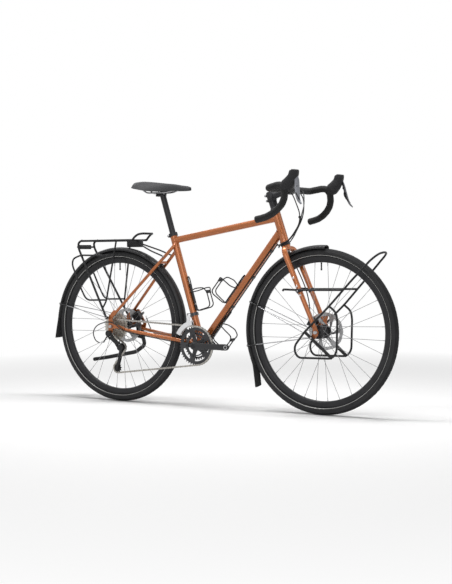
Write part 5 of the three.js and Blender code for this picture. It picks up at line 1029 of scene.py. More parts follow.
class Stage:
    """The palette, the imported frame, and the making of pieces in it."""

    BEVEL_ANGLE, FLAT_ANGLE, WELD = 40, 0.6, 0.02

    def __init__(self) -> None:
        """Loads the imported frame."""
        self.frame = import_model()
        self.palette = Palette()

    def piece(
        self,
        name: str,
        shape: Shape,
        body: Body | str | None,
        slot: Slot,
        looks: Sequence[Look],
        stands_for: Sequence[str] = (),
        sharp: float = 38,
        bevel: float = 0.0,
    ) -> bpy.types.Object:
        """Turns a shape into a piece that rides on a CAD body.

        Args:
            name: Name of the piece.
            shape: Its shape, in millimetres.
            body: The body that it rides on, or none.
            slot: The record's material slot; not used.
            looks: Its finishes, by material number.
            stands_for: CAD nodes that it replaces.
            sharp: Angle over which an edge stays sharp, in degrees.
            bevel: Width of its bevelled edges, in millimetres.

        Returns:
            The piece.
        """
        mesh = bpy.data.meshes.new(name)
        points = (np.array(shape.points) + FRAME_SHIFT) * MM
        mesh.from_pydata([tuple(p) for p in points], [], shape.faces)
        mesh.polygons.foreach_set("material_index", shape.tints)
        for look in looks:
            mesh.materials.append(self.palette[look])
        mesh.validate()
        self.tidy(mesh, sharp)
        made = shown(name, mesh)
        if bevel:
            self.bevelled(made, bevel, self.BEVEL_ANGLE)
        if body is not None:
            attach(made, str(getattr(body, "value", body)))
        if stands_for:
            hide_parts(*stands_for)
        LOG.info("piece %s", name)
        return made

    def dress(self, node: str, shape: Shape, body: Body, slot: Slot, looks: Sequence[Look], sharp: float = 38,
              bevel: float = 0.0) -> bpy.types.Object:
        """Puts a shape in the place of the CAD node whose look it is; takes what piece takes."""
        return self.piece(f"{node}_look", shape, body, slot, looks, [node], sharp, bevel)

    @staticmethod
    def bevelled(made: bpy.types.Object, width: float, sharp: float) -> bpy.types.BevelModifier:
        """Bevels the sharp edges of an object.

        Args:
            made: The object.
            width: Width of the bevels, in millimetres.
            sharp: The least angle of an edge that gets one, in degrees.

        Returns:
            The modifier.
        """
        edge = made.modifiers.new("edge", "BEVEL")
        edge.width, edge.segments, edge.limit_method = width * MM, 2, "ANGLE"
        edge.angle_limit = math.radians(sharp)
        edge.use_clamp_overlap = True
        return edge

    @staticmethod
    def tidy(mesh: bpy.types.Mesh, sharp: float) -> None:
        """Turns faces outward and smooths all but the sharp edges.

        Args:
            mesh: The mesh.
            sharp: The least angle of a sharp edge, in degrees.
        """
        work = bmesh.new()
        work.from_mesh(mesh)
        bmesh.ops.recalc_face_normals(work, faces=work.faces)
        for face in work.faces:
            face.smooth = True
        for edge in work.edges:
            if len(edge.link_faces) == 2:
                edge.smooth = edge.calc_face_angle(0) < math.radians(sharp)
        work.to_mesh(mesh)
        work.free()

    def refine(self, entry: "Refining") -> None:
        """Puts a merged copy with soft edges in the place of a CAD node.

        Args:
            entry: The node and how it is made finer.
        """
        source = self.frame["nodes"][entry.node]
        mesh = source.data.copy()
        mesh.name = f"{entry.node}_look"
        work = bmesh.new()
        work.from_mesh(mesh)
        bmesh.ops.remove_doubles(work, verts=work.verts, dist=self.WELD * MM)
        flat = math.radians(self.FLAT_ANGLE)
        bmesh.ops.dissolve_limit(work, angle_limit=flat, verts=work.verts, edges=work.edges)
        work.to_mesh(mesh)
        work.free()
        mesh.materials.clear()
        mesh.materials.append(self.palette[entry.look])
        mesh.polygons.foreach_set("material_index", [0] * len(mesh.polygons))
        self.tidy(mesh, entry.sharp)
        made = shown(mesh.name, mesh)
        self.bevelled(made, entry.bevel, entry.sharp).harden_normals = True
        bodies = self.frame["record"]["behaviour"]["bodies"]
        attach(made, next(name for name, nodes in bodies.items() if entry.node in nodes))
        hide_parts(entry.node)
        LOG.info("piece %s", mesh.name)


# Wheels


@dataclass(frozen=True)
class WheelPlan:
    """One wheel's places.

    Attributes:
        name: front or rear.
        body: Its body.
        centre: Its centre.
        half_gap: Half the width between the dropouts.
        right: The hub's right end.
        flanges: Places of the right and left flange.
        rotor: Place of the rotor's right face.
    """

    name: str
    body: Body
    centre: np.ndarray
    half_gap: float
    right: float
    flanges: tuple[float, float]
    rotor: float


@dataclass
class Wheel:
    """A wheel: tyre, rim, spokes, hub, rotor and valve."""

    plan: WheelPlan
    facets: int = 168
    tyre_width: float = 37
    spoke_count: int = 32
    crossing: float = math.radians(61.875)
    flange_holes: float = 26
    nipple_end: float = 289.7
    tread_blocks: int = 84
    groove_share: float = 0.28
    groove_depth: float = 1.1
    rotor_arms: int = 6
    rotor_window: Rows = (
        (0.3, 64.6), (0.45, 65), (0.6, 65), (0.75, 65), (0.9, 64.6), (0.86, 50), (0.72, 38), (0.52, 26.4),
        (0.3, 25.4), (0.06, 25.4), (-0.16, 26.4), (-0.02, 38), (0.16, 50),
    )

    def at(self, radius: float, angle: float, y: float = 0) -> np.ndarray:
        """Finds a point on the wheel."""
        return self.plan.centre + vec(radius * math.cos(angle), y, radius * math.sin(angle))

    def tyre(self) -> Shape:
        """Makes the tyre with its tread blocks and reflective lines.

        The casing is a circle, by angle from the middle plane. The tread loses the groove's depth where
        its step round the wheel plus its slant falls in a groove.

        Returns:
            The tyre: wall, tread and line are materials 0, 1 and 2.
        """
        casing = self.tyre_width / 2
        centre = S.tyre_radius - casing
        half = [(311.9, 8.2, 0), (316.9, 8.2, 0), (318.4, 13.4, 0)]
        wall = [(-34, 2), (-27, 0), (-12, 0), (4, 0), (18, 0), (30, 1), (38, 1)]
        for degrees, tint in [*wall, *((degrees, 1) for degrees in np.linspace(43, 88, 12))]:
            a = math.radians(degrees)
            grown = 1.02 if degrees < -20 else 1
            half.append((centre + casing * math.sin(a) * grown, casing * math.cos(a), tint))
        p = np.array([(r, y) for r, y, _ in half] + [(r, -y) for r, y, _ in reversed(half)])
        tints = [tint for _, _, tint in half[:-1]]
        count = self.facets * 4
        turn = np.linspace(0, 2 * np.pi, count, endpoint=False)[:, None]
        side = np.broadcast_to(p[:, 1], (count, len(p)))
        radius = np.broadcast_to(p[:, 0], (count, len(p))).copy()
        crown = np.clip((radius - (centre + casing * 0.66)) / (casing * 0.12), 0, 1)
        step = turn * self.tread_blocks / (2 * np.pi)
        slant = np.abs(side) / casing * 0.9
        groove = (np.mod(step + slant, 1) < self.groove_share) & (np.abs(side) > 3.2)
        centre_line = np.abs(np.abs(side) - 2.6) < 0.8
        radius -= crown * self.groove_depth * (groove | centre_line)
        rings = np.stack([radius * np.cos(turn), side, radius * np.sin(turn)], axis=2)
        return striped(grid(rings + self.plan.centre, loop=True), [*tints, 1, *tints[::-1], 0])

    def rim(self) -> Shape:
        """Makes the rim with its two wells.

        Returns:
            The rim.
        """
        half = [(311.5, 8.6), (316.2, 8.6), (316.5, 9.2), (315.8, 10.6), (312, 11.4), (303.5, 11.8),
                (296, 10.6), (291.4, 7.4), (290, 3.6)]
        profile = half + [(r, -y) for r, y in reversed(half)]
        return turned(profile, self.plan.centre, ACROSS, self.facets)

    def spokes(self) -> Shape:
        """Makes the crossed spokes, nipples and hub shell.

        Returns:
            The shape: steel, hub and nipples are materials 0, 1 and 2.
        """
        shape = Shape()
        per = self.spoke_count // 2
        for turn, flange in enumerate((-self.plan.flanges[0], self.plan.flanges[1])):
            for index in range(per):
                hole = 2 * math.pi * index / per
                lead = -1 if (index + turn) % 2 else 1
                start = self.at(self.flange_holes, hole, flange + lead * 1.9)
                end = self.at(self.nipple_end, hole + lead * self.crossing, math.copysign(2.5, flange))
                path = [start, *(between(start, end, share) for share in (0.045, 0.05, 0.95, 0.955)), end]
                shape.add(sweep(np.array(path), [1.15, 1.15, 0.95, 0.95, 1.15, 1.15], 8), 0)
                shape.add(sweep(np.array([between(start, end, 0.952), end]), [1.7, 2.0], 8), 2)
                head = self.at(self.flange_holes, hole, flange)
                shape.add(crossbar(head, -lead * 1.4, -lead * 2.6, 1.9, 8), 0)
        shape.add(self.hub(), 1)
        return shape

    def hub(self) -> Shape:
        """Makes the hub shell with its flanges and rotor seat.

        Returns:
            The hub.
        """
        p = self.plan
        right, left = p.flanges
        bore = 5.5
        profile = [(bore, p.right), (8.4, p.right), (9, p.right + 0.6), (9.4, p.right + 3),
                   (12.6, -right - 3.4), (16, -right - 1.9), (28.6, -right - 1.5), (29, -right - 1.1),
                   (29, -right + 1.1), (28.6, -right + 1.5), (17, -right + 1.9), (13.4, -right + 5.5),
                   (12.6, -right + 9), (12.2, (left - right) / 2), (12.6, left - 9), (13.4, left - 5.5),
                   (17, left - 1.9), (28.6, left - 1.5), (29, left - 1.1), (29, left + 1.1),
                   (28.6, left + 1.5), (20, left + 3), (20, p.rotor - 0.3), (17.2, p.rotor - 0.3),
                   (9, p.half_gap - 0.3), (bore, p.half_gap - 0.3)]
        return turned(profile, p.centre, ACROSS, 48)

    def rotor(self) -> Shape:
        """Makes the drilled and windowed brake rotor.

        The edge's radius rises and falls with a cosine, twelve times in a turn.

        Returns:
            The rotor and its bolts.
        """
        turn = np.linspace(0, 2 * np.pi, 192, endpoint=False)
        outline = (79 + 0.9 * np.cos(turn * 12))[:, None] * np.stack([np.cos(turn), np.sin(turn)], axis=1)
        holes = [circle(17.6, 32)]
        pitch, face = 2 * math.pi / self.rotor_arms, self.plan.rotor + 1.8
        for arm in range(self.rotor_arms):
            share, radius = np.array(self.rotor_window).T
            angle = arm * pitch + share * pitch
            holes.append(np.stack([radius * np.cos(angle), radius * np.sin(angle)], axis=1))
        for ring, radius in ((0, 69.4), (0.5, 72.6), (0.25, 75.6)):
            for index in range(30):
                a = (index + ring) * math.pi / 15
                holes.append(circle(1.15, 8, (radius * math.cos(a), radius * math.sin(a))))
        shape = plate(self.plan.centre, outline, self.plan.rotor, face, holes)
        for arm in range(self.rotor_arms):
            shape.add(crossbar(self.at(21.4, arm * pitch + 0.1, face), 0, 1.6, 2.6, 12), 1)
        return shape

    def valve(self) -> Shape:
        """Makes the tyre valve at the top of the wheel.

        Returns:
            The valve.
        """
        profile = [(0.4, 0), (3.9, 0), (3.9, 2.4), (3.1, 2.6), (3.1, 20), (2.6, 20.6), (2.6, 24), (3.6, 24.4),
                   (3.6, 31), (2.4, 33), (0.4, 33)]
        return solid_turned(profile, self.plan.centre + vec(0, 0, 289.6), vec(0, 0, -1), 16)

    def build(self, stage: Stage) -> None:
        """Puts the wheel in the scene.

        Args:
            stage: Where its pieces go.
        """
        name, body = self.plan.name, self.plan.body
        stage.dress(f"{name}_tyre", self.tyre(), body, Slot.TYRE, [Look.TYRE, Look.TREAD, Look.REFLECTOR],
                    sharp=50)
        stage.dress(f"{name}_rim", self.rim(), body, Slot.BLACK_METAL, [Look.SATIN_BLACK])
        stage.piece(f"{name}_spokes_look", self.spokes(), body, Slot.SILVER,
                    [Look.SPOKE, Look.CRANK, Look.STEEL], [f"{name}_hub_and_spokes"])
        stage.dress(f"{name}_rotor", self.rotor(), body, Slot.SILVER, [Look.ROTOR, Look.BOLT])
        stage.piece(f"{name}_valve", self.valve(), body, Slot.BLACK_METAL, [Look.SATIN_BLACK])


# Frame and fork


@dataclass
class FrameSet:
    """The frame, and the plates, bosses and beads that are part of it."""

    dropout: Rows = (
        (-0.2, 0), (-0.13, -0.15), (0.03, -0.2), (0.18, -0.13), (0.5, -0.1), (0.96, -0.2), (0.98, -0.02),
        (0.53, 0.09), (0.27, 0.14), (0.12, 0.24), (0.05, 0.4), (0.11, 0.55), (0.29, 0.7), (0.49, 0.89),
        (0.45, 0.95), (0.2, 1), (0, 0.78), (-0.15, 0.62), (-0.2, 0.42), (-0.17, 0.2),
    )
    hanger: Rows = (
        (-0.17, 0), (-0.26, -0.42), (-0.2, -0.55), (-0.02, -0.55), (0.1, -0.2),
    )
    tab: Rows = (
        (0.3, 0), (1.2, -0.16), (1.26, 0.12), (0.72, 1), (0.3, 0.9),
    )
    tab_window: Rows = (
        (0.5, 0.17), (1.02, 0.04), (1.04, 0.14), (0.68, 0.74), (0.56, 0.7),
    )
    BOSS: float = 0.155
    SEAT_BRIDGE: float = 0.25
    CHAIN_BRIDGE: float = 0.12

    @staticmethod
    def chainstay(side: int) -> tuple[np.ndarray, np.ndarray]:
        """Finds the ends of a chainstay.

        Args:
            side: Right or left.

        Returns:
            Its front and rear end.
        """
        front = P.bracket + vec(-30, side * 24, 9)
        rear = P.rear_axle + vec(S.dropout_span * 0.8, side * (S.dropout_half - 3), -S.dropout_span * 0.15)
        return front, rear

    @staticmethod
    def seatstay(side: int) -> tuple[np.ndarray, np.ndarray]:
        """Finds the ends of a seatstay.

        Args:
            side: Right or left.

        Returns:
            Its top and foot.
        """
        top = P.seat_tube(462)
        top = vec(top[0], side * 17, top[2])
        foot = P.rear_axle + vec(S.dropout_span * 0.32, side * (S.dropout_half - 0.25), S.dropout_span * 0.86)
        return top, foot

    def pipe(self, start: np.ndarray, end: np.ndarray, outer: float, inner: float) -> Shape:
        """Makes a hollow tube open at both ends.

        Args:
            start: Centre of one end.
            end: Centre of the other.
            outer: Its radius.
            inner: Its bore.

        Returns:
            The tube.
        """
        length = np.linalg.norm(end - start)
        return turned([(inner, 0), (outer - 0.4, 0), (outer, 0.4), (outer, length - 0.4),
                       (outer - 0.4, length),
                       (inner, length)], start, end - start, 40)

    def tubes(self) -> Shape:
        """Makes the main tubes with the weld beads between them.

        Returns:
            The tubes.
        """
        top_a, top_b = P.seat_tube(S.top_tube_seat), P.steerer(S.top_tube_head)
        down_b = P.steerer(S.down_tube_head)
        shape = self.pipe(P.seat_tube(0), P.seat_tube(S.seat_tube), S.seat_tube_radius, 14)
        shape.add(self.pipe(P.steerer(S.head_start), P.steerer(S.head_end), S.head_tube_radius, 15.7))
        outer, ring = S.head_ring_radius, S.head_ring
        for low in (S.head_start, S.head_end - ring):
            profile = [(18, 0), (outer - 0.8, 0), (outer, 0.8), (outer, ring - 0.8), (outer - 0.8, ring),
                       (18, ring)]
            shape.add(turned(profile, P.steerer(low), P.steer_up, 40))
        half = ACROSS * S.shell_half
        shape.add(self.pipe(P.bracket - half, P.bracket + half, S.shell_radius, 17.8))
        for start, end, radius in ((top_a, top_b, S.top_tube_radius),
                                   (P.bracket, down_b, S.down_tube_radius)):
            along = unit(end - start)
            shape.add(sweep(np.array([start + along * 12, end - along * 12]), radius, 40))
        across = unit(top_b - top_a)
        shape.add(weld(top_a, P.seat_up, S.seat_tube_radius, across, S.top_tube_radius))
        shape.add(weld(top_b, P.steer_up, S.head_tube_radius, -across, S.top_tube_radius))
        shape.add(weld(down_b, P.steer_up, S.head_tube_radius, -P.down_up, S.down_tube_radius))
        shape.add(weld(P.bracket, ACROSS, S.shell_radius, P.down_up, S.down_tube_radius))
        shape.add(weld(P.bracket, ACROSS, S.shell_radius, P.seat_up, S.seat_tube_radius))
        return shape

    def stays(self) -> Shape:
        """Makes the stays, bridges, dropouts and bosses.

        Returns:
            The stays.
        """
        shape = Shape()
        for side in SIDES:
            front, rear = self.chainstay(side)
            path = catmull([P.bracket + vec(0, side * 18, 2), front, between(front, rear, 0.5), rear], 10)
            shape.add(sweep(path, np.interp(lengths(path), [0, 430], [9.2, 7]), 28))
            top, foot = self.seatstay(side)
            path = catmull([P.seat_tube(468) + vec(0, side * 9, 0), top, between(top, foot, 0.5), foot], 10)
            shape.add(sweep(path, np.interp(lengths(path), [0, 420], [7.6, 6.5]), 28, dome=True))
            inner, outer = side * S.dropout_half, side * (S.dropout_half + S.dropout_thick)
            outline = softened(np.array(self.dropout) * S.dropout_span, 6)
            shape.add(plate(P.rear_axle, outline, inner, outer,
                            [circle(5.6, 24), circle(2.7, 16, (-17, 40))]))
            shape.add(crossbar(between(top, foot, self.BOSS), 0, side * 10.5, 5, 20))
        inner, outer = S.dropout_half + 0.4, S.dropout_half + S.dropout_thick - 0.4
        hanger, tab, window = (
            softened(np.array(outline) * S.dropout_span, radius)
            for outline, radius in ((self.hanger, 5), (self.tab, 5), (self.tab_window, 4))
        )
        shape.add(plate(P.rear_axle, hanger, -inner, -outer, [circle(5.1, 20, (-8, -32))]))
        shape.add(plate(P.rear_axle, tab, inner, inner + 4.2, [window]))
        for ends, share in ((self.seatstay, self.SEAT_BRIDGE), (self.chainstay, self.CHAIN_BRIDGE)):
            shape.add(sweep(np.array([between(*ends(side), share) for side in SIDES]), 6, 24))
        return shape

    def bosses(self) -> Shape:
        """Makes the bottle bosses.

        Returns:
            The bosses.
        """
        shape = Shape()
        for foot, along, out in cage_places():
            for share in (-0.5, 0.5):
                at = foot + along * share * 64
                shape.add(rod(at - out * 1.2, at + out * 3, 5, 20))
        return shape

    def build(self, stage: Stage) -> None:
        """Puts the frame in the scene.

        Args:
            stage: Where its pieces go.
        """
        shape = self.tubes().add(self.stays()).add(self.bosses())
        stage.dress("frame", shape, Body.FRAME, Slot.PAINT, [Look.PAINT], sharp=42)
        clamp = turned([(16.2, 0), (19.4, 0), (20.2, 0.8), (20.2, 15), (19.4, 15.7), (16.2, 15.7)],
                       P.seat_tube(S.seat_tube - 16), P.seat_up, 40)
        ear = P.seat_tube(S.seat_tube - 8, -20.5)
        clamp.add(box(ear, (13, 15, 11), math.radians(17), soft=2))
        clamp.add(crossbar(ear, -15.6, 15.6, 2.6, 16), 1)
        clamp.add(crossbar(ear, -15.8, -11, 4.2, 20), 1)
        stage.dress("seat_clamp", clamp, Body.FRAME, Slot.BLACK_METAL, [Look.SATIN_BLACK, Look.BOLT])


@dataclass
class Fork:
    """The fork with its crown, curved blades, tips and bosses."""

    tip: Rows = (
        (-0.35, 0), (-0.6, -0.45), (-0.62, -0.85), (-0.2, -0.85), (0.32, -0.3), (0.35, 0.05), (0, 0.9),
        (-0.5, 0.9),
    )
    tab: Rows = (
        (-0.3, 0.4), (0.2, 2.2), (-1, 2.3), (-2.5, 1.4), (-2.3, 0.5),
    )
    crown_top: float = S.head_start - S.fit - 13 - S.fit

    def blade(self, side: int) -> Path:
        """Finds the path of a blade.

        Args:
            side: Right or left.

        Returns:
            Its points from crown to tip.
        """
        top = self.crown_top
        return catmull([
            P.steerer(top - 13.2, 0, side * 7.6),
            P.steerer(top - 18, 7.6, side * 34),
            P.steerer(top - 33.6, 10.45, side * 46.5),
            P.steerer(top - 67.6, 14.25, side * 50),
            P.steerer((top - 67.6) * 0.5 + 9.4, 29.6, side * 51.5),
            P.steerer(S.fork_tip * 0.55, S.rake, side * (S.fork_half + 3)),
        ], 9)

    def build(self, stage: Stage) -> None:
        """Puts the fork in the scene.

        Args:
            stage: Where its pieces go.
        """
        shape = rod(P.steerer(self.crown_top - 4), P.steerer(P.clamp + S.stem_clamp - 2), 14.3, 32)
        crown = [(12, -24), (17.4, -23), (19, -20), (19, -2), (18.4, 0), (12, 0)]
        shape.add(solid_turned(crown, P.steerer(self.crown_top), P.steer_up, 40))
        for side in SIDES:
            path = self.blade(side)
            along = lengths(path) / lengths(path)[-1]
            shape.add(sweep(path, np.interp(along, [0, 0.08, 0.25, 1], [10, 12.2, 12.5, 8.5]), 32, dome=True))
            inner, outer = side * S.fork_half, side * (S.fork_half + S.fork_thick)
            outline = softened(np.array(self.tip) * S.fork_tip, 4)
            shape.add(plate(P.front_axle, outline, inner, outer,
                            [circle(5.6, 24), circle(2.7, 16, (-14, -22))]))
        tab = softened(np.array(self.tab) * S.fork_tip, 6)
        shape.add(plate(P.front_axle, tab, S.fork_half + 0.4, S.fork_half + 4.6))
        stage.dress("fork", shape, Body.FORK, Slot.PAINT, [Look.PAINT], sharp=42)
        studs, path = Shape(), self.blade(RIGHT)
        along = lengths(path) / lengths(path)[-1]
        for share in (0.42, 0.52, 0.62):
            at = at_places(np.array([share]), along, path)[0]
            radius = float(np.interp(share, [0, 0.25, 1], [12.5, 12.5, 8.5]))
            studs.add(crossbar(at, -radius + 1, -radius - 1.9, 4.4, 20))
            studs.add(crossbar(at, -radius - 1.8, -radius - 3.6, 2.9, 6))
        stage.piece("fork_boss_bolts", studs, Body.FORK, Slot.SILVER, [Look.BRIGHT])


# Cockpit


@dataclass
class Cockpit:
    """Headset cover, stem, bar, tape, hoods, levers and paddles."""

    shares: Rows = (
        (0.04, 0, 0), (0.2, 0.13, 0.02), (0.76, 0.36, 0.06), (0.95, 0.44, -0.06), (1, 0.5, -0.28),
        (0.92, 0.59, -0.5), (0.66, 0.74, -0.72), (0.25, 0.88, -0.9),
    )
    hood_stations: Rows = (
        (-0.02, 0.02, 0.9), (0.18, 0.34, 1.28), (0.38, 0.7, 1.18), (0.54, 1.12, 1.03), (0.61, 1.5, 1.0),
        (0.64, 1.72, 0.92), (0.64, 1.79, 0.74),
    )
    lever_stations: Rows = (
        (0.02, 0.04, 0.62), (0.06, -0.14, 1), (0.1, -0.38, 1.06), (0.15, -0.62, 0.96),
        (0.22, -0.82, 0.72), (0.33, -0.95, 0.42),
    )
    paddle_stations: Rows = (
        (0.1, -0.32, 0.7), (0.06, -0.47, 1), (0.12, -0.62, 1.1), (0.25, -0.8, 0.5),
    )
    REACH: float = 91
    STRAIGHT: float = 178
    SPREAD: float = 55
    DROP: float = 131
    TAPE_START: float = 46
    TAPE_PITCH: float = 27
    HOOD_LENGTH: float = 78
    HOOD_HEIGHT: float = 42
    LEVER_LENGTH: float = 118

    def bar_point(self, side: int, share: Sequence[float]) -> np.ndarray:
        """Finds a point on the bar's bend."""
        reach, spread, drop = share
        return P.bar + vec(self.REACH * reach, side * (self.STRAIGHT + self.SPREAD * spread),
                           self.DROP * drop)

    def half(self, side: int) -> list[np.ndarray]:
        """Lists the corners of half the bar.

        Args:
            side: Right or left.

        Returns:
            The corners from the tape's start to the bar's end.
        """
        return [
            P.bar + vec(0, side * self.TAPE_START, 0),
            P.bar + vec(0, side * self.STRAIGHT * 0.93, 0),
            *[self.bar_point(side, share) for share in self.shares],
            P.bar + vec(-26, side * (self.STRAIGHT + self.SPREAD), -self.DROP),
        ]

    def tape(self, side: int) -> Shape:
        """Winds the tape along half the bar.

        The radius grows with the phase, which is the way along over the pitch less the turn round the
        bar, and drops at each overlap.

        Args:
            side: Right or left.

        Returns:
            The wound tape.
        """
        path = resampled(catmull(self.half(side), 10), 1.6)
        _, first, second = carried_frames(path)
        sides = 36
        turn = np.linspace(0, 2 * np.pi, sides, endpoint=False)
        phase = np.mod(lengths(path)[:, None] / self.TAPE_PITCH - side * turn[None, :] / (2 * np.pi), 1)
        radius = 14.2 + 0.75 * phase - 0.5 * np.clip((phase - 0.93) / 0.07, 0, 1)
        radius[:2] *= 0.97
        shape = grid(path[:, None, :] + ring_round(first, second, sides) * radius[:, :, None])
        plug = [(0.5, 3.6), (9, 3.4), (13, 2.2), (14.4, 0.4), (14.4, -1)]
        shape.add(solid_turned(plug, path[-1], unit(path[-1] - path[-4]), 32), 1)
        collar = [(12.3, -1), (14.9, -1), (15, 12), (12.3, 12)]
        shape.add(turned(collar, P.bar + vec(0, side * self.TAPE_START, 0), vec(0, side, 0), 36), 1)
        return shape

    def loft(self, centres: Path, scales: Sequence[float], width: float, height: float, power: float = 2.4,
             sides: int = 28, tint: int = 0, broad: np.ndarray | None = None) -> Shape:
        """Lofts a rounded oblong section along a path.

        The section is cosine and sine with their signs kept, each raised to two over the power.

        Args:
            centres: The path's corners.
            scales: The section's scale at each.
            width: Its width at scale one.
            height: Its height at scale one.
            power: How square it is.
            sides: Points on the section.
            tint: Material number.
            broad: The way that its width runs, if not across.

        Returns:
            The lofted shape.
        """
        steps = 7
        path = catmull(centres, steps)
        size = np.interp(np.linspace(0, 1, len(path)), np.linspace(0, 1, len(scales)), scales)
        _, side, up = carried_frames(path, ACROSS if broad is None else broad)
        turn = np.linspace(0, 2 * np.pi, sides, endpoint=False)
        c, s = np.cos(turn), np.sin(turn)
        u = np.sign(c) * np.abs(c) ** (2 / power) * width / 2
        v = np.sign(s) * np.abs(s) ** (2 / power) * height / 2
        ring = side[:, None] * u[None, :, None] + up[:, None] * v[None, :, None]
        return grid(path[:, None, :] + ring * size[:, None, None], tint=tint)

    def hood_point(self, side: int, ahead: float, up: float, out: float | None = None) -> np.ndarray:
        """Finds a point in or on a hood.

        Args:
            side: Right or left.
            ahead: Share of the hood's length.
            up: Share of its height.
            out: Distance outward, if not on its middle line.

        Returns:
            The point.
        """
        foot = self.bar_point(side, self.shares[3])
        beside = side * (1.5 * ahead if out is None else out)
        return foot + vec(self.HOOD_LENGTH * ahead, beside, self.HOOD_HEIGHT * up)

    def pivot(self, side: int) -> np.ndarray:
        """Finds a brake lever's pivot."""
        return self.hood_point(side, 0.74, 1.14, 0)

    def lever_point(self, side: int, share: Sequence[float]) -> np.ndarray:
        """Finds a point on a lever's line."""
        x, z = share[:2]
        return self.pivot(side) + vec(self.LEVER_LENGTH * x, side * (3.6 + 30 * max(-z, 0)),
                                      self.LEVER_LENGTH * z)

    def hood(self, side: int) -> Shape:
        """Makes a hood with its lever body showing in its mouth.

        Args:
            side: Right or left.

        Returns:
            The hood.
        """
        path = np.array([self.hood_point(side, x, z) for x, z, _ in self.hood_stations])
        shape = self.loft(path, [s for _, _, s in self.hood_stations], 32, self.HOOD_HEIGHT, 2.7, 36)
        cap = [(12.4, -3.4), (14.4, -2.6), (15, -1), (14.2, 0.8), (11, 2), (0.5, 2.6)]
        shape.add(solid_turned(cap, self.hood_point(side, 0.64, 1.79), unit(vec(0.1, 0, 1)), 32), 1)
        for ridge in np.linspace(0.5, 1.0, 7):
            at = self.hood_point(side, 0.25 + 0.22 * ridge, 0.3 + 0.75 * ridge, 15.4)
            shape.add(sweep(np.array([at + vec(-6, 0, 2), at + vec(6, 0, -2)]), 0.8, 8, dome=True))
        return shape

    def build(self, stage: Stage) -> None:
        """Puts the cockpit in the scene.

        Args:
            stage: Where its pieces go.
        """
        cover = [(14.8, 0), (20.2, 0), (20.5, 0.5), (20.5, 4), (18.2, 11), (17.5, 12), (17.5, 21.7),
                 (17.1, 22), (17.5, 22.3), (17.5, 39.6), (17.1, 40), (14.8, 40)]
        stage.dress("headset_cover", turned(cover, P.steerer(S.head_end + S.fit), P.steer_up, 40), Body.FORK,
                    Slot.BLACK_METAL, [Look.SATIN_BLACK])
        stage.dress("stem", self.stem(), Body.FORK, Slot.BLACK_METAL, [Look.SATIN_BLACK, Look.BOLT], sharp=45)
        bar = sweep(catmull([*self.half(RIGHT)[::-1], *self.half(LEFT)], 8), 11.9, 28)
        bulge = [(11.7, -40), (12.1, -39), (15.9, -30), (15.9, 30), (12.1, 39), (11.7, 40)]
        bar.add(solid_turned(bulge, P.bar, ACROSS, 36))
        stage.dress("handlebar", bar, Body.FORK, Slot.BLACK_METAL, [Look.SATIN_BLACK])
        hands = ((RIGHT, "right", Body.LEVER_RIGHT, Body.PADDLE_RIGHT),
                 (LEFT, "left", Body.LEVER_LEFT, Body.PADDLE_LEFT))
        for side, hand, lever_body, paddle_body in hands:
            stage.dress(f"bar_tape_{hand}", self.tape(side), Body.FORK, Slot.TAPE,
                        [Look.TAPE, Look.BLACK_PLASTIC], sharp=60)
            stage.dress(f"hood_{hand}", self.hood(side), Body.FORK, Slot.RUBBER,
                        [Look.HOOD, Look.SATIN_BLACK], sharp=60)
            self.levers(stage, side, hand, lever_body, paddle_body)

    def levers(self, stage: Stage, side: int, hand: str, lever_body: Body, paddle_body: Body) -> None:
        """Puts one brake lever and its shift paddle in the scene.

        Args:
            stage: Where its pieces go.
            side: Right or left.
            hand: Its name.
            lever_body: The lever's body.
            paddle_body: The paddle's body.
        """
        centres = np.array([self.lever_point(side, s) for s in self.lever_stations])
        broad = unit(vec(0.83, side * -0.56, 0))
        shape = self.loft(centres, [s[2] for s in self.lever_stations], 20, 6.4, 2.4, 28, broad=broad)
        pivot = self.pivot(side)
        shape.add(crossbar(pivot, -7, 7, 5, 24))
        pin = self.lever_point(side, (0.14, -0.25))
        shape.add(rod(pin, pin + vec(-14, 0, 0), 2, 12))
        stage.dress(f"brake_lever_{hand}", shape, lever_body, Slot.GREY_METAL, [Look.LEVER], sharp=50)
        centres = np.array([self.lever_point(side, s) for s in self.paddle_stations])
        shape = self.loft(centres, [s[2] for s in self.paddle_stations], 11.2, 7, 2.6, 20)
        shape.add(rod(pin + vec(-14, 0, 0), pin + vec(-8, 0, 0), 5, 20))
        stage.dress(f"shift_paddle_{hand}", shape, paddle_body, Slot.BLACK_PLASTIC, [Look.BLACK_PLASTIC],
                    sharp=50)

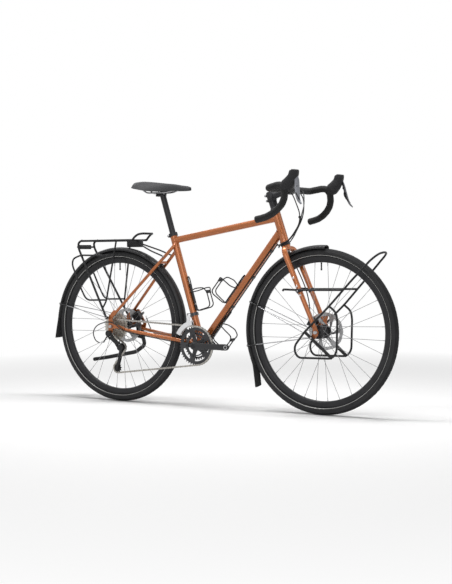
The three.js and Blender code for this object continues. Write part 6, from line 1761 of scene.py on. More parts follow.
    def stem(self) -> Shape:
        """Makes the stem with its clamps, cap and bolts.

        Returns:
            The stem: body and bolts are materials 0 and 1.
        """
        middle, top = P.clamp + S.stem_clamp / 2, P.clamp + S.stem_clamp
        clamp = [(14.7, 0), (18.9, 0), (19.5, 0.8), (19.5, 37.2), (18.9, 38), (14.7, 38)]
        shape = turned(clamp, P.steerer(P.clamp), P.steer_up, 40)
        path = np.array([P.steerer(middle, ahead) for ahead in (16, 45, S.stem_length - 14)])
        shape.add(sweep(path, [15.6, 14.2, 16.4], 32, flat=0.96, start=ACROSS))
        grip = [(16.3, -23), (20.4, -23), (21.1, -22.2), (21.1, 22.2), (20.4, 23), (16.3, 23)]
        shape.add(turned(grip, P.bar, ACROSS, 40))
        cap = [(0.5, 0), (17.2, 0), (17.5, 0.8), (16.4, 4.2), (14.6, 5), (0.5, 5)]
        shape.add(solid_turned(cap, P.steerer(top), P.steer_up, 36))
        shape.add(rod(P.steerer(top + 4.8), P.steerer(top + 4.8) + P.steer_up * 0.8, 4.6, 20), 1)
        for share in (-0.3, 0.3):
            at = P.steerer(middle + share * S.stem_clamp, -19.5)
            shape.add(crossbar(at, -13.6, 13.6, 5, 24))
            shape.add(crossbar(at, -13.7, -10, 3.3, 20), 1)
        for y in (-15, 15):
            for turn in (-62, 62):
                lean = math.radians(turn)
                out = P.steer_ahead * math.cos(lean) + P.steer_up * math.sin(lean)
                at = P.bar + out * 19.5 + vec(0, y, 0)
                shape.add(rod(at, at + out * 1.5, 3, 16), 1)
        return shape


# Seat


@dataclass
class Seat:
    """Seatpost, rails and saddle."""

    stations: Rows = (
        (0, 0.42, 0.9, 0.45), (0.06, 0.78, 0.97, 0.3), (0.18, 1, 1, 0.14), (0.3, 0.9, 0.94, -0.02),
        (0.42, 0.64, 0.85, -0.12), (0.55, 0.4, 0.76, -0.12), (0.7, 0.29, 0.66, -0.1),
        (0.85, 0.235, 0.48, -0.12), (0.95, 0.2, 0.33, -0.1), (1, 0.1, 0.2, -0.02),
    )
    rail_height: float = 953
    rail_rise: float = 27
    tail: float = 95
    length: float = 302
    half_width: float = 78
    height: float = 1007
    depth: float = 44

    def __post_init__(self) -> None:
        """Works out the post's top, its head and the ends of the rails."""
        top = P.seat_tube(698)
        self.top = top
        self.head = vec(top[0] - 10, 0, self.rail_height - self.rail_rise / 8)
        self.rear, self.front = self.head[0] - 68, self.head[0] + 46

    def saddle(self) -> Shape:
        """Makes the saddle: cover, groove and base.

        Each ring runs across as the sine of an angle. Its height falls from the middle with the 2.6th
        power of the way out, less a bell curve for the groove; the ends close as quarter circles.

        Returns:
            The saddle: cover and base are materials 0 and 1.
        """
        table = np.array(self.stations)
        share = np.concatenate([np.linspace(0, 0.1, 12), np.linspace(0.1, 0.9, 46)[1:],
                                np.linspace(0.9, 1, 12)[1:]])
        curve = catmull(table[:, :3], 16)
        edge = catmull([(a, d, 0) for a, _, _, d in table], 16)
        crown = np.interp(share, curve[:, 0], curve[:, 2])
        low = np.interp(share, edge[:, 0], edge[:, 1])
        end = np.sqrt(np.clip(1 - (1 - np.clip(share / 0.03, 0, 1)) ** 2, 0.04, 1))
        nose = np.sqrt(np.clip(1 - (1 - np.clip((1 - share) / 0.04, 0, 1)) ** 2, 0.05, 1))
        half = np.interp(share, curve[:, 0], curve[:, 1]) * end * nose * self.half_width
        across = np.sin(np.linspace(-np.pi / 2, np.pi / 2, 33))
        under = across[::-1][1:-1]
        base = self.height - self.depth
        top, bottom = base + self.depth * crown, base + self.depth * low
        fall = (top - bottom)[:, None]
        groove = np.exp(-(across * half[:, None] / 6.5) ** 2) * 2.6
        groove *= np.clip((share - 0.1) / 0.1, 0, 1)[:, None]
        height = top[:, None] - fall * np.abs(across)[None] ** 2.6
        height -= groove * np.clip((0.93 - share) / 0.1, 0, 1)[:, None]
        beneath = top[:, None] - fall * np.abs(under)[None] ** 2.6
        beneath = beneath - 14 * (1 - under[None] ** 4) * np.minimum(end, nose)[:, None]
        around = len(across) + len(under)
        x = np.broadcast_to(self.tail + self.length * share[:, None], (len(share), around))
        y = np.concatenate([across, under])[None] * half[:, None]
        rings = np.stack([x, y, np.concatenate([height, beneath], axis=1)], axis=2)
        return striped(grid(rings), [0] * len(across) + [1] * len(under))

    def rails(self) -> Shape:
        """Bends the saddle's two rails from one wire.

        Returns:
            The rails.
        """
        def run(y: float) -> list[np.ndarray]:
            """Lists the corners of one rail, from its rear end."""
            return [
                vec(self.rear - 22, y * 1.7, self.rail_height + self.rail_rise * 1.12),
                vec(self.rear, y, self.rail_height),
                vec(self.front, y, self.rail_height),
                vec(self.front + 46, y * 0.45, self.rail_height + self.rail_rise * 0.42),
            ]
        return sweep(rounded([*run(22), *run(-22)[::-1]], 20, 6), 3.5, 16)

    def post(self) -> Shape:
        """Makes the seatpost and its head.

        Returns:
            The post: metal and bolts are materials 0 and 1.
        """
        shape = rod(P.seat_tube(S.seat_tube - 170), self.top + P.seat_up * 2, 13.6, 40)
        head = self.head
        shape.add(box(head + vec(0, 0, -8.6), (38, 34, 9), soft=3))
        for y in (-22, 22):
            for z in (-5.2, 7.4):
                shape.add(box(vec(head[0], y, self.rail_height + z), (26, 8, 4.4), soft=1.6))
            shape.add(box(vec(head[0], y * 0.62, self.rail_height - 5), (30, 16, 5), soft=1.5))
            shape.add(box(vec(head[0], y * 0.62, self.rail_height + 7.6), (24, 18, 4), soft=1.5))
        for x in (-14, 14):
            at = head + vec(x, 0, -13)
            shape.add(rod(at + vec(0, 0, -0.4), at + vec(0, 0, 23), 3, 16), 1)
        return shape

    def build(self, stage: Stage) -> None:
        """Puts the seat in the scene.

        Args:
            stage: Where its pieces go.
        """
        stage.dress("seatpost", self.post(), Body.SEAT, Slot.BLACK_METAL, [Look.SATIN_BLACK, Look.BOLT])
        stage.dress("saddle_rails", self.rails(), Body.SEAT, Slot.BLACK_METAL, [Look.STEEL])
        saddle = stage.dress("saddle", self.saddle(), Body.SEAT, Slot.VINYL,
                             [Look.SADDLE, Look.BLACK_PLASTIC, Look.TAPE], sharp=70)


def cage_places() -> list[tuple[np.ndarray, np.ndarray, np.ndarray]]:
    """Lists where the bottle cages stand.

    Returns:
        For each cage, its foot on the tube's surface, the way along it and the way out.
    """
    down, lower = P.bracket + P.down_up * 285, P.bracket + P.down_up * 118
    return [
        (P.seat_tube(215, S.seat_tube_radius), P.seat_up, P.seat_ahead),
        (down + P.down_above * S.down_tube_radius, P.down_up, P.down_above),
        (lower - P.down_above * S.down_tube_radius, P.down_up, -P.down_above),
    ]


def polar(centre: np.ndarray, radius: float, degrees: float, y: float = 0) -> np.ndarray:
    """Finds a place by its distance and angle from a centre."""
    turn = math.radians(degrees)
    return vec(centre[0] + radius * math.cos(turn), y, centre[2] + radius * math.sin(turn))


def bolt(at: np.ndarray, axis: np.ndarray, radius: float, height: float, tint: int = 0) -> Shape:
    """Makes a bolt head with a hexagonal socket."""
    head = [(0.05, 0), (radius, 0), (radius, height * 0.75), (radius * 0.88, height), (radius * 0.56, height)]
    return solid_turned([*head, (radius * 0.5, height * 0.5), (0.05, height * 0.5)], at, axis, 18, tint)


@dataclass(frozen=True)
class GuardPlan:
    """One mudguard's numbers.

    Attributes:
        name: Its CAD node.
        body: The body that it rides on.
        centre: Centre of its wheel.
        span: Its first and last angle, in degrees.
        flap: Angle that its flap takes up.
        flare: How far the flap stands out at its end.
        eye: Where its stays are bolted.
        eye_y: How far out that is.
        stays: Angles at which the stays meet it.
    """

    name: str
    body: Body
    centre: np.ndarray
    span: tuple[float, float]
    flap: float
    flare: float
    eye: Spot
    eye_y: float
    stays: tuple[float, ...]


@dataclass
class Mudguard:
    """An arched guard with rolled edges, a flap, wire stays and their clips."""

    plan: GuardPlan
    RADIUS: float = 361.0
    HALF: float = 22.0
    SAG: float = 9.0
    SHEET: float = 2.0
    SKIRT: float = 6.0
    CLIP_RADIUS: float = 352.5
    CLIP_SIDE: float = 21.4
    SLEEVE: float = 46

    def section(self, thick: float, grow: float = 0) -> np.ndarray:
        """Draws the section across the guard.

        The height falls from the middle with the 2.3rd power of the way out, and the edges turn down.

        Args:
            thick: Its thickness.
            grow: How far it stands out beyond the sheet.

        Returns:
            Closed loop of distance left and height over the edge.
        """
        u = np.linspace(-1, 1, 17)
        rise = self.SAG * (1 - np.abs(u) ** 2.3) + grow
        half = self.HALF + grow
        top = np.stack([u * half, rise], axis=1)
        low = np.stack([u[::-1] * (half - thick * 0.6), rise[::-1] - thick], axis=1)
        bead = np.array([[half + 0.6, grow - self.SKIRT], [half - 1.0, grow - self.SKIRT - 1.2]])
        return np.vstack([top, bead, low, bead[::-1] * [-1, 1]])

    def shell(self, start: float, end: float, thick: float, grow: float, tint: int) -> Shape:
        """Sweeps the section round the wheel.

        Each point turns about the wheel's centre at the guard's radius plus its height; the flap flares
        with the 1.5th power of the angle past its start.

        Args:
            start: First angle in degrees.
            end: Last angle.
            thick: Its thickness.
            grow: How far it stands out beyond the sheet.
            tint: Material number.

        Returns:
            The shell.
        """
        p = self.plan
        outline = self.section(thick, grow)
        angles = np.linspace(start, end, max(int(abs(end - start) / 2), 6) + 1)
        past = np.clip((angles - (p.span[1] - p.flap)) / p.flap, 0, None)
        base = self.RADIUS - self.SAG + self.SHEET + p.flare * past**1.5
        turn = np.radians(angles)[:, None]
        reach = base[:, None] + outline[None, :, 1]
        rings = np.stack([
            p.centre[0] + reach * np.cos(turn),
            np.broadcast_to(outline[None, :, 0], reach.shape),
            p.centre[2] + reach * np.sin(turn),
        ], axis=2)
        return grid(rings, tint=tint)

    def stays(self) -> Shape:
        """Bends the wire stays and adds their clips and bolts.

        Returns:
            The stays: sleeves and wire are materials 0 and 1.
        """
        p, made = self.plan, Shape()
        for side in SIDES:
            eye = vec(p.eye[0], side * (p.eye_y + 3), p.eye[2])
            made.add(crossbar(eye, -side * 3, side * 3, 5.0, 20, tint=1))
            for angle in p.stays:
                clip = polar(p.centre, self.CLIP_RADIUS, angle, side * self.CLIP_SIDE)
                foot = eye + vec(0, side * 1.2, 0)
                away = unit(clip - foot)
                hook = clip + polar(vec(0, 0, 0), 5, angle)
                path = rounded([foot, clip - away * 8, clip, hook - vec(0, side * 2, 0)], 6, 4)
                made.add(sweep(path, 1.9, 10, tint=1))
                made.add(rod(clip - away * self.SLEEVE, clip - away * 9, 3.0, 14))
                made.add(box(clip + vec(0, side * 0.5, 0), (11, 5.5, 9), math.radians(angle), soft=1.4))
                made.add(bolt(clip + vec(0, side * 3, 0), vec(0, side, 0), 2.6, 1.6, 1))
        return made

    def seats(self, places: Sequence[tuple[float, float]]) -> Shape:
        """Adds the spacers between the guard and the frame.

        Args:
            places: Angle and length of each.

        Returns:
            The spacers.
        """
        made = Shape()
        for angle, reach in places:
            middle = polar(self.plan.centre, self.RADIUS + (reach - 2) / 2, angle)
            made.add(box(middle, (reach + 2, 19, 12.6), math.radians(angle), soft=1.5))
        return made

    def build(self, stage: Stage, seats: Sequence[tuple[float, float]]) -> None:
        """Makes the guard.

        Args:
            stage: The stage.
            seats: Angle and length of each spacer.
        """
        p = self.plan
        flap = p.span[1] - p.flap
        shape = self.shell(p.span[0], flap + 2, self.SHEET, 0, 0)
        shape.add(self.shell(flap - 3, p.span[1], self.SHEET, 0.35, 2))
        shape.add(self.stays()).add(self.seats(seats))
        looks = [Look.GUARD, Look.STEEL, Look.FLAP]
        stage.dress(p.name, shape, p.body, Slot.BLACK_PLASTIC, looks, sharp=46)


def placed(axle: np.ndarray, corners: Sequence[Sequence[float]], side: int) -> list[np.ndarray]:
    """Places corners that are counted forward, outward and up from an axle."""
    return [axle + vec(x, side * y, z) for x, y, z in corners]


def arched(axle: np.ndarray, side: Sequence[Sequence[float]], arch: Sequence[Sequence[float]]) -> Path:
    """Joins both sides of a hoop by a round arch.

    Args:
        axle: Where the corners are counted from.
        side: Corners from the foot to where the arch starts.
        arch: Points of half the arch, from there to the middle.

    Returns:
        The hoop's path.
    """
    right, left = (rounded(placed(axle, side, way), 20, 8) for way in SIDES)
    over = catmull([*placed(axle, arch, RIGHT), *placed(axle, arch[:-1], LEFT)[::-1]], 6)
    return np.vstack([right, over[1:], left[::-1][1:]])


@dataclass
class RearRack:
    """The pannier rack: hoop, struts, side loops, cross bars, block, stays and light plate."""

    ROD: float = 4.0
    EYE: Spot = (-17, 0, 388)
    DECK_HALF: float = 55
    DECK_HEIGHT: float = 742
    COLLAR: float = 4.6
    SIDE: Rows = (
        (-17, 86, 40), (-195, 60, 360), (-197, 58, 382), (-186, 56, 393), (112, 55, 394),
    )
    ARCH: Rows = (
        (112, 55, 394), (124, 54, 408), (140, 50, 419), (156, 38, 423), (163, 18, 423), (164, 0, 423),
    )
    STRUT: Rows = (
        (21, 55, 394), (-29, 70, 113), (-41, 82, 84),
    )
    LOOP: Rows = (
        (9, 58.7, 324), (-181, 66, 327), (-222, 68, 310), (-227, 68, 282), (-174, 70, 170),
        (-151, 70, 131), (-132, 70, 119), (-29, 70, 121),
    )

    def side(self, side: int) -> Shape:
        """Makes one side's rods, foot and frame stay.

        Args:
            side: Right or left.

        Returns:
            The rods.
        """
        made = sweep(rounded(placed(P.rear_axle, self.STRUT, side), 26, 8), self.ROD, 16)
        made.add(sweep(rounded(placed(P.rear_axle, self.LOOP, side), 22, 8), self.ROD, 16))
        made.add(crossbar(self.EYE, side * 80.1, side * 90.6, 6.5, 24))
        made.add(bolt(self.EYE + vec(0, side * 90.6, 0), vec(0, side, 0), 4.6, 2.6, 1))
        boss = between(*FrameSet.seatstay(side), FrameSet.BOSS) + vec(0, side * 10.8, 0)
        outside = boss + vec(0, side * 5, 0)
        made.add(rod(boss, outside, 5.0, 20, tint=1))
        front = P.rear_axle + vec(114.15, side * 8.4, 378)
        bend = between(outside, front, 0.45)
        bend[1] = outside[1]
        made.add(sweep(rounded([front, bend, outside], 14, 6), 3.4, 14))
        made.add(bolt(outside, vec(0, side, 0), 4.4, 2.2, 1))
        return made

    def build(self, stage: Stage) -> None:
        """Makes the rack.

        Args:
            stage: The stage.
        """
        shape = sweep(arched(P.rear_axle, self.SIDE, self.ARCH), 5.0, 20)
        for side in SIDES:
            shape.add(self.side(side))
        collar = [(3.6, -1.6), (5.6, -1.2), (5.6, 1.2), (3.6, 1.6)]
        for x in (-182, -90, 10, 108):
            shape.add(crossbar(vec(x, 0, self.DECK_HEIGHT), -self.DECK_HALF, self.DECK_HALF, self.ROD, 16))
            for side in SIDES:
                end = vec(x, side * (self.DECK_HALF - self.COLLAR), self.DECK_HEIGHT)
                shape.add(turned(collar, end, ACROSS, 16))
        shape.add(box(vec(86.5, 0, 726), (79, 24, 32), soft=3))
        plate_at = vec(-204, 0, 713)
        outline = softened([(-46, -10), (46, -10), (46, 10), (-46, 10)], 6)
        flat = plate(vec(0, 0, 0), outline, -1.5, 1.5, [circle(2.6, 16, (x, 0)) for x in (-40, 40)])
        shape.add(flat.moved(lambda p: plate_at + p[:, [1, 0, 2]]))
        shape.add(crossbar(plate_at + vec(3.4, 0, 0), -60, 60, self.ROD, 16))
        stage.dress("rear_rack", shape, Body.FRAME, Slot.BLACK_METAL, [Look.POWDER_BLACK, Look.BOLT],
                    sharp=42)


@dataclass
class Lowrider:
    """The low-rider rack on the fork."""

    SIDE: Rows = (
        (-45, 67, 3), (73, 69, 114), (166, 66, 213), (246, 54, 296),
    )
    ARCH: Rows = (
        (246, 54, 296), (266, 46, 314), (279, 32, 325), (285, 14, 329), (286, 0, 330),
    )
    LOOP: Rows = (
        (70, 69, 111), (101, 69, 87), (107, 69, 54), (103, 69, -78), (82, 69, -104), (-73, 69, -106),
        (-91, 69, -85), (-91, 69, -56), (-45, 67, 3),
    )
    RAIL: Rows = (
        (-146, 70, 170), (-143, 70, 178), (-75, 70, 176), (131, 70, 178),
    )
    ROD: float = 4.5
    EYE: Spot = (1030, 0, 326)

    def side(self, side: int) -> Shape:
        """Makes one side's loop, rail, strip, eyelet and blade clamp.

        Args:
            side: Right or left.

        Returns:
            The parts.
        """
        made = sweep(rounded(placed(P.front_axle, self.LOOP, side), 20, 8), self.ROD, 16)
        made.add(sweep(rounded(placed(P.front_axle, self.RAIL, side), 8, 6), self.ROD, 16, dome=True))
        high, low = placed(P.front_axle, [self.SIDE[0], self.LOOP[4]], side)
        run = low - high
        made.add(box((high + low) / 2, (float(np.linalg.norm(run)), 5, 13), math.atan2(run[2], run[0]),
                     soft=1.2))
        made.add(crossbar(self.EYE, side * 62.6, side * 71.5, 6.0, 22))
        made.add(bolt(self.EYE + vec(0, side * 71.5, 0), vec(0, side, 0), 4.4, 2.4, 1))
        grip = P.steerer(187, 28, side * 51.6)
        blade = Fork().blade(side)
        ring = [(9.6, -7), (12.6, -7), (13.2, -6.2), (13.2, 6.2), (12.6, 7), (9.6, 7)]
        made.add(turned(ring, grip, unit(blade[-1] - blade[-6]), 28))
        made.add(box(vec(grip[0], side * 67, grip[2]), (16, 12, 12), soft=2))
        made.add(bolt(vec(grip[0], side * 73, grip[2]), vec(0, side, 0), 3.6, 2.2, 1))
        return made

    def build(self, stage: Stage) -> None:
        """Makes the rack.

        Args:
            stage: The stage.
        """
        shape = sweep(arched(P.front_axle, self.SIDE, self.ARCH), self.ROD, 18)
        for side in SIDES:
            shape.add(self.side(side))
        stage.dress("lowrider_rack", shape, Body.FORK, Slot.BLACK_METAL, [Look.POWDER_BLACK, Look.BOLT],
                    sharp=42)


@dataclass
class BottleCage:
    """A cage on two bosses: strip, a wire up each side, a plastic clip and a tab."""

    node: str
    foot: np.ndarray
    along: np.ndarray
    outward: np.ndarray
    SIDE: Rows = (
        (0.04, 0, 0.15), (-0.02, 0.12, 0.2), (-0.03, 0.92, 0.34), (0.05, 1.08, 0.36), (0.5, 1.08, 0.34),
        (0.68, 1.04, 0.7), (0.73, 0.62, 1.02), (0.71, 0.16, 0.8), (0.7, 0, 0.16),
    )
    TAB: Rows = (
        (0.9, 0, 0.15), (1.2, 0, 0.16), (1.27, 0, 0.08), (1.27, 0, -0.08), (1.2, 0, -0.16),
        (0.9, 0, -0.15),
    )
    LENGTH: float = 124.0
    OUT: float = 76.0
    HALF: float = 40.6
    WIRE: float = 2.6

    def __post_init__(self) -> None:
        """Works out the middle of the strip and its tilt."""
        self.base = self.foot + self.outward * (3 + S.fit + 1.75)
        self.tilt = math.atan2(self.along[2], self.along[0])

    def at(self, share: Sequence[float], side: int = 1) -> np.ndarray:
        """Finds a place on the cage.

        Args:
            share: Shares of its length, depth and half width.
            side: Right or left.

        Returns:
            The place.
        """
        length, out, half = share
        place = self.base + self.along * (length - 0.5) * self.LENGTH + self.outward * out * self.OUT
        return vec(place[0], side * self.HALF * half, place[2])

    def build(self, stage: Stage) -> None:
        """Makes the cage.

        Args:
            stage: The stage.
        """
        shape = box(self.base, (self.LENGTH, 16, 3.4), self.tilt, soft=1.2)
        for side in SIDES:
            path = rounded([self.at(share, side) for share in self.SIDE], 11, 6)
            shape.add(sweep(path, self.WIRE, 14, dome=True))
        shape.add(sweep(rounded([self.at(share) for share in self.TAB], 7, 6), self.WIRE, 14, dome=True))
        shape.add(box(self.at((0.52, 1.08, 0)), (14, 33, 8.2), self.tilt, tint=2, soft=2.4))
        for share in (0.24, 0.76):
            head = self.at((share, 0.024, 0))
            shape.add(bolt(head, self.outward, 4.4, 2.4, 1))
        stage.dress(self.node, shape, Body.FRAME, Slot.BLACK_METAL,
                    [Look.POWDER_BLACK, Look.BOLT, Look.BLACK_PLASTIC], sharp=42)


@dataclass
class Kickstand:
    """The folded leg with its rubber foot."""

    PIVOT: Spot = (62, 87.1, 296)
    CORNERS: Rows = (
        (0, 0, 0), (13, 0, -40), (-40, 1, -75), (-84, 3, -83), (-209, 8, -107), (-298, 12, -121),
    )

    def build(self, stage: Stage) -> None:
        """Makes the leg.

        Args:
            stage: The stage.
        """
        path = rounded([self.PIVOT + vec(*corner) for corner in self.CORNERS], 18, 7)
        along = lengths(path)
        radii = np.interp(along, [0, 40, along[-1] - 60, along[-1]], [7.0, 6.6, 6.2, 5.6])
        shape = sweep(path, radii, 24, flat=1.45, start=ACROSS)
        ring = [(5.4, -7), (10.4, -7), (11, -6.2), (11, 6.2), (10.4, 7), (5.4, 7)]
        shape.add(turned(ring, self.PIVOT, ACROSS, 32))
        away = unit(path[-1] - path[-4])
        rubber = [(0.1, 1.2), (6.2, 1.2), (8.4, 0), (8.9, -3), (8.6, -22), (7.4, -27), (6.1, -27.4),
                  (0.1, -27.4)]
        shape.add(solid_turned(rubber, path[-1] - away * 1.4, away, 28, tint=1))
        stage.dress("kickstand_leg", shape, Body.KICKSTAND, Slot.BLACK_METAL, [Look.SATIN_BLACK, Look.HOOD],
                    sharp=42)


@dataclass
class Crankset:
    """Both crank arms, the spindle, the spider and its bolts."""

    STATIONS: Rows = (
        (-17, 0, 0.8), (-6.8, 0, 1.3), (10.2, 0.05, 1.3), (42.5, 0.4, 1.1), (119, 0.9, 0.98),
        (161.9, 1, 1.06), (176.75, 1, 1.0), (183.5, 1, 0.6),
    )
    OUT: float = 67
    BEND: float = 7
    HALF_THICK: float = 6.4
    HALF_WIDE: float = 13.3
    SPIDER_OUT: float = -46.7
    SPIDER_REACH: float = 53.2
    SPIDER_STATIONS: Rows = (
        (0, 12, 5), (0.35, 9.4, 3.2), (0.72, 8.6, 2.3), (0.9, 8.8, 2.1), (1, 5.6, 1.6),
    )

    def arm(self, side: int) -> Shape:
        """Forges one arm.

        The section is sine and cosine raised to 0.55. Its size and its way out follow the stations,
        evened by a running mean, and the ends close as quarter circles.

        Args:
            side: Right or left.

        Returns:
            The arm.
        """
        way = 1 if side == RIGHT else -1
        knots = np.array(self.STATIONS, dtype=float)
        at = np.linspace(knots[0, 0], knots[-1, 0], 60)
        flare = np.interp(at, knots[:, 0], knots[:, 1])
        smooth = np.convolve(np.pad(flare, 4, mode="edge"), np.ones(9) / 9, mode="valid")
        scale = np.interp(at, knots[:, 0], knots[:, 2])
        scale = np.convolve(np.pad(scale, 2, mode="edge"), np.ones(5) / 5, mode="valid")
        ends = np.clip(np.minimum(at - at[0], at[-1] - at) / 9, 0, 1)
        scale *= 0.35 + 0.65 * np.sqrt(1 - (1 - ends) ** 2)
        turn = np.linspace(0, 2 * np.pi, 28, endpoint=False)
        wide = np.sign(np.sin(turn)) * np.abs(np.sin(turn)) ** 0.55
        deep = np.sign(np.cos(turn)) * np.abs(np.cos(turn)) ** 0.55
        rings = np.empty((len(at), len(turn), 3))
        rings[:, :, 0] = P.bracket[0] + way * at[:, None]
        rings[:, :, 1] = side * (self.OUT + self.BEND * smooth[:, None] + self.HALF_THICK * deep[None, :])
        rings[:, :, 2] = P.bracket[2] + self.HALF_WIDE * scale[:, None] * wide[None, :]
        made = grid(rings)
        eye = P.bracket + vec(way * S.crank, side * (self.OUT + self.BEND), 0)
        made.add(turned([(6.6, -6.9), (8.4, -6.9), (8.4, 6.9), (6.6, 6.9)], eye, ACROSS, 32, [3] * 4))
        made.add(solid_turned([(0.1, -2), (6.7, -2), (6.7, 2), (0.1, 2)], eye, ACROSS, 32, tint=3))
        return made

    def bolt_cap(self, side: int) -> Shape:
        """Makes the bolt in the end of one arm.

        Args:
            side: Right or left.

        Returns:
            The bolt and the ring round it.
        """
        face = P.bracket + vec(0, side * 73.2, 0)
        ring = solid_turned([(0.1, 0), (10.4, 0), (10.4, 1.2), (9.6, 1.9), (8.2, 1.9), (7.6, 0.9),
                             (0.1, 0.9)],
                            face, vec(0, side, 0), 32, tint=1)
        return ring.add(bolt(face + vec(0, side * 0.8, 0), vec(0, side, 0), 5.6, 1.6, 1))

    def build(self, stage: Stage) -> None:
        """Makes both cranks.

        Args:
            stage: The stage.
        """
        boss = [(9, 41.3), (14.4, 41.3), (16.6, 44), (17, 62), (9, 62)]
        right = self.arm(RIGHT).add(self.bolt_cap(RIGHT))
        right.add(turned([(r, -y) for r, y in boss], P.bracket, ACROSS, 40))
        right.add(rod(P.bracket + vec(0, -67, 0), P.bracket + vec(0, 60.5, 0), 12.0, 32, tint=1))
        for index in range(Chainring.BOLTS):
            angle = 360 / Chainring.BOLTS * (index + 0.5)
            inner = polar(P.bracket, 14, angle, self.SPIDER_OUT)
            outer = polar(P.bracket, self.SPIDER_REACH, angle, self.SPIDER_OUT)
            side = unit(np.cross(outer - inner, ACROSS))
            rings = []
            for share, wide, thick in self.SPIDER_STATIONS:
                here = between(inner, outer, share)
                loop = softened([(-wide, -thick), (wide, -thick), (wide, thick), (-wide, thick)], 1.1, 3)
                rings.append([here + side * u + vec(0, v, 0) for u, v in loop])
            right.add(grid(np.array(rings)))
            head = polar(P.bracket, Chainring.BOLT_CIRCLE, angle)
            right.add(bolt(head + vec(0, -49.2, 0), vec(0, -1, 0), 4.9, 3.4, 1))
            right.add(crossbar(head, -49.4, -42.1, 4.6, 20, tint=1))
        left = self.arm(LEFT).add(self.bolt_cap(LEFT))
        left.add(turned([(12.3, 42), *boss[1:4], (12.3, 62)], P.bracket, ACROSS, 40))
        # Material 2 is the painted shade finish for bores; no face of the cranks uses it.
        looks = [Look.CRANK, Look.DARK_BOLT, Look.INNER, Look.BRIGHT]
        stage.dress("crank_right", right, Body.CRANK, Slot.BLACK_METAL, looks, sharp=48)
        stage.dress("crank_left", left, Body.CRANK, Slot.BLACK_METAL, looks, sharp=48)


def pitch_radius(teeth: int) -> float:
    """Finds the radius at which a chain runs round a wheel."""
    return teeth * CHAIN_PITCH / (2 * math.pi)


@dataclass
class Chainring:
    """A toothed ring: a slim band, windows, and tabs that reach in to the spider."""

    node: str
    teeth: int
    band: float
    phase: float
    BORE: float = 40.5
    BOLT_CIRCLE: float = 47.0
    BOLTS: int = 5
    THICK: float = 3.0

    def __post_init__(self) -> None:
        """Reads the ring's plane from the box of its CAD node."""
        low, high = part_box(self.node)
        self.plane = (low[1] + high[1]) / 2 / MM

    def rim(self) -> np.ndarray:
        """Draws the teeth: root, flank, tip, tip and flank for each.

        Returns:
            The outline round the crank's axis.
        """
        steps = np.array([(0.0, -4.2), (0.2, -3.6), (0.34, -0.6), (0.44, 3.1), (0.56, 3.1), (0.66, -0.6),
                          (0.8, -3.6)])
        turn = self.phase + (np.arange(self.teeth)[:, None] + steps[None, :, 0]) * 2 * np.pi / self.teeth
        radius = np.broadcast_to(pitch_radius(self.teeth) + steps[None, :, 1], turn.shape)
        return np.stack([(radius * np.cos(turn)).ravel(), (radius * np.sin(turn)).ravel()], axis=1)

    def window(self, index: int, low: float, high: float, reach: float) -> np.ndarray:
        """Draws one window between two tabs.

        Args:
            index: Which window.
            low: Its inner radius.
            high: Its outer radius.
            reach: Half the angle that it takes up, in degrees.

        Returns:
            Its outline.
        """
        middle = 360 / self.BOLTS * (index + 1)
        outer = np.radians(np.linspace(middle - reach, middle + reach, 9))
        inner = np.radians(np.linspace(middle + reach * 0.86, middle - reach * 0.86, 9))
        turn = np.concatenate([outer, inner])
        radius = np.concatenate([np.full(9, high), np.full(9, low)])
        return softened(np.stack([radius * np.cos(turn), radius * np.sin(turn)], axis=1), 2.2, 2)

    def build(self, stage: Stage) -> None:
        """Makes the ring.

        Args:
            stage: The stage.
        """
        low = self.BORE + 5.2
        if self.band - low > 3:
            windows = [self.window(index, low, self.band, 24) for index in range(self.BOLTS)]
            holes = [circle(self.BORE, 64), *windows]
        else:
            holes = [circle(self.band, 64)]
        shape = plate(P.bracket, self.rim(), self.plane - self.THICK / 2, self.plane + self.THICK / 2, holes)
        stage.dress(self.node, shape, Body.CRANK, Slot.SILVER, [Look.RING], sharp=40, bevel=0.25)


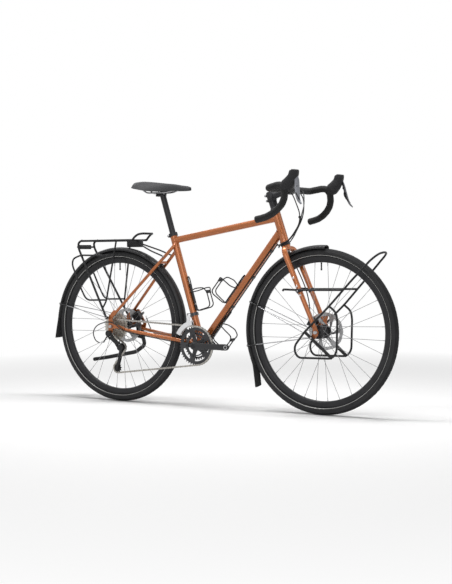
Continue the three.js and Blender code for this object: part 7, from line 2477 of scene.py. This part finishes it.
@dataclass
class Chain:
    """Loose links on the CAD chain's own loop."""

    OUTER_TEETH: int = 42
    INNER_TEETH: int = 30
    COG_TEETH: int = 16
    PULLEY_TEETH: int = 11

    def __post_init__(self) -> None:
        """Works out the loop and its number of links."""
        self.wheels = [
            (P.bracket[0], P.bracket[2], pitch_radius(self.OUTER_TEETH), 1),
            (0.0, S.tyre_radius, pitch_radius(self.COG_TEETH), 1),
            (44.0, 252.0, pitch_radius(self.PULLEY_TEETH), -1),
            (18.602, 157.348, pitch_radius(self.PULLEY_TEETH), 1),
        ]
        self.pieces = self.route()
        self.length = sum(piece[0] for piece in self.pieces)
        self.count = 2 * round(self.length / CHAIN_PITCH / 2)

    def route(self) -> list[tuple[float, Callable[[float], np.ndarray]]]:
        """Lists the arcs and straight runs of the loop.

        A run touches two wheels, so it leaves the line of their centres by the arcsine of the
        difference of their signed radii over their distance.

        Returns:
            For each, its length and what gives x, z and heading at a distance along it.
        """
        runs = []
        for here, ahead in zip(self.wheels, self.wheels[1:] + self.wheels[:1]):
            dx, dz = ahead[0] - here[0], ahead[1] - here[1]
            apart = math.hypot(dx, dz)
            gap = here[2] * here[3] - ahead[2] * ahead[3]
            heading = math.atan2(dz, dx) + math.asin(gap / apart)
            leave, meet = heading - math.pi / 2 * here[3], heading - math.pi / 2 * ahead[3]
            runs.append((leave, meet, heading, math.sqrt(apart**2 - gap**2)))
        pieces = []
        for index, (x, z, radius, sense) in enumerate(self.wheels):
            start, (leave, _, heading, length) = runs[index - 1][1], runs[index]
            wrap = (sense * (leave - start)) % (2 * math.pi)
            pieces.append((wrap * radius, self.arc(x, z, radius, sense, start)))
            foot = (x + radius * math.cos(leave), z + radius * math.sin(leave))
            pieces.append((length, self.line(foot, heading)))
        return pieces

    @staticmethod
    def arc(x: float, z: float, radius: float, sense: int, start: float) -> Callable[[float], np.ndarray]:
        """Follows the rim of a wheel.

        Args:
            x: Its centre's place forward.
            z: Its centre's height.
            radius: Its radius.
            sense: 1 or -1, the way that it is followed.
            start: The first angle.

        Returns:
            What gives x, z and heading at a distance along it.
        """
        def at(distance: float) -> np.ndarray:
            """Finds x, z and heading from the distance over the radius."""
            turn = start + sense * distance / radius
            return vec(x + radius * math.cos(turn), z + radius * math.sin(turn), turn + math.pi / 2 * sense)
        return at

    @staticmethod
    def line(foot: Sequence[float], heading: float) -> Callable[[float], np.ndarray]:
        """Follows a straight run, from its first point and heading."""
        return lambda d: vec(foot[0] + d * math.cos(heading), foot[1] + d * math.sin(heading), heading)

    def place(self, distance: float) -> np.ndarray:
        """Finds x, z and heading on the loop.

        Args:
            distance: Way along it.

        Returns:
            The three numbers.
        """
        left = distance % self.length
        for length, at in self.pieces:
            if left <= length:
                return at(left)
            left -= length
        return self.pieces[0][1](0)

    def build(self, stage: Stage) -> None:
        """Makes all links.

        Args:
            stage: The stage.
        """
        step = self.length / self.count
        pins = [self.place((index + 0.5) * step) for index in range(self.count)]
        wrap = int(self.pieces[0][0] / step / 2)
        gap = math.atan2(pins[wrap][1] - P.bracket[2], pins[wrap][0] - P.bracket[0])
        Chainring("chainring_outer", self.OUTER_TEETH, 68, gap).build(stage)
        Chainring("chainring_inner", self.INNER_TEETH, 48.5, gap).build(stage)
        shape = Shape()
        for index, (here, ahead) in enumerate(zip(pins, pins[1:] + pins[:1])):
            centre = vec(here[0], S.chain_plane, here[1])
            along = unit(vec(ahead[0] - here[0], 0, ahead[1] - here[1]))
            up = vec(-along[2], 0, along[0])
            low, high = (2.4, 3.3) if index % 2 else (1.35, 2.3)
            outline = self.link_outline(step)
            flat = centre + along * outline[:, :1] + up * outline[:, 1:]
            for side in SIDES:
                rings = np.array([flat + vec(0, side * y, 0) for y in (low, high)])
                shape.add(grid(rings, tint=index % 2))
            shape.add(crossbar(centre, -3.7, 3.7, 1.9, 8, tint=1))
            shape.add(turned([(1.9, -1.2), (3.85, -1.2), (3.85, 1.2), (1.9, 1.2)], centre, ACROSS, 12))
        stage.dress("chain", shape, Body.FRAME, Slot.SILVER, [Look.CHAIN, Look.CHAIN_OUTER], sharp=50)

    @staticmethod
    def link_outline(step: float) -> np.ndarray:
        """Draws a link plate with its waist, from one pin at zero.

        Args:
            step: The pitch.

        Returns:
            Its outline as along and up.
        """
        ends = np.radians([60, 95, 130, 165, 195, 230, 265, 300])
        first = np.stack([4.15 * np.cos(ends), 4.15 * np.sin(ends)], axis=1)
        waist = np.array([[step / 2, -3.0]])
        second = np.stack([step - first[::-1, 0], first[::-1, 1]], axis=1)
        return np.vstack([first, waist, second, waist * [1, -1]])


@dataclass
class Housings:
    """The cable housings, each a cord or a line clipped to the frame."""

    RADIUS: float = 2.4
    RIGHT_RUN: Rows = (
        (16.6, -80, -2), (38, -54, -16), (60, -45, -66), (71, -40, -106), (66, -36.5, -143),
        (42, -34, -181), (13, -32.5, -212), (-24, -30, -230), (-55, -15, -236),
    )
    LEFT_RUN: Rows = (
        (16.6, 80, -2), (44, 46, -14), (67, 6, -66), (75, -28, -106), (66, -31, -143), (42, -28, -181),
        (13, -26.5, -212), (-27, -25, -232), (-47, -8, -244), (-56, 10.5, -237),
    )
    FRONT_RUN: Rows = (
        (14.5, 62, -5.2), (38, 55, -40), (38, 50, -110), (0, 46, -190), (-31, 46, -240), (-21, 54, -285),
        (12, 56, -345), (51, 54, -428), (68, 50, -495),
    )
    MECH_RUN: Rows = (
        (0.8, 0, 0, 0), (0, 90, -73, -22), (0, 58, -79.5, -8), (0, 30, -80, 10), (0, 0, -80, 20),
        (0, -37, -80, 17), (0, -80, -80, -1), (0, -98, -79, -30), (0, -86, -80, -63), (0, -64, -81, -75),
        (0, -47, -81, -75),
    )
    BRAKE_RUN: Rows = (
        (0.7, 0, 0, 0), (0, 130, 68, -27), (0, 112, 69, 2), (0, 102, 66.5, 30), (0, 98.9, 65.2, 44.7),
    )

    def from_bar(self, run: Sequence[Sequence[float]]) -> Path:
        """Runs a smooth curve through places counted from the bar's clamp."""
        return catmull([P.bar + vec(*place) for place in run], 12)

    def cord(self, stage: Stage, name: str, path: Path, nodes: Sequence[str], bends: bool) -> None:
        """Makes one housing along a path.

        Args:
            stage: The stage.
            name: Its name.
            path: Its centre line.
            nodes: CAD nodes that it replaces.
            bends: Whether it rides on no body, its transform baked into its mesh.
        """
        shape = sweep(path, self.RADIUS, 14)
        body = None if bends else Body.FORK
        made = stage.piece(name, shape, body, Slot.BLACK_PLASTIC, [Look.CABLE], nodes)
        line = (path + FRAME_SHIFT) * MM
        if bends:
            tuple(line[len(line) // 3])
            tuple(line[-1])
            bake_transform(made)
        tuple(line[0])
        float(lengths(line)[-1])
        2 * self.RADIUS * MM
        [tuple(p) for p in line]

    def under_tube(self, height: float, y: float) -> np.ndarray:
        """Finds a place under the down tube."""
        place = P.bracket + P.down_up * height - P.down_above * math.sqrt(20.5**2 - y**2)
        return vec(place[0], y, place[2])

    def under_stay(self, side: int, share: float) -> np.ndarray:
        """Finds a place under a chainstay."""
        start, end = FrameSet.chainstay(side)
        return start + (end - start) * share - vec(0, 0, 9 - 2 * share + 3)

    def clipped(self) -> Shape:
        """Runs both housings along the frame and adds their clips.

        Returns:
            The housings: sleeves and end caps are materials 0 and 1.
        """
        made = Shape()
        for side, share, run in ((RIGHT, 0.8, self.MECH_RUN), (LEFT, 0.7, self.BRAKE_RUN)):
            turns = [polar(P.bracket, 24.82, angle, side * 12) for angle in (-39, -80, -121)]
            tail = [P.rear_axle + vec(*place[1:]) for place in run[1:]]
            head = [self.under_tube(585, side * 12), self.under_tube(69.7, side * 12), *turns,
                    self.under_stay(side, 0.08), self.under_stay(side, share)]
            straight = rounded(head, 9, 4)
            curve = catmull([self.under_stay(side, share - 0.05), self.under_stay(side, share), *tail],
                            12)[12:]
            path = resampled(np.vstack([straight, curve[1:]]), 4)
            made.add(sweep(path, self.RADIUS, 12))
            end = path[-1] - path[-3]
            made.add(rod(path[-1] - unit(end) * 12, path[-1], 3.1, 14, tint=1))
        for height in (545, 400, 235):
            place = P.bracket + P.down_up * height - P.down_above * 19
            made.add(box(place, (12, 26.4, 2.4), math.atan2(P.down_up[2], P.down_up[0]), soft=0.8))
        return made

    def build(self, stage: Stage) -> None:
        """Makes the housings.

        Args:
            stage: The stage.
        """
        tie = box(P.bar + vec(70, -37, -118), (9.6, 12, 7.2), math.pi / 2, soft=1.2)
        made = stage.piece("housing_tie", tie, Body.FORK, Slot.BLACK_PLASTIC, [Look.BLACK_PLASTIC])
        self.cord(stage, "control_housing_right", self.from_bar(self.RIGHT_RUN), ["control_housings"], True)
        self.cord(stage, "control_housing_left", self.from_bar(self.LEFT_RUN), ["control_housings"], True)
        arm = polar(polar(P.front_axle, 71, 150), 36, 150)
        end = arm + 20 * vec(math.cos(math.radians(60)), 0, math.sin(math.radians(60))) + vec(0, 47.9, 0)
        path = catmull([*(P.bar + vec(*place) for place in self.FRONT_RUN), end], 12)
        self.cord(stage, "front_brake_housing_look", path, ["front_brake_housing"], False)
        stage.dress("frame_housings", self.clipped(), Body.FRAME, Slot.BLACK_PLASTIC,
                    [Look.CABLE, Look.BRIGHT])


@dataclass(frozen=True)
class Refining:
    """How one CAD node is made finer.

    Attributes:
        node: The node.
        slot: Its slot; not used.
        look: Its finish.
        bevel: Width of its edges in millimetres.
        sharp: Least angle of a sharp edge, in degrees.
    """

    node: str
    slot: Slot
    look: Look
    bevel: float = 0.5
    sharp: float = 40


REFINED = [
    Refining("cassette", Slot.SILVER, Look.COG, 0.15),
    Refining("front_mech_clamp", Slot.BLACK_METAL, Look.GREY, 0.5, 50),
    Refining("front_mech_cage", Slot.GREY_METAL, Look.BRIGHT, 0.4),
    Refining("rear_mech_mount", Slot.GREY_METAL, Look.SATIN_BLACK, 0.8, 50),
    Refining("rear_mech_link", Slot.GREY_METAL, Look.SATIN_BLACK, 0.8, 50),
    Refining("rear_mech_knuckle", Slot.GREY_METAL, Look.SATIN_BLACK, 0.8, 50),
    Refining("rear_mech_cage", Slot.GREY_METAL, Look.SATIN_BLACK, 0.4, 50),
    Refining("guide_pulley", Slot.BLACK_PLASTIC, Look.BLACK_PLASTIC, 0.3),
    Refining("tension_pulley", Slot.BLACK_PLASTIC, Look.BLACK_PLASTIC, 0.3),
    Refining("front_caliper", Slot.BLACK_METAL, Look.SATIN_BLACK, 1.2, 50),
    Refining("rear_caliper", Slot.BLACK_METAL, Look.SATIN_BLACK, 1.2, 50),
    Refining("front_caliper_arm", Slot.SILVER, Look.BRIGHT, 0.6, 50),
    Refining("rear_caliper_arm", Slot.SILVER, Look.BRIGHT, 0.6, 50),
    Refining("front_axle", Slot.SILVER, Look.BOLT, 0.4, 50),
    Refining("rear_axle", Slot.SILVER, Look.BOLT, 0.4, 50),
    Refining("bottom_bracket_cup_right", Slot.SILVER, Look.GREY, 0.5, 50),
    Refining("bottom_bracket_cup_left", Slot.SILVER, Look.GREY, 0.5, 50),
    Refining("headset_lower_cup", Slot.BLACK_METAL, Look.SATIN_BLACK, 0.5, 50),
    Refining("kickstand_bracket", Slot.BLACK_METAL, Look.SATIN_BLACK, 0.8, 50),
]


@dataclass
class Studio:
    """The camera, the white surroundings and the soft lights."""

    LENS: float = 74.71
    SENSOR: float = 36.0
    NEAR: float = 0.05
    FAR: float = 60.0
    TURN: float = math.radians(31.815)
    LIFT: float = math.radians(1.819)
    ROLL: float = math.radians(-0.426)
    AIM: Spot = (0.07013, 0, 0.50956)
    DISTANCE: float = 5.3019
    WHITE: tuple[float, ...] = (1, 1, 1, 1)
    FLOOR: float = 14.0
    FADE_START: float = 1.2
    FADE_END: float = 3.2

    def camera(self) -> None:
        """Places the camera where the photograph was taken from."""
        data = bpy.data.cameras.new("photo_camera")
        data.lens, data.sensor_width, data.sensor_fit = self.LENS, self.SENSOR, "AUTO"
        data.clip_start, data.clip_end = self.NEAR, self.FAR
        flat = math.cos(self.LIFT)
        back = vec(math.sin(self.TURN) * flat, -math.cos(self.TURN) * flat, math.sin(self.LIFT))
        right = unit(np.cross(-back, vec(0, 0, 1)))
        up = np.cross(right, -back)
        across = math.cos(self.ROLL) * right + math.sin(self.ROLL) * up
        above = -math.sin(self.ROLL) * right + math.cos(self.ROLL) * up
        place = vec(*self.AIM) + back * self.DISTANCE
        made = shown("photo_camera", data)
        rows = [[*row, p] for row, p in zip(np.stack([across, above, back]).T, place)]
        made.matrix_world = Matrix([*rows, [0, 0, 0, 1]])
        bpy.context.scene.camera = made

    @staticmethod
    def seen_white(tree: bpy.types.NodeTree, lit: bpy.types.NodeSocket, white: bpy.types.NodeSocket,
                   out: bpy.types.NodeSocket, rays: Sequence[str]) -> None:
        """Shows white to some rays and the lit shader to the rest.

        Args:
            tree: The node tree.
            lit: The shader for the other rays.
            white: The shader that is seen.
            out: Where the result goes.
            rays: The light path outputs that see white.
        """
        path = tree.nodes.new("ShaderNodeLightPath")
        seen = path.outputs[rays[0]]
        for name in rays[1:]:
            add = tree.nodes.new("ShaderNodeMath")
            add.operation, add.use_clamp = "ADD", True
            tree.links.new(seen, add.inputs[0])
            tree.links.new(path.outputs[name], add.inputs[1])
            seen = add.outputs[0]
        mix = tree.nodes.new("ShaderNodeMixShader")
        tree.links.new(seen, mix.inputs[0])
        tree.links.new(lit, mix.inputs[1])
        tree.links.new(white, mix.inputs[2])
        tree.links.new(mix.outputs[0], out)

    def world(self) -> None:
        """Makes the even white surroundings."""
        world = bpy.data.worlds.new("studio")
        bpy.context.scene.world = world
        world.use_nodes = True
        tree = world.node_tree
        tree.nodes.clear()
        out = tree.nodes.new("ShaderNodeOutputWorld")
        lit, white = (tree.nodes.new("ShaderNodeBackground") for _ in range(2))
        for node, strength in ((lit, 0.16), (white, 1.0)):
            node.inputs["Color"].default_value = self.WHITE
            node.inputs["Strength"].default_value = strength
        self.seen_white(tree, lit.outputs[0], white.outputs[0], out.inputs[0],
                        ["Is Camera Ray", "Is Glossy Ray", "Is Transmission Ray"])

    def floor(self) -> None:
        """Lays a pale floor that keeps the contact shadow."""
        mesh = bpy.data.meshes.new("studio_floor")
        size = self.FLOOR
        mesh.from_pydata([(-size, -size, 0), (size, -size, 0), (size, size, 0), (-size, size, 0)], [],
                         [(0, 1, 2, 3)])
        made = shown("studio_floor", mesh)
        material = bpy.data.materials.new("studio_floor")
        material.use_nodes = True
        tree = material.node_tree
        shader = tree.nodes["Principled BSDF"]
        shader.inputs["Base Color"].default_value = self.WHITE
        shader.inputs["Roughness"].default_value = 0.75
        shader.inputs["Specular IOR Level"].default_value = 0.1
        shade = tree.nodes.new("ShaderNodeNewGeometry")
        gradient = tree.nodes.new("ShaderNodeVectorMath")
        gradient.operation = "LENGTH"
        tree.links.new(shade.outputs["Position"], gradient.inputs[0])
        fade = tree.nodes.new("ShaderNodeMapRange")
        fade.inputs["From Min"].default_value = self.FADE_START
        fade.inputs["From Max"].default_value = self.FADE_END
        tree.links.new(gradient.outputs["Value"], fade.inputs[0])
        white = tree.nodes.new("ShaderNodeEmission")
        white.inputs["Strength"].default_value = 1.0
        mix = tree.nodes.new("ShaderNodeMixShader")
        tree.links.new(fade.outputs[0], mix.inputs[0])
        tree.links.new(shader.outputs[0], mix.inputs[1])
        tree.links.new(white.outputs[0], mix.inputs[2])
        out = tree.nodes["Material Output"]
        self.seen_white(tree, shader.outputs[0], mix.outputs[0], out.inputs[0],
                        ["Is Camera Ray", "Is Glossy Ray"])
        mesh.materials.append(material)

    def light(self, name: str, place: Sequence[float], aim: Sequence[float], size: Sequence[float],
              power: float) -> None:
        """Hangs a soft panel.

        Args:
            name: Its name.
            place: Where it hangs.
            aim: What it points at.
            size: Its width and height.
            power: Its power in watts.
        """
        data = bpy.data.lights.new(name, "AREA")
        data.shape, data.size, data.size_y, data.energy = "RECTANGLE", size[0], size[1], power
        made = shown(name, data)
        made.location = place
        made.rotation_euler = (Vector(aim) - Vector(place)).to_track_quat("-Z", "Y").to_euler()

    def build(self) -> None:
        """Sets everything up."""
        bpy.context.scene.view_settings.view_transform = "Standard"
        self.world()
        self.floor()
        self.camera()
        self.light("overhead_panel", (0.1, -0.1, 3.0), (0.05, 0, 0.3), (2.8, 0.4), 86)
        self.light("side_panel", (1.4, -3.4, 1.9), (0, 0, 0.5), (2.6, 1.8), 24)
        self.light("front_panel", (3.4, 0.6, 1.5), (0.2, 0, 0.5), (1.4, 2.2), 12)
        self.light("rim_panel", (-2.6, 2.2, 2.0), (0, 0, 0.5), (1.6, 1.8), 14)


def main() -> None:
    """Builds the bicycle's looks, its studio and its camera."""
    logging.basicConfig(level=logging.INFO, format="%(levelname)s %(message)s")
    stage = Stage()
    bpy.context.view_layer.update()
    studio = Studio()
    studio.build()
    Housings().build(stage)
    for plan in WHEELS:
        Wheel(plan).build(stage)
    for part in (FrameSet(), Fork(), Cockpit(), Seat(), RearRack(), Lowrider(), Kickstand(), Crankset(),
                 Chain()):
        part.build(stage)
        LOG.info("built %s", type(part).__name__)
    for node, (foot, along, out) in zip(CAGE_NODES, cage_places()):
        BottleCage(node, foot, along, out).build(stage)
    for plan, seats in guard_plans():
        Mudguard(plan).build(stage, seats)
    for entry in REFINED:
        stage.refine(entry)


WHEELS = (
    WheelPlan("front", Body.FRONT_WHEEL, P.front_axle, 50, -49.7, (30, 27), 38.5),
    WheelPlan("rear", Body.REAR_WHEEL, P.rear_axle, 67.5, -28, (19, 31), 51.3),
)
CAGE_NODES = ("seat_tube_bottle_cage", "down_tube_bottle_cage", "lower_bottle_cage")


def guard_plans() -> list[tuple[GuardPlan, list[tuple[float, float]]]]:
    """Lists both mudguards.

    Returns:
        For each, its plan and the angle and length of its spacers.
    """
    def spacer(place: np.ndarray, centre: np.ndarray, room: float) -> tuple[float, float]:
        """Finds the angle and length of the spacer towards a place, less the room that it leaves."""
        way = place - centre
        return math.degrees(math.atan2(way[2], way[0])), math.hypot(way[0], way[2]) - Mudguard.RADIUS - room

    bridges = [between(*FrameSet.seatstay(LEFT), FrameSet.SEAT_BRIDGE),
               between(*FrameSet.chainstay(LEFT), FrameSet.CHAIN_BRIDGE)]
    rear = GuardPlan("rear_mudguard", Body.FRAME, P.rear_axle, (-9, 190), 16, 23.5, RearRack.EYE, 73.8,
                     (164,))
    front = GuardPlan("front_mudguard", Body.FORK, P.front_axle, (86, 218), 15, 40, Lowrider.EYE, 56.3,
                      (160, 191))
    crown = P.steerer(372.4)
    return [
        (rear, [spacer(place, P.rear_axle, 8.3) for place in bridges]),
        (front, [spacer(crown, P.front_axle, 4)]),
    ]


if __name__ == "__main__":
    main()
